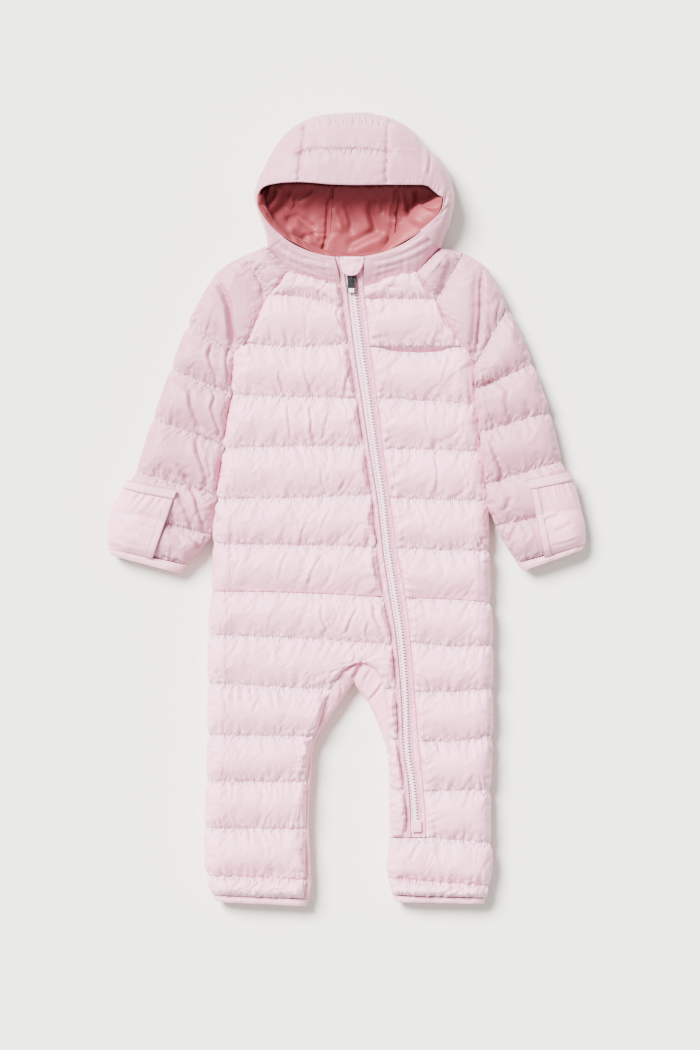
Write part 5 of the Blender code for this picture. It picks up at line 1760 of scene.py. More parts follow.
BODY_CREASES = crease_rows(
    (1.5, 1.3, 0.9, 280, 368, 279.5, 378, 284, 392),
    (1.3, 1.3, 0.8, 303, 366, 308, 382, 313, 396),
    (1.7, 1.6, 1.2, 351, 366, 347, 380, 345, 397),
    (1.3, 1.3, 0.9, 289, 399, 288, 412, 291, 436, 289, 444),
    (1.9, 1.4, 1.4, 309, 404, 312, 420, 311, 432, 316, 444),
    (1.0, 1.2, 0.6, 330, 410, 326, 424, 322, 441),
    (2.0, 1.8, 1.3, 359, 413, 361, 426, 363, 441),
    (1.2, 1.3, 0.8, 322, 466, 322, 482, 327, 495),
    (1.0, 1.2, 0.8, 339, 474, 345, 481, 338, 492),
    (1.2, 1.4, 1.0, 365, 480, 371, 489, 374, 500),
    (1.1, 1.2, 0.7, 333, 506, 325, 520, 319, 536),
    (1.0, 1.2, 0.6, 318, 505, 308, 520, 300, 538),
    (1.0, 1.2, 0.7, 289, 550, 283, 562, 278, 582),
    (1.3, 1.3, 0.9, 325, 552, 315, 566, 306, 588),
    (1.0, 1.2, 0.7, 346, 548, 342, 560, 337, 575),
    (1.6, 1.6, 0.8, 377, 440, 380, 455, 383, 475),
    (1.8, 1.8, 1.2, 373, 520, 378, 540, 374, 560, 379, 585),
    (1.2, 1.2, 0.8, 427, 402, 426, 418, 429, 436),
    (0.9, 1.2, 0.6, 445, 404, 446, 416, 444, 430),
    (1.5, 1.3, 1.0, 434, 456, 438, 470, 436, 492),
    (0.9, 1.2, 0.6, 463, 458, 466, 470, 470, 488),
    (0.9, 1.1, 0.6, 418, 503, 424, 518, 425, 530),
    (0.6, 1.6, 0.4, 404, 348, 420, 352, 436, 349),
    (0.9, 1.4, 0.7, 452, 352, 446, 368, 441, 386),
    (1.4, 1.3, 1.0, 323, 601, 321, 615, 328, 634),
    (1.3, 1.3, 0.9, 359, 606, 351, 620, 345, 636),
    (2.4, 1.8, 1.6, 374, 600, 375, 616, 384, 634, 388, 640),
    (1.3, 1.3, 0.9, 369, 620, 366, 632, 370, 640),
    (0.8, 1.2, 0.6, 276, 605, 270, 620, 268, 633),
    (1.6, 1.4, 1.2, 392, 648, 394, 665, 394, 682),
    (1.3, 1.3, 0.9, 355, 650, 356, 657, 352, 664),
    (0.9, 1.2, 0.6, 262, 692, 257, 703, 253, 713),
    (1.8, 1.2, 1.2, 303, 738, 309, 746, 313, 750),
    (1.4, 1.1, 1.0, 300, 782, 306, 787, 310, 790),
    (1.3, 1.0, 1.0, 478, 738, 484, 736, 492, 735),
    (0.9, 1.0, 0.5, 489, 722, 489, 730, 488, 738),
    (1.6, 1.1, 1.1, 481, 790, 486, 797, 491, 802),
    (1.8, 1.4, 1.2, 250, 893, 254, 886, 262, 880),
    (1.2, 1.4, 0.4, 228, 878, 262, 877, 288, 880),
    (1.6, 1.4, 0.6, 392, 877, 425, 882, 470, 886),
    (1.0, 1.3, 0.8, 440, 897, 448, 890, 456, 888),
    (1.0, 1.0, 0.5, 309, 828, 307, 850, 305, 876, 302, 896),
    (1.1, 1.4, 0.8, 300, 274, 312, 283, 330, 290),
    (0.8, 1.3, 0.6, 330, 278, 324, 288, 316, 296),
    (0.8, 1.6, 0.5, 303, 303, 318, 312, 334, 316),
    (0.9, 1.4, 0.7, 344, 300, 337, 314, 342, 330),
    (0.8, 1.5, 0.6, 381, 283, 392, 288, 404, 287),
)
SLEEVE_CREASES = crease_rows(
    (8.0, 2.8, 3.6, 214, 278, 223.7, 293, 229.2, 306, 232, 330, 234.4, 352),
    (1.4, 1.7, 1.0, 196, 300, 199, 312, 194, 326),
    (2.1, 1.8, 1.6, 213.5, 341, 209, 354, 212, 366, 219, 382),
    (1.9, 1.7, 1.3, 229, 345, 227, 362, 229, 380),
    (3.5, 2.4, 2.4, 190, 386, 192, 406, 200, 426, 205, 434),
    (2.1, 1.7, 1.6, 210, 385, 215.5, 397, 212, 408, 217, 424, 222, 438),
    (1.0, 3.0, 0.8, 171, 394, 166, 408, 163, 422),
    (3.1, 2.4, 2.2, 196.5, 436, 198.5, 452, 204.5, 467, 208.5, 488),
    (2.2, 1.9, 1.7, 176, 462, 184, 475, 194, 489),
    (1.2, 3.2, 1.0, 156, 430, 150, 446, 146, 462),
    (2.2, 1.6, 1.6, 164, 468, 168, 478, 170, 486),
    (3.6, 2.2, 2.4, 180, 472, 187, 481, 195.7, 495, 199, 509, 206, 534),
    (2.8, 1.9, 1.9, 176, 492, 185, 507, 189.5, 520, 192.5, 532),
    (1.6, 1.8, 1.2, 207, 454, 210, 468, 211, 481),
    (2.4, 1.6, 1.6, 190, 534, 196.5, 542, 201, 550),
    (2.2, 2.0, 1.2, 172, 511, 173.6, 522, 169.5, 537),
    (1.6, 1.4, 1.3, 160, 556, 172, 560, 184, 563),
    (1.9, 2.4, 1.3, 254, 268, 262, 284, 264, 300),
    (6.5, 2.6, -3.0, 484, 269, 481, 288, 481.5, 312, 480, 335, 475.5, 362),
    (1.6, 3.1, 1.1, 452, 252, 447, 272, 441, 296),
    (1.3, 1.7, 1.0, 500, 300, 497, 314, 495, 326),
    (2.6, 1.9, 1.6, 478, 386, 486, 384, 496, 381),
    (1.4, 2.4, 0.8, 508, 388, 506, 402, 508, 416),
    (2.8, 2.3, 1.8, 490, 440, 496, 456, 502, 472, 496, 486),
    (2.2, 2.8, 1.2, 511, 496, 508, 504, 504, 513),
    (2.6, 1.8, 1.6, 517, 525, 511, 535, 507.5, 543),
    (2.2, 1.6, 1.2, 506.5, 525, 504, 535, 505, 543),
    (1.6, 2.2, 1.2, 514, 542, 511, 553, 514, 561),
)


POCKET_ENDS = (377.0, 454.0)  # x of the two ends of the chest pocket's opening
POCKET_SEAM = (370.6, 464.0)  # x of the two ends of the seam it lies in
POCKET_Y, POCKET_SAG = 347.3, 5.3


@dataclass
class BodyFront:
    """Quilted front of the body and legs."""

    bolt: Bolt
    finishes: Finishes
    pieces: dict[str, list[Surface]] = field(default_factory=dict)

    def cut(self) -> None:
        """Lay out every front panel."""
        upper = Quilt(column_values("mid", (RIGHT_UPPER, 0, 7)))
        yoke = Quilt(column_values("mid", (LEFT_YOKE, 0, 2)))
        left = Quilt(column_values("mid", (LEFT_UPPER, 0, 5)))
        self.pieces = {
            "front_right_upper": [front(RIGHT_UPPER, Side.RIGHT, upper, 100, True)],
            "front_left_yoke": [front(LEFT_YOKE, Side.LEFT, yoke, 200, True)],
            "front_left_upper": [front(LEFT_UPPER, Side.LEFT, left, 300)],
            "front_right_lower": right_leg_front(),
            "front_left_lower": left_leg_front(),
        }
        self.gape()
        for surfaces in self.pieces.values():
            weld(surfaces)

    def gape(self) -> None:
        """Let the pocket's lip sag between the ends of its opening only."""
        points = self.pieces["front_left_upper"][0].points
        x, y = points[..., 0], points[..., 1]
        low, high = POCKET_ENDS
        share = (x - x[:, :1]) / (x[:, -1:] - x[:, :1])
        sag = y - (y[:, :1] + (y[:, -1:] - y[:, :1]) * share)
        within = ramp((x - low) / 12.0) * ramp((high - x) / 12.0)
        near = ramp(1.0 - (y - y[:1]) / 18.0)
        points[..., 1] = y - sag * (1 - within) * near

    def make(self, puckers: Puckers) -> None:
        """Raise the folds and close each panel.

        Args:
            puckers: the small folds along the stitching.
        """
        for name, surfaces in self.pieces.items():
            sew(surfaces, puckers, BODY_CREASES)
            made = self.bolt.panel(f"quilted_{name}", surfaces, FRONT_LOW, self.finishes.shell)
            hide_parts(name)


@dataclass
class BodyBack:
    """Back of the body and legs, flat on the floor and rounded at the outline."""

    bolt: Bolt
    finishes: Finishes
    neck_y: float = 270.5
    waist_y: float = 595.0
    seat_y: float = 661.9
    fork_y: float = 662.0
    hem_y: float = 894.4
    centre_x: float = 353.4
    dip: float = 15.0  # how far the neck's middle hangs down

    def surface(
        self, y: Array, first: Array, last: Array, rolls: tuple[Array, Array], dip: Array
    ) -> Surface:
        """Underside between two edges.

        Args:
            y: level of each row.
            first: x of its first edge.
            last: x of its last edge.
            rolls: how far each edge rounds up, from 0 to 1.
            dip: how far the middle of each row lies below its ends.

        Returns:
            The underside.
        """
        shares = column_shares(float(np.abs(last - first).max()), 3.0)[None, :]
        x = first[:, None] + (last - first)[:, None] * shares
        width = np.abs(last - first)[:, None]
        rows = y[:, None] + dip[:, None] * 4 * shares * (1 - shares)
        near = rolls[0][:, None] * (1 - rounding(shares * width, BACK_ROLL))
        far = rolls[1][:, None] * (1 - rounding((1 - shares) * width, BACK_ROLL))
        z = np.maximum(near, far) * (BACK_HIGH - EDGE_RISE)
        points = np.stack([x, rows, z], axis=-1)
        made = Surface.bare(points)
        made.settle_direction()
        made.up *= -1.0
        return made

    def upper(self) -> None:
        """Back of the body, from the neck to the waist."""
        y = np.linspace(self.neck_y, self.waist_y - GAP, 131)
        first, _ = outline(Side.RIGHT, y)
        last, _ = outline(Side.LEFT, y)
        rolls = tuple(ramp((y - UNDERARM[word]) / 6) for word in ("right", "left"))
        share = (y - y[0]) / (self.waist_y - y[0])
        dip = self.dip * (1 - share) ** 6
        self.close("back_upper", self.surface(y, first, last, rolls, dip))

    def lower(self, side: Side) -> None:
        """Back of one leg, with its share of the seat.

        Args:
            side: which leg.
        """
        seat = np.linspace(self.waist_y, self.seat_y, 30)
        y = np.unique(np.concatenate([seat, np.linspace(self.fork_y, self.hem_y, 120)]))
        first, _ = outline(side, y)
        centre = self.centre_x - side.inwards * GAP
        seam = GUSSET_SEAM[side.word](y) - side.inwards * 1.5 * GAP
        edge = np.where(y < self.fork_y, centre, seam)
        rolls_in = np.zeros(y.shape)
        if side is Side.RIGHT:
            edge = np.minimum(edge, centre)
        else:
            low = ramp((y - BESIDE_OUTLINE_Y) / 4)
            edge = edge * (1 - low) + (INNER["left"](y) + GAP) * low
            rolls_in = low
        name = f"back_lower_{side.word}"
        self.close(name, self.surface(y, first, edge, (np.ones(y.shape), rolls_in), 0 * y))

    def close(self, name: str, surface: Surface) -> None:
        """Close a back panel against the plane where the front lies on it.

        Args:
            name: the node it replaces.
            surface: its underside.
        """
        made = self.bolt.panel(f"padded_{name}", [surface], BACK_HIGH, self.finishes.shell)
        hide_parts(name)

    def make(self) -> None:
        """Make all three backs."""
        self.upper()
        self.lower(Side.RIGHT)
        self.lower(Side.LEFT)


@dataclass
class Gusset:
    """Plain strip round the crotch and down the inner legs, folded round its outline."""

    bolt: Bolt
    finishes: Finishes
    wall: float = 1.4
    rows: tuple[tuple[str, float, float], ...] = (
        ("right", 898.4, 899.2), ("right", 881.0, 881.0), ("right", 852.0, 852.0),
        ("right", 820.0, 820.0), ("right", 790.0, 790.0), ("right", 765.0, 764.0),
        ("right", 748.0, 744.0), ("right", 733.0, 726.0), ("right", 719.0, 709.0),
        ("right", 706.0, 693.0), ("right", 696.0, 680.0), ("right", 688.0, 670.5),
        ("right", 684.0, 665.4), ("left", 682.4, 662.0), ("left", 686.0, 666.0),
        ("left", 692.0, 673.0), ("left", 700.0, 684.0), ("left", 710.0, 697.0),
        ("left", 722.0, 713.0), ("left", 735.0, 729.0), ("left", 746.0, 743.0),
        ("left", 754.0, 753.0),
    )
    folds: tuple[Crease, ...] = crease_rows(
        (3.6, 2.0, 2.2, 362, 661, 357, 671, 352, 680),
        (1.5, 1.3, 1.2, 384, 681, 378, 690, 368, 702),
        (1.0, 1.2, 0.8, 346, 668, 349, 674, 354, 678),
        (0.8, 1.4, 0.6, 340, 682, 342, 690, 340, 700),
        (0.9, 1.6, 0.8, 372, 668, 366, 678, 362, 690),
        (0.7, 1.2, 0.5, 330, 704, 326, 712, 324, 722),
    )

    def make(self) -> None:
        """Make the strip as a thin folded wall."""
        keys = np.arange(len(self.rows), dtype=float)
        outline_x = [float(INNER[s](y)) for s, y, _ in self.rows]
        seam_x = [float(GUSSET_SEAM[s](y)) for s, _, y in self.rows]
        curves = [
            Curve(keys, values)
            for values in (outline_x, [r[1] for r in self.rows], seam_x, [r[2] for r in self.rows])
        ]
        at = np.linspace(0, keys[-1], 331)
        ox, oy, sx, sy = (curve(at) for curve in curves)
        width = np.hypot(sx - ox, sy - oy)
        short = 1.0 - 2 * GAP / width
        sx, sy, width = ox + (sx - ox) * short, oy + (sy - oy) * short, width * short
        full = 3.6 + 6.4 * ramp(width / 18.0)
        shares = np.linspace(1.0, 0.0, 15)[None, :]
        distance = width[:, None] * shares
        top_z = FRONT_LOW + full[:, None] * rounding(distance, np.maximum(width, 2.0)[:, None])
        under = np.array([0.06, 0.14, 0.25, 0.42, 0.6, 0.8, 1.0])[None, :]
        under_distance = width[:, None] * under
        under_z = (1 - rounding(under_distance, 11.0)) * (BACK_HIGH - EDGE_RISE)
        share = np.concatenate([shares + 0 * distance, under + 0 * under_distance], axis=1)
        z = np.concatenate([top_z, under_z], axis=1)
        x = ox[:, None] + (sx - ox)[:, None] * share
        y = oy[:, None] + (sy - oy)[:, None] * share
        outer = np.stack([x, y, z], axis=-1)
        surface = Surface.bare(outer)
        surface.up = 1.0
        if surface.normals()[:, :10, 2].mean() < 0:
            surface.up = -1.0
        normals = surface.normals()
        height = np.zeros(x.shape)
        for crease in self.folds:
            height[:, 1:14] += crease.height(x[:, 1:14], y[:, 1:14])
        grain = Grain(23)
        wrinkle = 0.5 * grain(at[:, None] * 2.6 + share * 1.5, 2)
        wrinkle = wrinkle + 0.3 * grain(at[:, None] * 6.0, 4)
        height[:, 1:14] += (wrinkle * np.sin(math.pi * ramp(share)))[:, 1:14]
        outer = outer + normals * height[..., None]
        inner = outer - normals * self.wall
        made = self.bolt.shell("gusset_strip", outer, inner, self.finishes.plain)
        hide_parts("gusset")
        declare_sheet(made, outer)


@dataclass
class Sleeves:
    """Both sleeves, with the fold-over mitten flaps that lie on them."""

    bolt: Bolt
    finishes: Finishes
    bands: dict[Side, Point] = field(
        default_factory=lambda: {Side.RIGHT: (5.24, 5.45), Side.LEFT: (5.15, 5.35)}
    )
    flap_end: float = 6.98
    tapes: dict[Side, Point] = field(
        default_factory=lambda: {Side.RIGHT: (0.537, 0.56), Side.LEFT: (0.482, 0.60)}
    )
    tilts: dict[Side, Point] = field(
        default_factory=lambda: {Side.RIGHT: (0.0, -0.195), Side.LEFT: (0.07, -0.094)}
    )
    tape_width: float = 7.8
    row_length: float = 31.0
    shapes: dict[Side, SleeveShape] = field(default_factory=dict)
    tops: dict[Side, tuple[Surface, Array]] = field(default_factory=dict)

    def cut(self) -> None:
        """Lay out both top faces."""
        self.shapes = {
            Side.RIGHT: SleeveShape(RIGHT_SLEEVE, Side.RIGHT, 800),
            Side.LEFT: SleeveShape(LEFT_SLEEVE, Side.LEFT, 900),
        }
        self.tops = {side: shape.surface() for side, shape in self.shapes.items()}

    def make(self, puckers: Puckers) -> None:
        """Raise the folds, close the sleeves and lay the mitten flaps on them.

        Args:
            puckers: the small folds along the stitching.
        """
        for side, shape in self.shapes.items():
            surface, q = self.tops[side]
            sew([surface], puckers, SLEEVE_CREASES)
            rings = shape.rings(surface.points, q)
            # the sleeve takes the darker copy of the shell cloth, as painted shade
            made = self.bolt.tube(
                f"quilted_sleeve_{side.word}", rings, self.finishes.deep, seam=surface.seam_map()
            )
            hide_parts(f"sleeve_{side.word}")
            self.mitten(side)

    def rows(self, side: Side, q: Array) -> tuple[Array, Array, Array]:
        """Outer fold, inner edge and fullness of the mitten's rows, which turn with its band.

        Args:
            side: which sleeve.
            q: rows among its lines.

        Returns:
            Plan of the fold, plan of the inner edge, and the fullness.
        """
        start, shape = self.bands[side][0], self.shapes[side]
        turned = ramp((self.flap_end - q) / (self.flap_end - start))
        first, last = self.tilts[side]
        outer, _, full = shape.edges(q + first * turned)
        _, inner, _ = shape.edges(q + last * turned)
        return outer, inner, full

    def tape_edge(self, side: Side, q: Array) -> Array:
        """Share of each row at which the straight free edge of the tape crosses it.

        Args:
            side: which sleeve.
            q: rows among its lines.

        Returns:
            The share of each row.
        """
        ends = np.array([self.bands[side][1], self.flap_end])
        outer, inner, _ = self.rows(side, ends)
        share = np.array(self.tapes[side])[:, None]
        start, stop = outer + (inner - outer) * share
        outer, inner, _ = self.rows(side, q)
        row, edge = inner - outer, stop - start
        cross = row[:, 0] * edge[1] - row[:, 1] * edge[0]
        off = start - outer
        return (off[:, 0] * edge[1] - off[:, 1] * edge[0]) / cross

    def patch(
        self,
        side: Side,
        start: float,
        stop: float,
        between: tuple[float | None, float],
        lift: float,
    ) -> tuple[Array, Array, Array, Array]:
        """Part of a sleeve's plain top face, moved out.

        Args:
            side: which sleeve.
            start: first row among the sleeve's lines.
            stop: last row.
            between: how far from the tape's free edge it starts, none for the sleeve's fold,
                and how far from it it ends.
            lift: how far out it lies.

        Returns:
            The points, the outward directions, the rows and the columns' distances.
        """
        shape = self.shapes[side]
        quilt = shape.lines()
        length = float(abs(quilt.y(stop) - quilt.y(start)))
        q = np.linspace(start, stop, odd_count(length, 1.3))
        outer, inner, full = self.rows(side, q)
        level = ramp((7.0 - q) / 0.4) * 0.7
        full = (1 - level) * full + level * full.max()
        width = np.linalg.norm(inner - outer, axis=1)[:, None]
        far = self.tape_edge(side, q)[:, None] * width
        near = 0.0 * far if between[0] is None else far - between[0]
        far = far - between[1]
        t = np.linspace(0.0, 1.0, odd_count(float((far - near).max()), 1.2))
        if between[0] is None:
            t = 0.7 * t**1.6 + 0.3 * t
        distance = near + (far - near) * t[None, :]
        share = distance / width
        z = FRONT_LOW + np.minimum(
            rise_from_edge(distance, 0.0, full[:, None]),
            rise_from_edge(width - distance, EDGE_RISE, full[:, None]),
        )
        z = np.where(distance <= 0.0, MID, z)
        points = lay_out(outer, inner, share, z)
        surface = Surface.bare(points)
        surface.settle_direction()
        normals = surface.normals()
        return points + normals * lift, normals, q[:, None] + 0 * share, distance

    def mitten(self, side: Side) -> None:
        """Flap, gathered band and edge tape of one sleeve.

        Args:
            side: which sleeve.
        """
        grain = Grain(31 if side is Side.RIGHT else 37)
        word, finishes = side.word, self.finishes
        start, end = self.bands[side]
        points, normals, q, distance = self.patch(
            side, end + 0.01, self.flap_end, (None, self.tape_width - 1.0), 2.7
        )
        down = (q - end) * self.row_length
        gather = np.exp(-down / 6.0) * (1 - np.exp(-down / 1.2))
        lean = distance + 0.12 * down
        folds = gather * 3.2 * (1.6 * np.abs(grain(lean / 3.2, 1)) - 0.5)
        wide = grain(lean / 13.0 + 0.5 * grain(down / 11.0, 2), 3)
        folds += wide * ramp(down / 10)
        folds += 0.45 * grain(distance / 6.0 + 1.4 * grain(down / 6.0, 5), 6)
        for crease in MITTEN_CREASES:
            folds += crease.height(points[..., 0], points[..., 1])
        border = np.ones(down.shape)
        border[:, 0] = border[0] = border[-1] = 0.0
        points = points + normals * (folds * border)[..., None]
        under_face = points - normals * 1.2
        flap = self.bolt.shell(f"gathered_flap_{word}", points, under_face, finishes.plain)
        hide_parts(f"mitten_flap_{word}")
        declare_sheet(flap, points)
        points, normals, q, distance = self.patch(side, start, end, (None, 0.0), 3.7)
        share = (q - start) / (end - start)
        rows = np.sin(math.pi * ramp(share))
        ribs = 0.35 * rows * np.sin(2 * math.pi * distance / 2.6 + 2 * grain(distance / 9, 4))
        ribs += 0.35 * rows + 0.2 * grain(distance / 6.0, 8) - 0.3 * bell((share - 0.5) / 0.12)
        points = points + normals * ribs[..., None]
        hem = np.stack([distance, 8.0 * np.minimum(share, 1 - share)], -1)
        band = self.bolt.shell(
            f"elastic_band_{word}", points, points - normals * 2.2, finishes.trim, 1.2, hem
        )
        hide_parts(f"mitten_band_{word}")
        declare_sheet(band, points)
        points, normals, q, _ = self.patch(
            side, end + 0.01, self.flap_end, (self.tape_width, 0.0), 3.5
        )
        down = (q - end) * self.row_length
        across = np.linspace(-1, 1, points.shape[1])[None, :]
        wave = 0.35 * grain(down / 7.0, 9) + 0.25 * grain(down / 3.0, 12) * (1 - across**2)
        wave += 0.3 * (1 - across**4) - 0.25 * bell((np.abs(across) - 0.62) / 0.13)
        points = points + normals * wave[..., None]
        hem = np.stack([down, 0.5 * self.tape_width * (1 - np.abs(across)) + 0 * down], -1)
        tape = self.bolt.shell(
            f"edge_tape_{word}", points, points - normals * 2.0, finishes.trim, 1.2, hem
        )
        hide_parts(f"mitten_tape_{word}")
        declare_sheet(tape, points)


MITTEN_CREASES = crease_rows(
    (1.8, 1.8, 1.4, 137, 512, 149, 518, 162, 526),
    (1.0, 1.6, 0.8, 141, 524, 150, 528, 158, 533),
    (0.9, 2.4, 0.6, 120, 520, 128, 530, 139, 536),
    (0.8, 1.2, 0.6, 113, 538, 130, 544, 148, 548),
    (1.6, 1.8, 1.2, 560, 515, 548, 519, 536, 525),
    (0.9, 2.2, 0.7, 574, 522, 563, 528, 552, 534),
    (0.8, 1.2, 0.6, 580, 538, 565, 543, 548, 546),
)


@dataclass
class Bindings:
    """Elastic bindings of both cuffs and both hems."""

    bolt: Bolt
    finishes: Finishes
    rows: dict[str, tuple[tuple[float, ...], tuple[float, ...], float, float]] = field(
        default_factory=lambda: {
            "cuff_binding_right": (
                (107.6, 547.6, 187.8, 565.6), (111.4, 555.4, 178.6, 573.0), 8.5, 4.0
            ),
            "cuff_binding_left": (
                (585.6, 544.0, 516.4, 563.8), (582.8, 550.0, 523.8, 570.4), 8.5, 4.0
            ),
            "hem_binding_right": (
                (213.6, 895.2, 308.4, 899.4), (216.0, 901.4, 306.8, 905.8), 9.0, 5.0
            ),
            "hem_binding_left": (
                (485.6, 898.0, 393.0, 895.8), (484.4, 903.6, 395.0, 901.6), 9.0, 5.0
            ),
        }
    )

    def make(self) -> None:
        """Make all four bindings."""
        for number, (name, (start, stop, full, slit)) in enumerate(self.rows.items()):
            grain = Grain(50 + number)
            f = np.linspace(0.0, 1.0, 9)[:, None]
            ends = np.array(start)[None, :] + (np.array(stop) - np.array(start))[None, :] * f
            outer, inner = ends[:, :2], ends[:, 2:]
            swell = full * (0.86 + 0.14 * np.sin(math.pi * f))
            width = np.linalg.norm(inner - outer, axis=1)[:, None]
            shares = 1.0 - column_shares(float(width.max()), 1.2)[None, :]
            distance = shares * width
            rise = np.minimum(
                rise_from_edge(distance, 0.0, swell + 0 * shares),
                rise_from_edge(width - distance, EDGE_RISE, swell + 0 * shares),
            )
            ribs = 0.45 * np.sin(2 * math.pi * distance / 3.0 + 3 * grain(distance / 11.0, 1))
            ribs = ribs + 0.6 * grain(distance / 5.0, 2) + 0.35 * grain(distance / 14.0, 3)
            groove = -0.5 * bell((f - 0.3) / 0.12)
            inside = ramp(np.minimum(distance, width - distance) / 5.0)
            z = FRONT_LOW + rise + (ribs * np.sin(math.pi * f) + groove) * inside
            z[:, -1] = MID
            top = lay_out(outer, inner, shares, z)
            rings = under_and_slit(top, outer, inner, slit)
            made = self.bolt.tube(f"ribbed_{name}", rings, self.finishes.trim, 0.9)
            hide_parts(name)
            declare_sheet(made, rings)


@dataclass
class Hood:
    """Padded hood that stands up round the face opening, and its satin lining."""

    bolt: Bolt
    finishes: Finishes
    widest_z: float = 14.0
    turn: float = 10.5
    lines: tuple[float, float] = (0.45, 0.865)
    wall: float = 6.5
    floor_start: float = 131.0
    floor_end: float = 271.0

    def floor_seam(self, row: float, end_x: float, y: Array) -> Array:
        """Where a seam of the centre panel lies on the floor, at a given y.

        Args:
            row: hood row of the seam.
            end_x: x where it ends.
            y: places down it.

        Returns:
            The x at each place.
        """
        ends = [float(HOOD[n](row)) for n in ("rim_x", "rim_y", "outer_x", "outer_y")]
        reach = math.hypot(ends[2] - ends[0], ends[3] - ends[1])
        share = (reach - self.turn) / reach
        x, start = ends[0] + (ends[2] - ends[0]) * share, ends[1] + (ends[3] - ends[1]) * share
        return x + (end_x - x) * (y - start) / (self.floor_end - start)

    def sections(
        self, rows: Array, first: int, last: int, seams: Point, columns: tuple[int, int, int]
    ) -> tuple[Array, Array, Array]:
        """Dense sections of the hood's skin, from the rim over the top and along the floor.

        Args:
            rows: places along the rim.
            first: row of the panel's first edge.
            last: row of its last edge.
            seams: x of the centre panel's two sides, on the floor.
            columns: how many points over the top, round the turn and along the floor.

        Returns:
            The points, their outward normals and the share from rim (0) to outline (1) and beyond.
        """
        rim = np.stack([HOOD[n](rows) for n in ("rim_x", "rim_y")], -1)
        out = np.stack([HOOD[n](rows) for n in ("outer_x", "outer_y")], -1)
        slide = np.zeros(rows.shape)
        if first > 0:
            slide[0] = -0.8
        if last < len(HOOD.key) - 1:
            slide[-1] = 0.8
        rim[:, 0] += slide
        out[:, 0] += slide
        reach = np.linalg.norm(out - rim, axis=1)[:, None]
        unit = (out - rim) / reach
        rise = HOOD["rim_z"](rows)[:, None] - self.widest_z
        t = np.linspace(0.0, 1.0, columns[0])
        share = (0.35 * t + 0.65 * np.sin(t * math.pi / 2) ** 1.15)[None, :]
        z = self.widest_z + rise * np.sqrt(np.maximum(0.0, 1 - share**2.4))
        quilted = self.quilted(rows)
        for line in self.lines:
            off = share - line
            z = z - quilted * (3.0 * bell(off / 0.1) + 1.5 * bell(off / 0.035))
        angle = (np.linspace(0.0, 1.0, columns[1] + 1)[1:] * math.pi / 2)[None, :]
        turn = np.minimum(self.turn, 0.9 * reach)
        r = np.concatenate([reach * share, reach - turn * (1 - np.cos(angle))], axis=1)
        z = np.concatenate([z, self.widest_z * (1 - np.sin(angle)) + 0 * reach], axis=1)
        share = np.concatenate([share + 0 * reach, 1.0 + angle / math.pi + 0 * reach], axis=1)
        profile = np.stack([r, z], -1)
        tangent = np.gradient(profile, axis=1)
        tangent[:, -1] = (-1.0, 0.0)
        tangent /= np.maximum(np.linalg.norm(tangent, axis=-1, keepdims=True), 1e-9)
        away, up = tangent[..., 1], -tangent[..., 0]
        normals = np.stack([unit[:, :1] * -away, unit[:, 1:] * -away, -up], -1)
        points = np.stack([rim[:, :1] + unit[:, :1] * r, rim[:, 1:] + unit[:, 1:] * r, z], -1)
        progress = (rows - first) / (last - first)
        if first in (CROWN[0], LINING_CROWN[0]):
            end_x = seams[0] + GAP + (seams[1] - seams[0] - 2 * GAP) * progress
            end = np.stack([end_x, np.full(rows.shape, self.floor_end)], -1)
        else:
            gone = 1 - progress if first == 0 else progress
            y = self.floor_start + (self.floor_end - self.floor_start) * gone**0.8
            seam_row, seam_x = (last, seams[0]) if first == 0 else (first, seams[1])
            x = self.floor_seam(seam_row, seam_x, y) + (-GAP if first == 0 else GAP)
            end = np.stack([x, y], -1)
        f = np.linspace(0.0, 1.0, columns[2] + 1)[1:][None, :, None]
        start = points[:, -1:, :2]
        floor = start + (end[:, None, :] - start) * f
        floor = np.concatenate([floor, np.zeros((*floor.shape[:2], 1))], -1)
        down = np.zeros_like(floor)
        down[..., 2] = -1.0
        share = np.concatenate([share, 1.5 + f[..., 0] + 0 * reach], axis=1)
        return np.concatenate([points, floor], 1), np.concatenate([normals, down], 1), share

    def quilted(self, rows: Array) -> Array:
        """Share of the quilting at each row: whole on the centre, none past the seams' tucks."""
        away = np.maximum(np.maximum(CROWN[0] - rows, rows - CROWN[1]), 0.0)
        return np.exp(-((away / 0.4) ** 2))[:, None]

    def panel_rows(self, first: int, last: int, spacing: float) -> Array:
        """Places along the rim, evenly spaced on the outline.

        Args:
            first: row of its first edge.
            last: row of its last edge.
            spacing: distance between two places, in mm.

        Returns:
            The places.
        """
        fine = np.linspace(first, last, 600)
        x, y, x2, y2 = (np.diff(HOOD[n](fine)) for n in ("outer_x", "outer_y", "rim_x", "rim_y"))
        step = 0.5 * np.hypot(x, y) + 0.5 * np.hypot(x2, y2)
        length = running_length(step)
        count = odd_count(float(length[-1]), spacing)
        return np.interp(np.linspace(0, length[-1], count), length, fine)

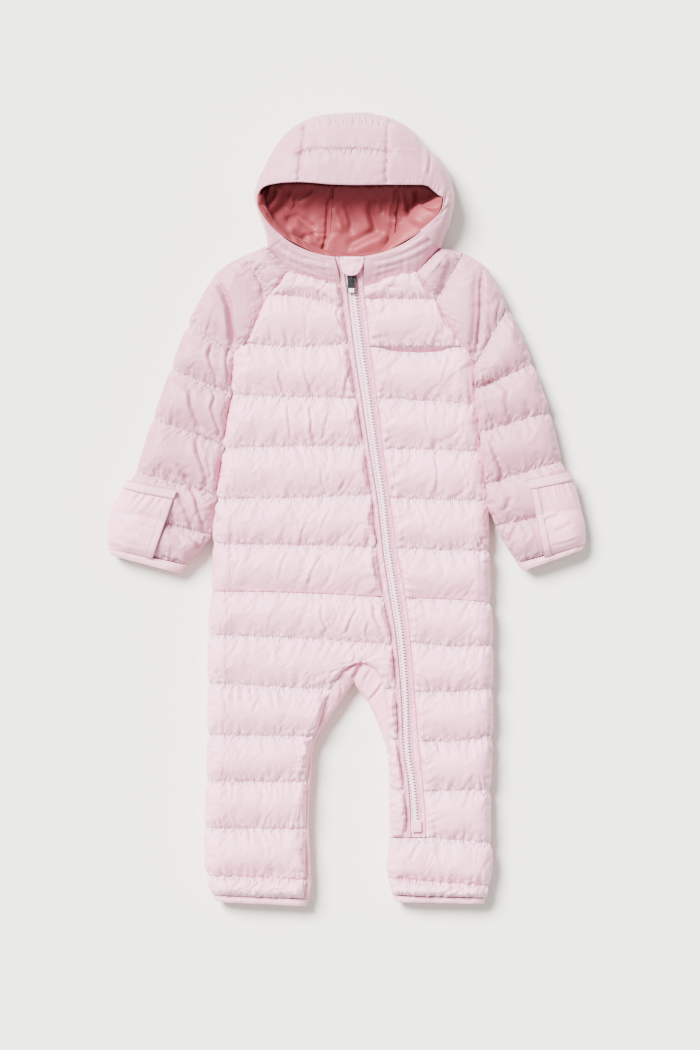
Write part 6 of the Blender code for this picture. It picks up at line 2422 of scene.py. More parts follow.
    def skin(self, name: str, first: int, last: int, puckers: Puckers, seed: int) -> None:
        """One padded panel of the hood.

        Args:
            name: the node it replaces.
            first: row of its first edge.
            last: row of its last edge.
            puckers: the small folds along its stitching.
            seed: number of its random values.
        """
        rows = self.panel_rows(first, last, 1.25)
        points, normals, share = self.sections(rows, first, last, SKIN_SEAMS, (61, 7, 4))
        x, y, z = points[..., 0], points[..., 1], points[..., 2]
        wide, high = HOOD["outer_x"](rows), HOOD["outer_y"](rows)
        reach = np.hypot(wide - HOOD["rim_x"](rows), high - HOOD["rim_y"](rows))[:, None]
        along = running_length(np.hypot(np.diff(wide), np.diff(high)))[:, None] + 0 * share
        quilted = self.quilted(rows)
        top = share <= 1.25
        height = np.zeros(share.shape)
        nearest = np.full(share.shape, FAR)
        followed = along.copy()
        for number, line in enumerate(self.lines):
            away = (share - line) * reach * 1.12
            lane = np.where(away > 0, seed + number * 2, seed + number * 2 + 1)
            height += puckers.shape(Stitching(away, along, lane, 0.9)) * quilted
            height -= 1.2 * bell(away / 2.2) * quilted
            away = np.where(first == CROWN[0], np.abs(away), FAR)
            nearest = np.minimum(away, nearest)
        grain = Grain(seed)
        from_seam = []
        if first > 0:
            from_seam.append(along)
        if last < len(HOOD.key) - 1:
            from_seam.append(along[-1:] - along)
        for number, away in enumerate(from_seam):
            lane = np.full(away.shape, seed + 20 + number)
            height += puckers.shape(Stitching(away, share * reach, lane, 1.3))
            height -= 2.6 * bell(away / 2.4) * ramp((1.02 - share) / 0.18)
        rim = share * reach * np.clip(reach / 30, 0.4, 1)
        height += 0.55 * puckers.shape(Stitching(rim, along, np.full(rim.shape, seed + 40)))
        soft = 0.6 * grain(along / 17.0 + 0.8 * grain(share * 5.0, 2), 5)
        height += soft * ramp(share * 4)
        height += 0.2 * grain(along / 7.0 + share * 3.0, 7) * ramp(share * 5)
        for crease in HOOD_CREASES:
            height += crease.height(x, y) * (z > self.widest_z - 1)
        height *= ramp((1.45 - share) / 0.3) * top
        height[:, 0] = 0.0
        if first == 0:
            points[0] += 1.6 * (points[0] - points[1])
        if last == len(HOOD.key) - 1:
            points[-1] += 1.6 * (points[-1] - points[-2])
        outer = points + normals * height[..., None]
        depth = np.minimum(self.wall, 2.0 + (self.wall - 2.0) * ramp(share / 0.3))
        inner = points - normals * depth[..., None]
        edge = -normals[:, :1] * 1.0
        lip = outer[:, :1] + edge
        spread = outer[:, :1, :2] - outer[:, 1:2, :2]
        spread = spread / np.maximum(np.linalg.norm(spread, axis=-1, keepdims=True), 1e-9)
        lip[..., :2] += spread * 0.7
        outer = np.concatenate([lip, outer], axis=1)
        inner = np.concatenate([inner[:, :1], inner], axis=1)
        inner[:, 0] = lip[:, 0] - normals[:, 0] * 0.6
        nearest = np.where(share < 1.3, nearest, FAR)
        seam = np.stack([followed, nearest], -1)
        seam = np.concatenate([seam[:, :1], seam], axis=1)
        # the hood takes the darker copy of the shell cloth, as painted shade
        made = self.bolt.shell(f"quilted_{name}", outer, inner, self.finishes.deep, 1.2, seam)
        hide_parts(name)

    def lining(self, name: str, first: int, last: int, seed: int) -> None:
        """One panel of the lining, loose and folded where it lies on the hood's back.

        Args:
            name: the node it replaces.
            first: row of its first edge.
            last: row of its last edge.
            seed: number of its random values.
        """
        rows = self.panel_rows(first, last, 1.5)
        points, normals, share = self.sections(rows, first, last, LINING_FEET, (9, 3, 74))
        thin = ramp(share / 0.3)
        depth = 2.5 + 5.5 * thin
        x, y = points[..., 0], points[..., 1]
        flat = ramp((share - 1.52) / 0.1)
        grain = Grain(seed)
        height = np.zeros(share.shape)
        for crease in LINING_CREASES:
            fold = Crease(crease.path, crease.depth * 2.6, crease.width * 2.3, crease.lip * 2.2)
            height += fold.height(x, y)
        soft = 2.6 * grain(x / 17.0 + 0.5 * grain(y / 22.0, 1), 2)
        soft += 0.8 * grain((x + 0.5 * y) / 8.0 + 0.6 * grain(y / 12.0, 4), 3)
        height += soft * ramp((y - 170) / 10)
        for path in LINING_SEAMS:
            signed, _ = polyline_distance(x, y, path)
            height -= 3.2 * bell(signed / 1.6)
            tuck = 1.6 * np.abs(grain(y / 4.2, 8)) - 0.6
            height += 1.4 * tuck * bell((signed - 3.0) / 4.0)
        at = np.linspace(0.0, 24.0, 120)
        rim = list(zip(HOOD["rim_x"](at), HOOD["rim_y"](at)))
        inside, _ = polyline_distance(np.array([[346.0]]), np.array([[220.0]]), rim)
        signed, _ = polyline_distance(x, y, rim)
        signed = signed * np.sign(inside[0, 0])
        lift = 13.0 * np.exp(-((signed / 17.0) ** 2)) * ramp((signed + 7.0) / 7.0)
        height = (np.maximum(height, -5.0) + 4.0 + lift) * flat
        ends = bell((x - 252.0) / 26.0) + 0.8 * bell((x - 448.0) / 22.0)
        corner = bell((y - 205.0) / 24.0) * ends
        bowl = 6.0 + 34.0 * np.exp(-np.maximum(signed, 0.0) / 11.0) * corner
        bowl += 2.0 * grain((x + y) / 7.0, 9) * corner
        low = points[..., 2] - normals[..., 2] * depth + height
        height += np.maximum(bowl - low, 0.0) * ramp(signed / 2.0)
        visible = points - normals * (depth + 1.2)[..., None]
        hidden = points - normals * depth[..., None]
        visible[..., 2] += height
        hidden[..., 2] += height
        made = self.bolt.shell(f"satin_{name}", visible, hidden, self.finishes.lining)
        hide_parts(name)
        declare_sheet(made, visible)

    def facing(self) -> None:
        """Satin facing on the inside of the collar, from its rim down to the lining."""
        rim = np.array(FACING_RIM)
        width = np.array(FACING_WIDTH)
        length = running_length(np.hypot(*np.diff(rim, axis=0).T))
        at = np.linspace(0, length[-1], odd_count(float(length[-1]), 1.4))
        x, y = (Curve(length, rim[:, i])(at) for i in (0, 1))
        wide = Curve(length, width)(at)
        dx, dy = np.gradient(x), np.gradient(y)
        unit = np.stack([dy, -dx], -1) / np.hypot(dx, dy)[:, None]
        v = np.linspace(0.0, 1.0, 17)
        grain = Grain(77)
        sag = v[None, :] ** 0.75
        top_z = Curve(length, np.array(FACING_TOP))(at)[:, None]
        grid = np.zeros((len(at), len(v), 3))
        grid[..., 0] = x[:, None] + unit[:, :1] * wide[:, None] * sag
        grid[..., 1] = y[:, None] + unit[:, 1:] * wide[:, None] * sag
        drop = 9.0 * v[None, :] ** 1.4
        free = np.sin(math.pi * v)[None, :]
        folds = 1.7 * grain(at[:, None] / 6.0 + v[None, :], 1) * free
        folds = folds + 0.7 * grain(at[:, None] / 15.0, 3) * free
        grid[..., 2] = top_z - drop + folds
        lower = grid.copy()
        lower[..., 2] -= 1.0
        made = self.bolt.shell("satin_collar_facing", grid, lower, self.finishes.lining)
        declare_sheet(made, grid)

    def make(self) -> None:
        """Make the hood's panels, the lining and the facing."""
        taut = Puckers(loose=0.35)
        end = len(HOOD.key) - 1
        self.skin("hood_side_right", 0, CROWN[0], taut, 1200)
        self.skin("hood_centre", *CROWN, taut, 1300)
        self.skin("hood_side_left", CROWN[1], end, taut, 1400)
        self.lining("hood_lining_right", 0, LINING_CROWN[0], 71)
        self.lining("hood_lining_centre", *LINING_CROWN, 73)
        self.lining("hood_lining_left", LINING_CROWN[1], end, 79)
        self.facing()


HOOD_CREASES = crease_rows(
    (1.6, 1.6, -1.6, 267.5, 162, 268.5, 171, 268, 182),
    (2.0, 1.6, 1.8, 428.5, 146, 430, 160, 428, 178),
    (1.8, 1.8, 1.4, 447, 193, 444, 205, 440, 216),
    (1.2, 1.4, 1.0, 453, 200, 446, 210, 438, 218),
    (1.2, 1.8, 0.9, 441, 172, 447, 184, 449, 196),
    (1.0, 1.6, 0.9, 262, 178, 259.5, 190, 259, 202),
    (1.6, 1.6, 1.2, 281, 146, 290, 150, 302, 152),
    (1.2, 1.3, 1.0, 286, 136, 294, 139, 303, 140),
    (1.0, 1.2, 0.8, 292, 128, 298, 131, 304, 131),
    (1.4, 1.5, 1.0, 391, 150, 402, 148, 416, 150),
    (1.0, 1.3, 0.8, 392, 140, 402, 138, 412, 140),
)
LINING_CREASES = crease_rows(
    (1.6, 1.5, 1.4, 275, 188, 270, 200, 262, 208),
    (2.0, 1.6, 1.6, 290, 187, 283, 205, 268, 222),
    (1.2, 1.3, 1.0, 300, 190, 296, 199, 303, 196, 315, 187),
    (1.8, 1.6, 1.6, 283, 222, 297, 217, 310, 226, 318, 228),
    (1.6, 1.7, 1.3, 345, 200, 352, 222, 349, 236),
    (1.0, 1.4, 0.8, 337, 205, 343, 218, 346, 232),
    (1.5, 1.6, 1.2, 375, 196, 371, 212, 377, 232),
    (1.0, 1.3, 0.8, 385, 195, 383, 215),
    (1.3, 1.8, 1.1, 345, 247, 365, 236, 385, 228),
    (1.4, 1.4, 1.2, 398, 190, 397, 215, 402, 222),
    (1.2, 1.4, 1.0, 407, 190, 408, 205, 412, 215),
    (1.4, 1.5, 1.2, 415, 188, 418, 200, 408, 216),
    (1.0, 1.4, 0.8, 300, 244, 306, 236, 318, 232),
)
LINING_SEAMS = (
    (
        (332.6, 188.0), (331.0, 197.0), (328.0, 202.0), (327.0, 220.0), (326.4, 237.0),
        (322.0, 252.0),
    ),
    ((396.0, 188.0), (394.5, 196.0), (392.0, 212.5), (391.5, 228.0), (388.0, 249.0)),
)
FACING_RIM = (
    (257.6, 196.0), (257.8, 205.0), (261.2, 213.8), (270.0, 226.0), (282.4, 237.0), (295.0, 244.0),
    (307.0, 250.0), (322.0, 255.2), (339.0, 256.4), (352.0, 256.8), (366.0, 256.4), (380.0, 255.2),
    (389.0, 251.4), (398.0, 245.6), (414.0, 236.4), (428.4, 224.8), (436.8, 216.8), (441.0, 206.0),
    (442.0, 199.0),
)
FACING_WIDTH = (
    6.0, 8.0, 8.0, 7.0, 7.0, 7.0, 6.5, 5.5, 4.0, 3.2, 3.5, 4.5, 7.0, 11.0, 17.0, 22.0, 20.0, 14.0,
    6.0,
)
FACING_TOP = (
    46.5, 45.0, 43.0, 40.5, 37.6, 35.0, 34.0, 33.8, 33.8, 33.8, 33.8, 33.8, 33.8, 33.8, 35.0, 38.5,
    41.5, 43.5, 44.5,
)


@dataclass(frozen=True)
class CollarRim:
    """Where a collar's rim and foot run."""

    side_x: float
    side_y: float
    mid_x: float
    mid_y: float
    zip_y: float
    foot_x: float


@dataclass
class Collars:
    """Padded collar fronts below the face opening."""

    bolt: Bolt
    finishes: Finishes
    right: CollarRim = CollarRim(282.6, 237.6, 307.0, 251.2, 257.2, 267.8)
    left: CollarRim = CollarRim(421.2, 231.4, 396.0, 248.2, 257.0, 440.4)
    rim_z: float = 36.0
    neck_y: float = 285.6

    def make(self) -> None:
        """Make both collar fronts."""
        for side, rim in ((Side.RIGHT, self.right), (Side.LEFT, self.left)):
            surface = self.surface(side, rim)
            # the collar takes the darker copy of the shell cloth, as painted shade
            made = self.bolt.panel(
                f"quilted_collar_{side.word}", [surface], FRONT_LOW, self.finishes.deep
            )
            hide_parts(f"collar_{side.word}")

    def surface(self, side: Side, rim: CollarRim) -> Surface:
        """Outer face of one collar front, with its soft wrinkles along the rim.

        Args:
            side: which collar.
            rim: where it runs.

        Returns:
            Its outer face.
        """
        t = np.linspace(0.0, 1.0, 83)[:, None]
        v = np.linspace(0.0, 1.0, 41)[None, :]
        end_x = float(ZIP[side.zip_edge](rim.zip_y)) - side.inwards * GAP
        neck_end = float(ZIP[side.zip_edge](self.neck_y)) - side.inwards * GAP
        bow = 4 * t * (1 - t)
        rim_x = rim.side_x + (end_x - rim.side_x) * t + (rim.mid_x - (rim.side_x + end_x) / 2) * bow
        rim_y = rim.side_y + (rim.zip_y - rim.side_y) * t
        rim_y = rim_y + (rim.mid_y - (rim.side_y + rim.zip_y) / 2) * bow
        neck_x = rim.foot_x + (neck_end - rim.foot_x) * t
        low_y = NECK["y"](neck_x) - GAP
        x, y = rim_x + (neck_x - rim_x) * v, rim_y + (low_y - rim_y) * v
        x[-1] = ZIP[side.zip_edge](y[-1]) - side.inwards * GAP
        neck_rise = EDGE_RISE + (SEAM_RISE + 2.0 - EDGE_RISE) * rounding(t, 0.3)
        rim_rise = self.rim_z - FRONT_LOW
        z = rim_rise + (neck_rise - rim_rise) * v**1.3
        z = z + 3.0 * np.sin(math.pi * v) * np.minimum(1.0, t * 4)
        roll = np.maximum(14.0 + 24.0 * np.sqrt(np.maximum(0.0, 1 - v**2.4)) - FRONT_LOW, 0.1)
        join = ramp(1 - t / 0.4)
        join = join * join * (3 - 2 * join)
        z = z + (roll - z) * join
        grain = Grain(91 if side is Side.RIGHT else 97)
        depth = np.hypot(rim_x - neck_x, rim_y - low_y)
        away = v * depth
        down = away / 5.2 + 0.9 * grain(t * 5.0, 1) + 0.4 * grain(t * 13.0, 2)
        wrinkle = 1.1 * grain(down, 3) + 0.5 * grain(down * 2.1 + 0.7 * grain(t * 9.0, 4), 5)
        fade = ramp(v * 6) * ramp((1 - v) * 5)
        fade = fade * ramp(t * 9) * np.clip((1 - t) * 12, 0.15, 1)
        z = z + 0.4 * wrinkle * fade
        for crease in COLLAR_CREASES:
            z = z + crease.height(x, y) * ramp(v * 8) * ramp((1 - v) * 8)
        along = t * 90.0 + 0 * v
        lane = np.full(z.shape, 1500 if side is Side.RIGHT else 1550)
        tucks = Puckers().shape(Stitching((1 - v) * depth, along, lane, 0.6))
        z = z + tucks * ramp((1 - t) * 9)
        z = z - 0.4 * bell((away - 4.2) / 1.1) * ramp(t * 9)
        z[:, 0] = rim_rise - 0.8
        points = np.stack([x, y, FRONT_LOW + np.maximum(z, 0.05)], axis=-1)
        foot = points[:, -1, :2] - points[:, -3, :2]
        points[:, -1, :2] += 0.55 * foot / np.linalg.norm(foot, axis=1, keepdims=True)
        made = Surface.bare(points)
        made.settle_direction()
        return made


COLLAR_CREASES = crease_rows(
    (1.5, 2.6, 0.9, 268, 237, 284, 250, 303, 258.6, 325, 263, 337, 264),
    (1.1, 2.2, 0.7, 272, 250, 290, 262, 312, 269.5, 337, 273),
    (0.8, 1.6, 0.6, 290, 246.5, 306, 254, 322, 259),
    (0.7, 1.4, 0.6, 298, 267, 318, 274, 338, 279),
    (1.5, 2.6, 0.9, 441, 232, 427, 243, 409, 253, 388, 260, 366, 264),
    (1.0, 2.2, 0.7, 434, 247, 418, 257, 398, 265, 370, 272),
    (0.8, 1.6, 0.6, 424, 234, 408, 245, 390, 253.5),
    (0.7, 1.4, 0.6, 402, 268.5, 386, 274, 368, 279.5),
)


def softened_block(size: Sequence[float], offset: float, segments: int) -> bpy.types.Object:
    """Block at the origin with bevelled edges.

    Args:
        size: its three sides.
        offset: width of the bevels.
        segments: steps of each bevel.

    Returns:
        The block.
    """
    for thing in bpy.context.selected_objects:
        thing.select_set(False)
    bpy.ops.mesh.primitive_cube_add(size=1.0, location=(0, 0, 0))
    block = bpy.context.active_object
    block.scale = size
    bpy.ops.object.transform_apply(location=False, rotation=False, scale=True)
    bpy.ops.object.mode_set(mode="EDIT")
    bpy.ops.mesh.select_all(action="SELECT")
    bpy.ops.mesh.bevel(offset=offset, segments=segments)
    bpy.ops.object.mode_set(mode="OBJECT")
    return block


@dataclass
class ZipFront:
    """Zip with its strips, tape, teeth, slider, garage and stop."""

    bolt: Bolt
    finishes: Finishes
    top: float = 257.6
    end: float = 836.6
    pitch: float = 3.0
    hinge: tuple[float, float, float] = (351.4, 279.6, 32.6)
    tilt: float = 0.27
    aside: float = -0.6  # shift of the teeth from the chain's middle line
    bare: Point = (13.5, 11.0)  # length without teeth at the top and at the foot
    tooth_z: float = 24.35
    tooth_size: tuple[float, float, float] = (4.3, 1.45, 1.6)
    tooth_head: float = 1.2  # where along a tooth its wider head starts
    tooth_shift: float = 0.7  # how far a tooth's middle stands to its own side
    core: tuple[float, float, float] = (2.7, 22.9, 23.5)  # half width, foot and top of the dark strip painted as the shade between the teeth
    strip: Point = (24.6, 2.2)  # top and thickness of the strips
    tape: Point = (22.6, 1.2)  # the same of the tape
    guard: tuple[float, float, float] = (352.4, 37.8, 19.2)  # garage's x, top and length
    tab: tuple[Point, Point] = ((410.8, 421.4), (820.4, 831.4))  # the stop's x and y
    tab_z: Point = (27.3, 25.8)  # top and foot of the stop

    def along(
        self,
        name: str,
        left: tuple[str, float],
        right: tuple[str, float],
        level: Point,
        shape: Callable[[Array, Array, Array], Array],
        material: bpy.types.Material,
        columns: int = 13,
    ) -> tuple[bpy.types.Object, Array]:
        """Band that follows the zip between two edges.

        Args:
            name: its name.
            left: zip column of its left edge and a shift from it.
            right: the same for its right edge.
            level: height of its top and its thickness.
            shape: height over the top, for a share across, a y and the width in mm.
            material: its finish.
            columns: points across.

        Returns:
            The piece and its outer grid.
        """
        y = np.linspace(self.top, self.end, odd_count(self.end - self.top, 1.5))[:, None]
        a = ZIP[left[0]](y) + left[1]
        b = ZIP[right[0]](y) + right[1]
        share = np.linspace(0.0, 1.0, columns)[None, :]
        x = a + (b - a) * share
        lift, (top_z, thick) = ZIP["lift"](y), level
        z = top_z + lift + shape(share, y, b - a)
        outer = np.stack([x, y + 0 * share, z], -1)
        inner = np.stack([x, y + 0 * share, top_z - thick + lift + 0 * share], -1)
        edge = np.minimum(share, 1 - share) * (b - a) - 0.9
        seam = np.stack([y + 0 * share + 1000.0 * (share > 0.5), edge], -1)
        return self.bolt.shell(name, outer, inner, material, 1.2, seam), outer

    def strips(self) -> list[Array]:
        """Cloth strips on both sides of the teeth, and the tape between them.

        Returns:
            The strips' outer grids.
        """
        grain = Grain(101)

        def edging(share: Array, y: Array, width: Array) -> Array:
            """Rounded strip with a row of stitches near each edge.

            Args:
                share: place across it.
                y: place down it.
                width: its width.

            Returns:
                Height over the top.
            """
            d = np.minimum(share, 1 - share) * width
            rounded = -1.1 * (1 - rounding(d, 2.2))
            groove = -0.75 * bell((d - 2.4) / 0.7)
            slant = y + 0.9 * (share - 0.5) * width
            pucker = 0.5 * np.sin(2 * math.pi * slant / 4.6 + 2.5 * grain(y / 23.0, 1))
            pucker = pucker * bell((d - 1.6) / 1.5)
            soft = 0.45 * grain(y / 8.0 + share * 0.8, 2) + 0.3 * grain(y / 3.6 + share, 3)
            return rounded + groove + (pucker + soft) * ramp(d / 1.6)

        def plain(share: Array, y: Array, _: Array) -> Array:
            """Flat tape with a slight ripple."""
            return 0.12 * grain(y / 4.0 + share, 5) - 0.1 + 0 * share

        cloth, weave = self.finishes.plain, self.finishes.tape
        right, grid_right = self.along(
            "stitched_strip_right", ("strip", 0.0), ("tape", 0.0), self.strip, edging, cloth
        )
        left, grid_left = self.along(
            "stitched_strip_left", ("chain", 4.2), ("left", 0.0), self.strip, edging, cloth
        )
        tape, grid_tape = self.along(
            "woven_zip_tape", ("tape", 0.3), ("chain", 3.9), self.tape, plain, weave, 7
        )
        for made, node, grid in (
            (right, "zip_strip_right", grid_right), (left, "zip_strip_left", grid_left),
            (tape, "zip_tape", grid_tape),
        ):
            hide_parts(node)
            declare_sheet(made, grid)
        return [grid_right, grid_left]

    def tooth(self) -> tuple[Array, list[list[int]]]:
        """Shape of one tooth, modelled once.

        Returns:
            Its points and faces.
        """
        block = softened_block(self.tooth_size, 0.34, 1)
        points = np.array([v.co[:] for v in block.data.vertices])
        faces = [list(p.vertices) for p in block.data.polygons]
        head = points[:, 0] > self.tooth_head
        points[head, 1] *= 1.25
        points[~head, 1] *= 0.85
        mesh = block.data
        bpy.data.objects.remove(block)
        bpy.data.meshes.remove(mesh)
        return points, faces

    def teeth(self) -> None:
        """Two rows of moulded teeth that mesh along the middle, on a dark strip painted as the
        shade in the gaps between them.
        """
        shape, corners = self.tooth()
        start, stop = self.top + self.bare[0], self.end - self.bare[1]
        points, faces, count = [], [], 0
        number = int((stop - start) / self.pitch)
        for i in range(2 * number):
            y = start + i * self.pitch / 2
            side = -1.0 if i % 2 else 1.0
            x = float(ZIP["chain"](y)) + self.aside
            slope = float(ZIP["chain"](y + 1) - ZIP["chain"](y - 1)) / 2
            turn = np.array([[1.0, -slope], [slope, 1.0]])
            place = shape.copy()
            place[:, 0] = (place[:, 0] + self.tooth_shift) * side
            place[:, :2] = place[:, :2] @ turn
            z = self.tooth_z + float(ZIP["lift"](y))
            points.append(place + np.array([x, y, z]))
            faces += [[count + c for c in (f if side < 0 else f[::-1])] for f in corners]
            count += len(shape)
        moulded = len(faces)
        rows = np.arange(start - 1.0, stop + 1.0, self.pitch)
        middle, lift = ZIP["chain"](rows) + self.aside, ZIP["lift"](rows)
        half, foot, top = self.core
        ring = (-half, top), (half, top), (half, foot), (-half, foot)
        core = [np.stack([middle + across, rows, level + lift], -1) for across, level in ring]
        points.append(np.stack(core, 1).reshape(-1, 3))
        for i in range(len(rows) - 1):
            for a, b in ((0, 1), (1, 2), (2, 3), (3, 0)):
                faces.append([count + 4 * i + k for k in (a, a + 4, b + 4, b)])
        faces.append([count + k for k in range(4)])
        faces.append([count + 4 * len(rows) - 1 - k for k in range(4)])
        made = self.bolt.piece(
            "moulded_zip_teeth", np.concatenate(points), faces, self.finishes.teeth, sharp=0.6
        )
        made.data.materials.append(self.finishes.core)
        for face in made.data.polygons[moulded:]:
            face.material_index = 1
        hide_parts("zip_chain")

    def inset(
        self,
        name: str,
        size: tuple[float, float, float],
        along: float,
        material: bpy.types.Material,
    ) -> None:
        """Softened block set in the pull.

        Args:
            name: its name.
            size: width, length and thickness in mm.
            along: how far from the hinge its middle lies, in mm.
            material: its finish.
        """
        block = softened_block([side * MM for side in size], 0.22 * size[2] * MM, 3)
        block.name = name
        cos, sin = math.cos(self.tilt), math.sin(self.tilt)
        hx, hy, hz = metres(np.array(self.hinge))
        for vertex in block.data.vertices:
            x, y, z = vertex.co
            y -= along * MM
            vertex.co = (hx + x, hy + y * cos - z * sin, hz + y * sin + z * cos)
        block.data.materials.clear()
        block.data.materials.append(material)
        block.data.shade_smooth()
        block.data.set_sharp_from_angle(angle=0.7)
        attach(block, "zip_pull")

    def garage(self) -> Array:
        """Small chin guard over the slider, curved along its lower edge.

        Returns:
            Its outer grid.
        """
        v = np.linspace(0.0, 1.0, 31)[:, None]
        u = np.linspace(-1.0, 1.0, 33)[None, :]
        middle, top_z, length = self.guard
        half = 12.0 - 5.6 * v**3
        y = self.top + (length - 1.8 * u * u) * v
        x = middle - 1.4 * v + half * u
        z = top_z - 0.4 * v - 1.6 * u * u * v
        grain = Grain(111)
        edge = np.minimum(np.minimum((1 - np.abs(u)) * half, (1 - v) * length), 9.0)
        height = -0.9 * (1 - rounding(edge, 1.8)) - 0.6 * bell((edge - 2.8) / 0.6)
        height = height + 0.35 * grain(u * 4.0 + v * 1.5, 1) + 0.3 * grain(v * 5.0 + u, 2)
        height = height + 0.8 * bell((v - 0.12) / 0.1) * (1 - u * u)
        outer = np.stack([x + 0 * v, y, z + height], -1)
        inner = np.stack([x + 0 * v, y, z - 1.6], -1)
        made = self.bolt.shell("folded_zip_garage", outer, inner, self.finishes.plain, 1.2)
        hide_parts("zip_garage")
        declare_sheet(made, outer)
        return outer

    def stop(self) -> None:
        """Stitched tab over the zip's lower end."""
        (left, right), (high, low) = self.tab
        y = np.linspace(high, low, 13)[:, None]
        x = np.linspace(left, right, 13)[None, :]
        edge = np.minimum(np.minimum(y - high, low - y), np.minimum(x - left, right - x))
        z = self.tab_z[0] - 0.5 * (1 - rounding(edge, 1.4)) - 0.4 * bell((edge - 2.0) / 0.6)
        outer = np.stack([x + 0 * y, y + 0 * x, z], -1)
        inner = outer.copy()
        inner[..., 2] = self.tab_z[1]
        made = self.bolt.shell("stitched_zip_stop", outer, inner, self.finishes.plain, 1.2)
        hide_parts("zip_stop")
        declare_sheet(made, outer)

    def make(self) -> list[Array]:
        """Make the whole zip and give the grids that carry topstitching.

        Returns:
            The grids.
        """
        grids = self.strips()
        self.teeth()
        self.inset("pull_web", (4.9, 8.6, 0.8), 4.9, self.finishes.metal)
        self.inset("pull_inlay", (5.9, 4.6, 2.1), 11.7, self.finishes.inlay)
        grids.append(self.garage())
        self.stop()
        for node in ("zip_slider", "zip_pull"):
            for slot in frame["nodes"][node].material_slots:
                slot.material = self.finishes.metal
        return grids


@dataclass
class Pocket:
    """Cloth bag seen in the chest pocket's slit."""

    bolt: Bolt
    finishes: Finishes

    def make(self) -> None:
        """Make the bag's visible strip."""
        x = np.linspace(POCKET_ENDS[0] + 2, POCKET_ENDS[1] - 2, 75)[:, None]
        v = np.linspace(0.0, 1.0, 9)[None, :]
        share = (x - POCKET_SEAM[0]) / (POCKET_SEAM[1] - POCKET_SEAM[0])
        sag = 4 * POCKET_SAG * share * (1 - share)
        y = POCKET_Y + (sag - 0.2) * v
        grain = Grain(131)
        z = FRONT_LOW + 8.0 - 4.6 * v**1.4 + (0.25 + 0.9 * v) * grain(x / 3.2 + v * 0.4, 1)
        outer = np.stack([x + 0 * v, y, z], -1)
        inner = outer.copy()
        inner[..., 2] = FRONT_LOW + 0.4
        # the bag's darker cloth paints the shade inside the slit
        made = self.bolt.shell("pocket_bag_cloth", outer, inner, self.finishes.shaded)
        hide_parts("pocket_bag")
        declare_sheet(made, outer)


@dataclass
class Needlework:
    """Visible thread along the stitched lines."""

    bolt: Bolt
    finishes: Finishes
    pitch: float = 3.2
    stitch: float = 2.1
    thick: float = 0.34

    def dashes(self, name: str, paths: Sequence[Array]) -> None:
        """Rows of separate stitches along some paths.

        Args:
            name: name of the piece.
            paths: drafted points along each row.
        """
        points, faces, count = [], [], 0
        ring = np.array([0.0, 0.5, 1.0, 1.5]) * math.pi
        for path in paths:
            length = running_length(np.linalg.norm(np.diff(path, axis=0), axis=1))
            for start in np.arange(1.0, length[-1] - self.stitch, self.pitch):
                at = start + self.stitch * np.array([0.0, 0.5, 1.0])
                line = np.stack([np.interp(at, length, path[:, i]) for i in range(3)], -1)
                line[:, 2] += np.array([-0.05, 0.22, -0.05])
                run = line[2] - line[0]
                run /= max(np.linalg.norm(run), 1e-9)
                side = np.cross(run, (0.0, 0.0, 1.0))
                side /= max(np.linalg.norm(side), 1e-9)
                up = np.cross(side, run)
                for centre, size in zip(line, (0.4, 1.0, 0.4)):
                    r = self.thick * size
                    around = np.cos(ring)[:, None] * side * r + np.sin(ring)[:, None] * up * r
                    points.append(centre + around)
                for k in (count, count + 4):
                    for j, n in ((0, 1), (1, 2), (2, 3), (3, 0)):
                        faces.append([k + j, k + n, k + 4 + n, k + 4 + j])
                faces.append([count + 3, count + 2, count + 1, count])
                faces.append([count + 8, count + 9, count + 10, count + 11])
                count += 12
        if points:
            made = self.bolt.piece(name, np.concatenate(points), faces, self.finishes.thread)

    def quilting(self, name: str, surfaces: Iterable[Surface]) -> None:
        """Stitches along every quilted line of some surfaces.

        Args:
            name: name of the piece.
            surfaces: the finished surfaces.
        """
        paths = []
        for surface in surfaces:
            for row in surface.lines:
                keep = surface.calm[row] < 0.5
                path = surface.points[row][keep][3:-3]
                if len(path) > 6:
                    paths.append(path)
        self.dashes(name, paths)

    def topstitching(self, name: str, grids: Sequence[Array], inset: float = 2.4) -> None:
        """Stitches near both long edges of some bands.

        Args:
            name: name of the piece.
            grids: the bands' outer grids.
            inset: distance of the stitches from the edge, in mm.
        """
        paths = []
        for band in grids:
            for grid in (band, band[:, ::-1]):
                width = np.linalg.norm(grid[:, -1] - grid[:, 0], axis=1)
                share = np.clip(inset / width, 0, 0.5) * (grid.shape[1] - 1)
                low = np.floor(share).astype(int)
                part = (share - low)[:, None]
                rows = np.arange(len(grid))
                paths.append(grid[rows, low] * (1 - part) + grid[rows, low + 1] * part)
        self.dashes(name, paths)


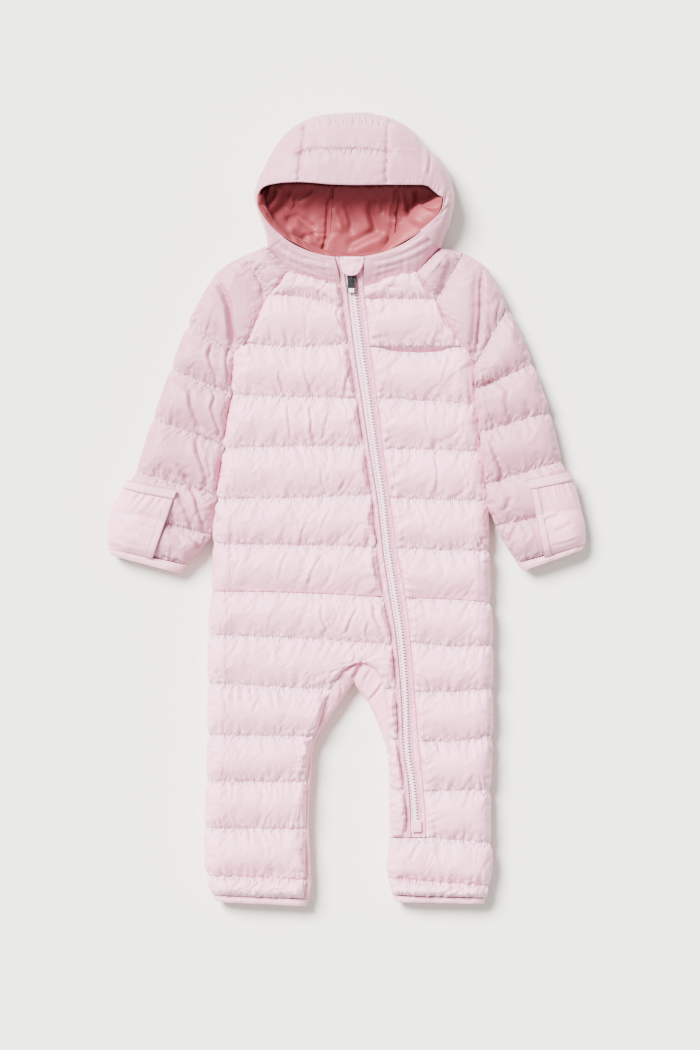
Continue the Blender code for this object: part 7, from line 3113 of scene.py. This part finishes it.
@dataclass
class Studio:
    """Floor, soft light and camera straight above the garment."""

    distance: float = 6.0
    view: tuple[float, float] = (0.0034, -0.0161)
    reach: float = 1.05
    level: float = 0.015
    sun: float = 16.3
    softness: float = 27.0  # degrees across the sun
    fill: float = 0.85

    def floor(self) -> None:
        """Plain pale floor under the garment."""
        for thing in bpy.context.selected_objects:
            thing.select_set(False)
        bpy.ops.mesh.primitive_plane_add(size=12.0, location=(0, 0, 0))
        floor = bpy.context.active_object
        floor.name = "studio_floor"
        values = {
            "Base Color": (0.89, 0.875, 0.79, 1.0), "Roughness": 0.9, "Specular IOR Level": 0.1
        }
        floor.data.materials.append(new_material("pale_floor", values)[0])

    def lamps(self) -> None:
        """Broad key from the upper left and an even fill from all round."""
        world = bpy.data.worlds.new("studio_fill")
        world.use_nodes = True
        fill = world.node_tree.nodes["Background"]
        fill.inputs["Color"].default_value = (0.925, 1.0, 0.965, 1.0)
        fill.inputs["Strength"].default_value = self.fill
        bpy.context.scene.world = world
        key = bpy.data.lights.new("key", "SUN")
        key.energy = self.sun
        key.color = (1.0, 0.992, 0.99)
        key.angle = math.radians(self.softness)
        lamp = bpy.data.objects.new("key", key)
        lamp.location = (-1.5, 1.5, 2.2)
        lamp.rotation_euler = Vector((-1.0, 1.0, 1.6)).to_track_quat("Z", "Y").to_euler()
        bpy.context.scene.collection.objects.link(lamp)

    def camera(self) -> None:
        """Camera that looks straight down."""
        data = bpy.data.cameras.new("camera")
        data.lens = 36.0 * (self.distance - self.level) / self.reach
        data.sensor_width = 36.0
        data.clip_end = 50.0
        camera = bpy.data.objects.new("camera", data)
        camera.location = (*self.view, self.distance)
        bpy.context.scene.collection.objects.link(camera)
        bpy.context.scene.camera = camera

    def set_up(self) -> None:
        """Put up the whole studio."""
        self.floor()
        self.lamps()
        self.camera()


def main() -> None:
    """Build the garment and its studio."""
    logging.basicConfig(level=logging.INFO, format="%(message)s")
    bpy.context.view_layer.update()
    bolt, puckers = Bolt(), Puckers()
    finishes = Finishes()
    body = BodyFront(bolt, finishes)
    body.cut()
    sleeves = Sleeves(bolt, finishes)
    sleeves.cut()
    tops = [[surface] for surface, _ in sleeves.tops.values()]
    Wadding().fill(list(body.pieces.values()) + tops)
    body.make(puckers)
    sleeves.make(puckers)
    BodyBack(bolt, finishes).make()
    Gusset(bolt, finishes).make()
    Bindings(bolt, finishes).make()
    Hood(bolt, finishes).make()
    Collars(bolt, finishes).make()
    grids = ZipFront(bolt, finishes).make()
    Pocket(bolt, finishes).make()
    needle = Needlework(bolt, finishes)
    fronts = [surface for surfaces in body.pieces.values() for surface in surfaces]
    needle.quilting("quilting_thread_body", fronts)
    needle.quilting("quilting_thread_sleeves", [surface for surface, _ in sleeves.tops.values()])
    needle.topstitching("topstitching_thread", grids)
    Studio().set_up()
    log.info("made %d pieces", len(bolt.made))


if __name__ == "__main__":
    main()
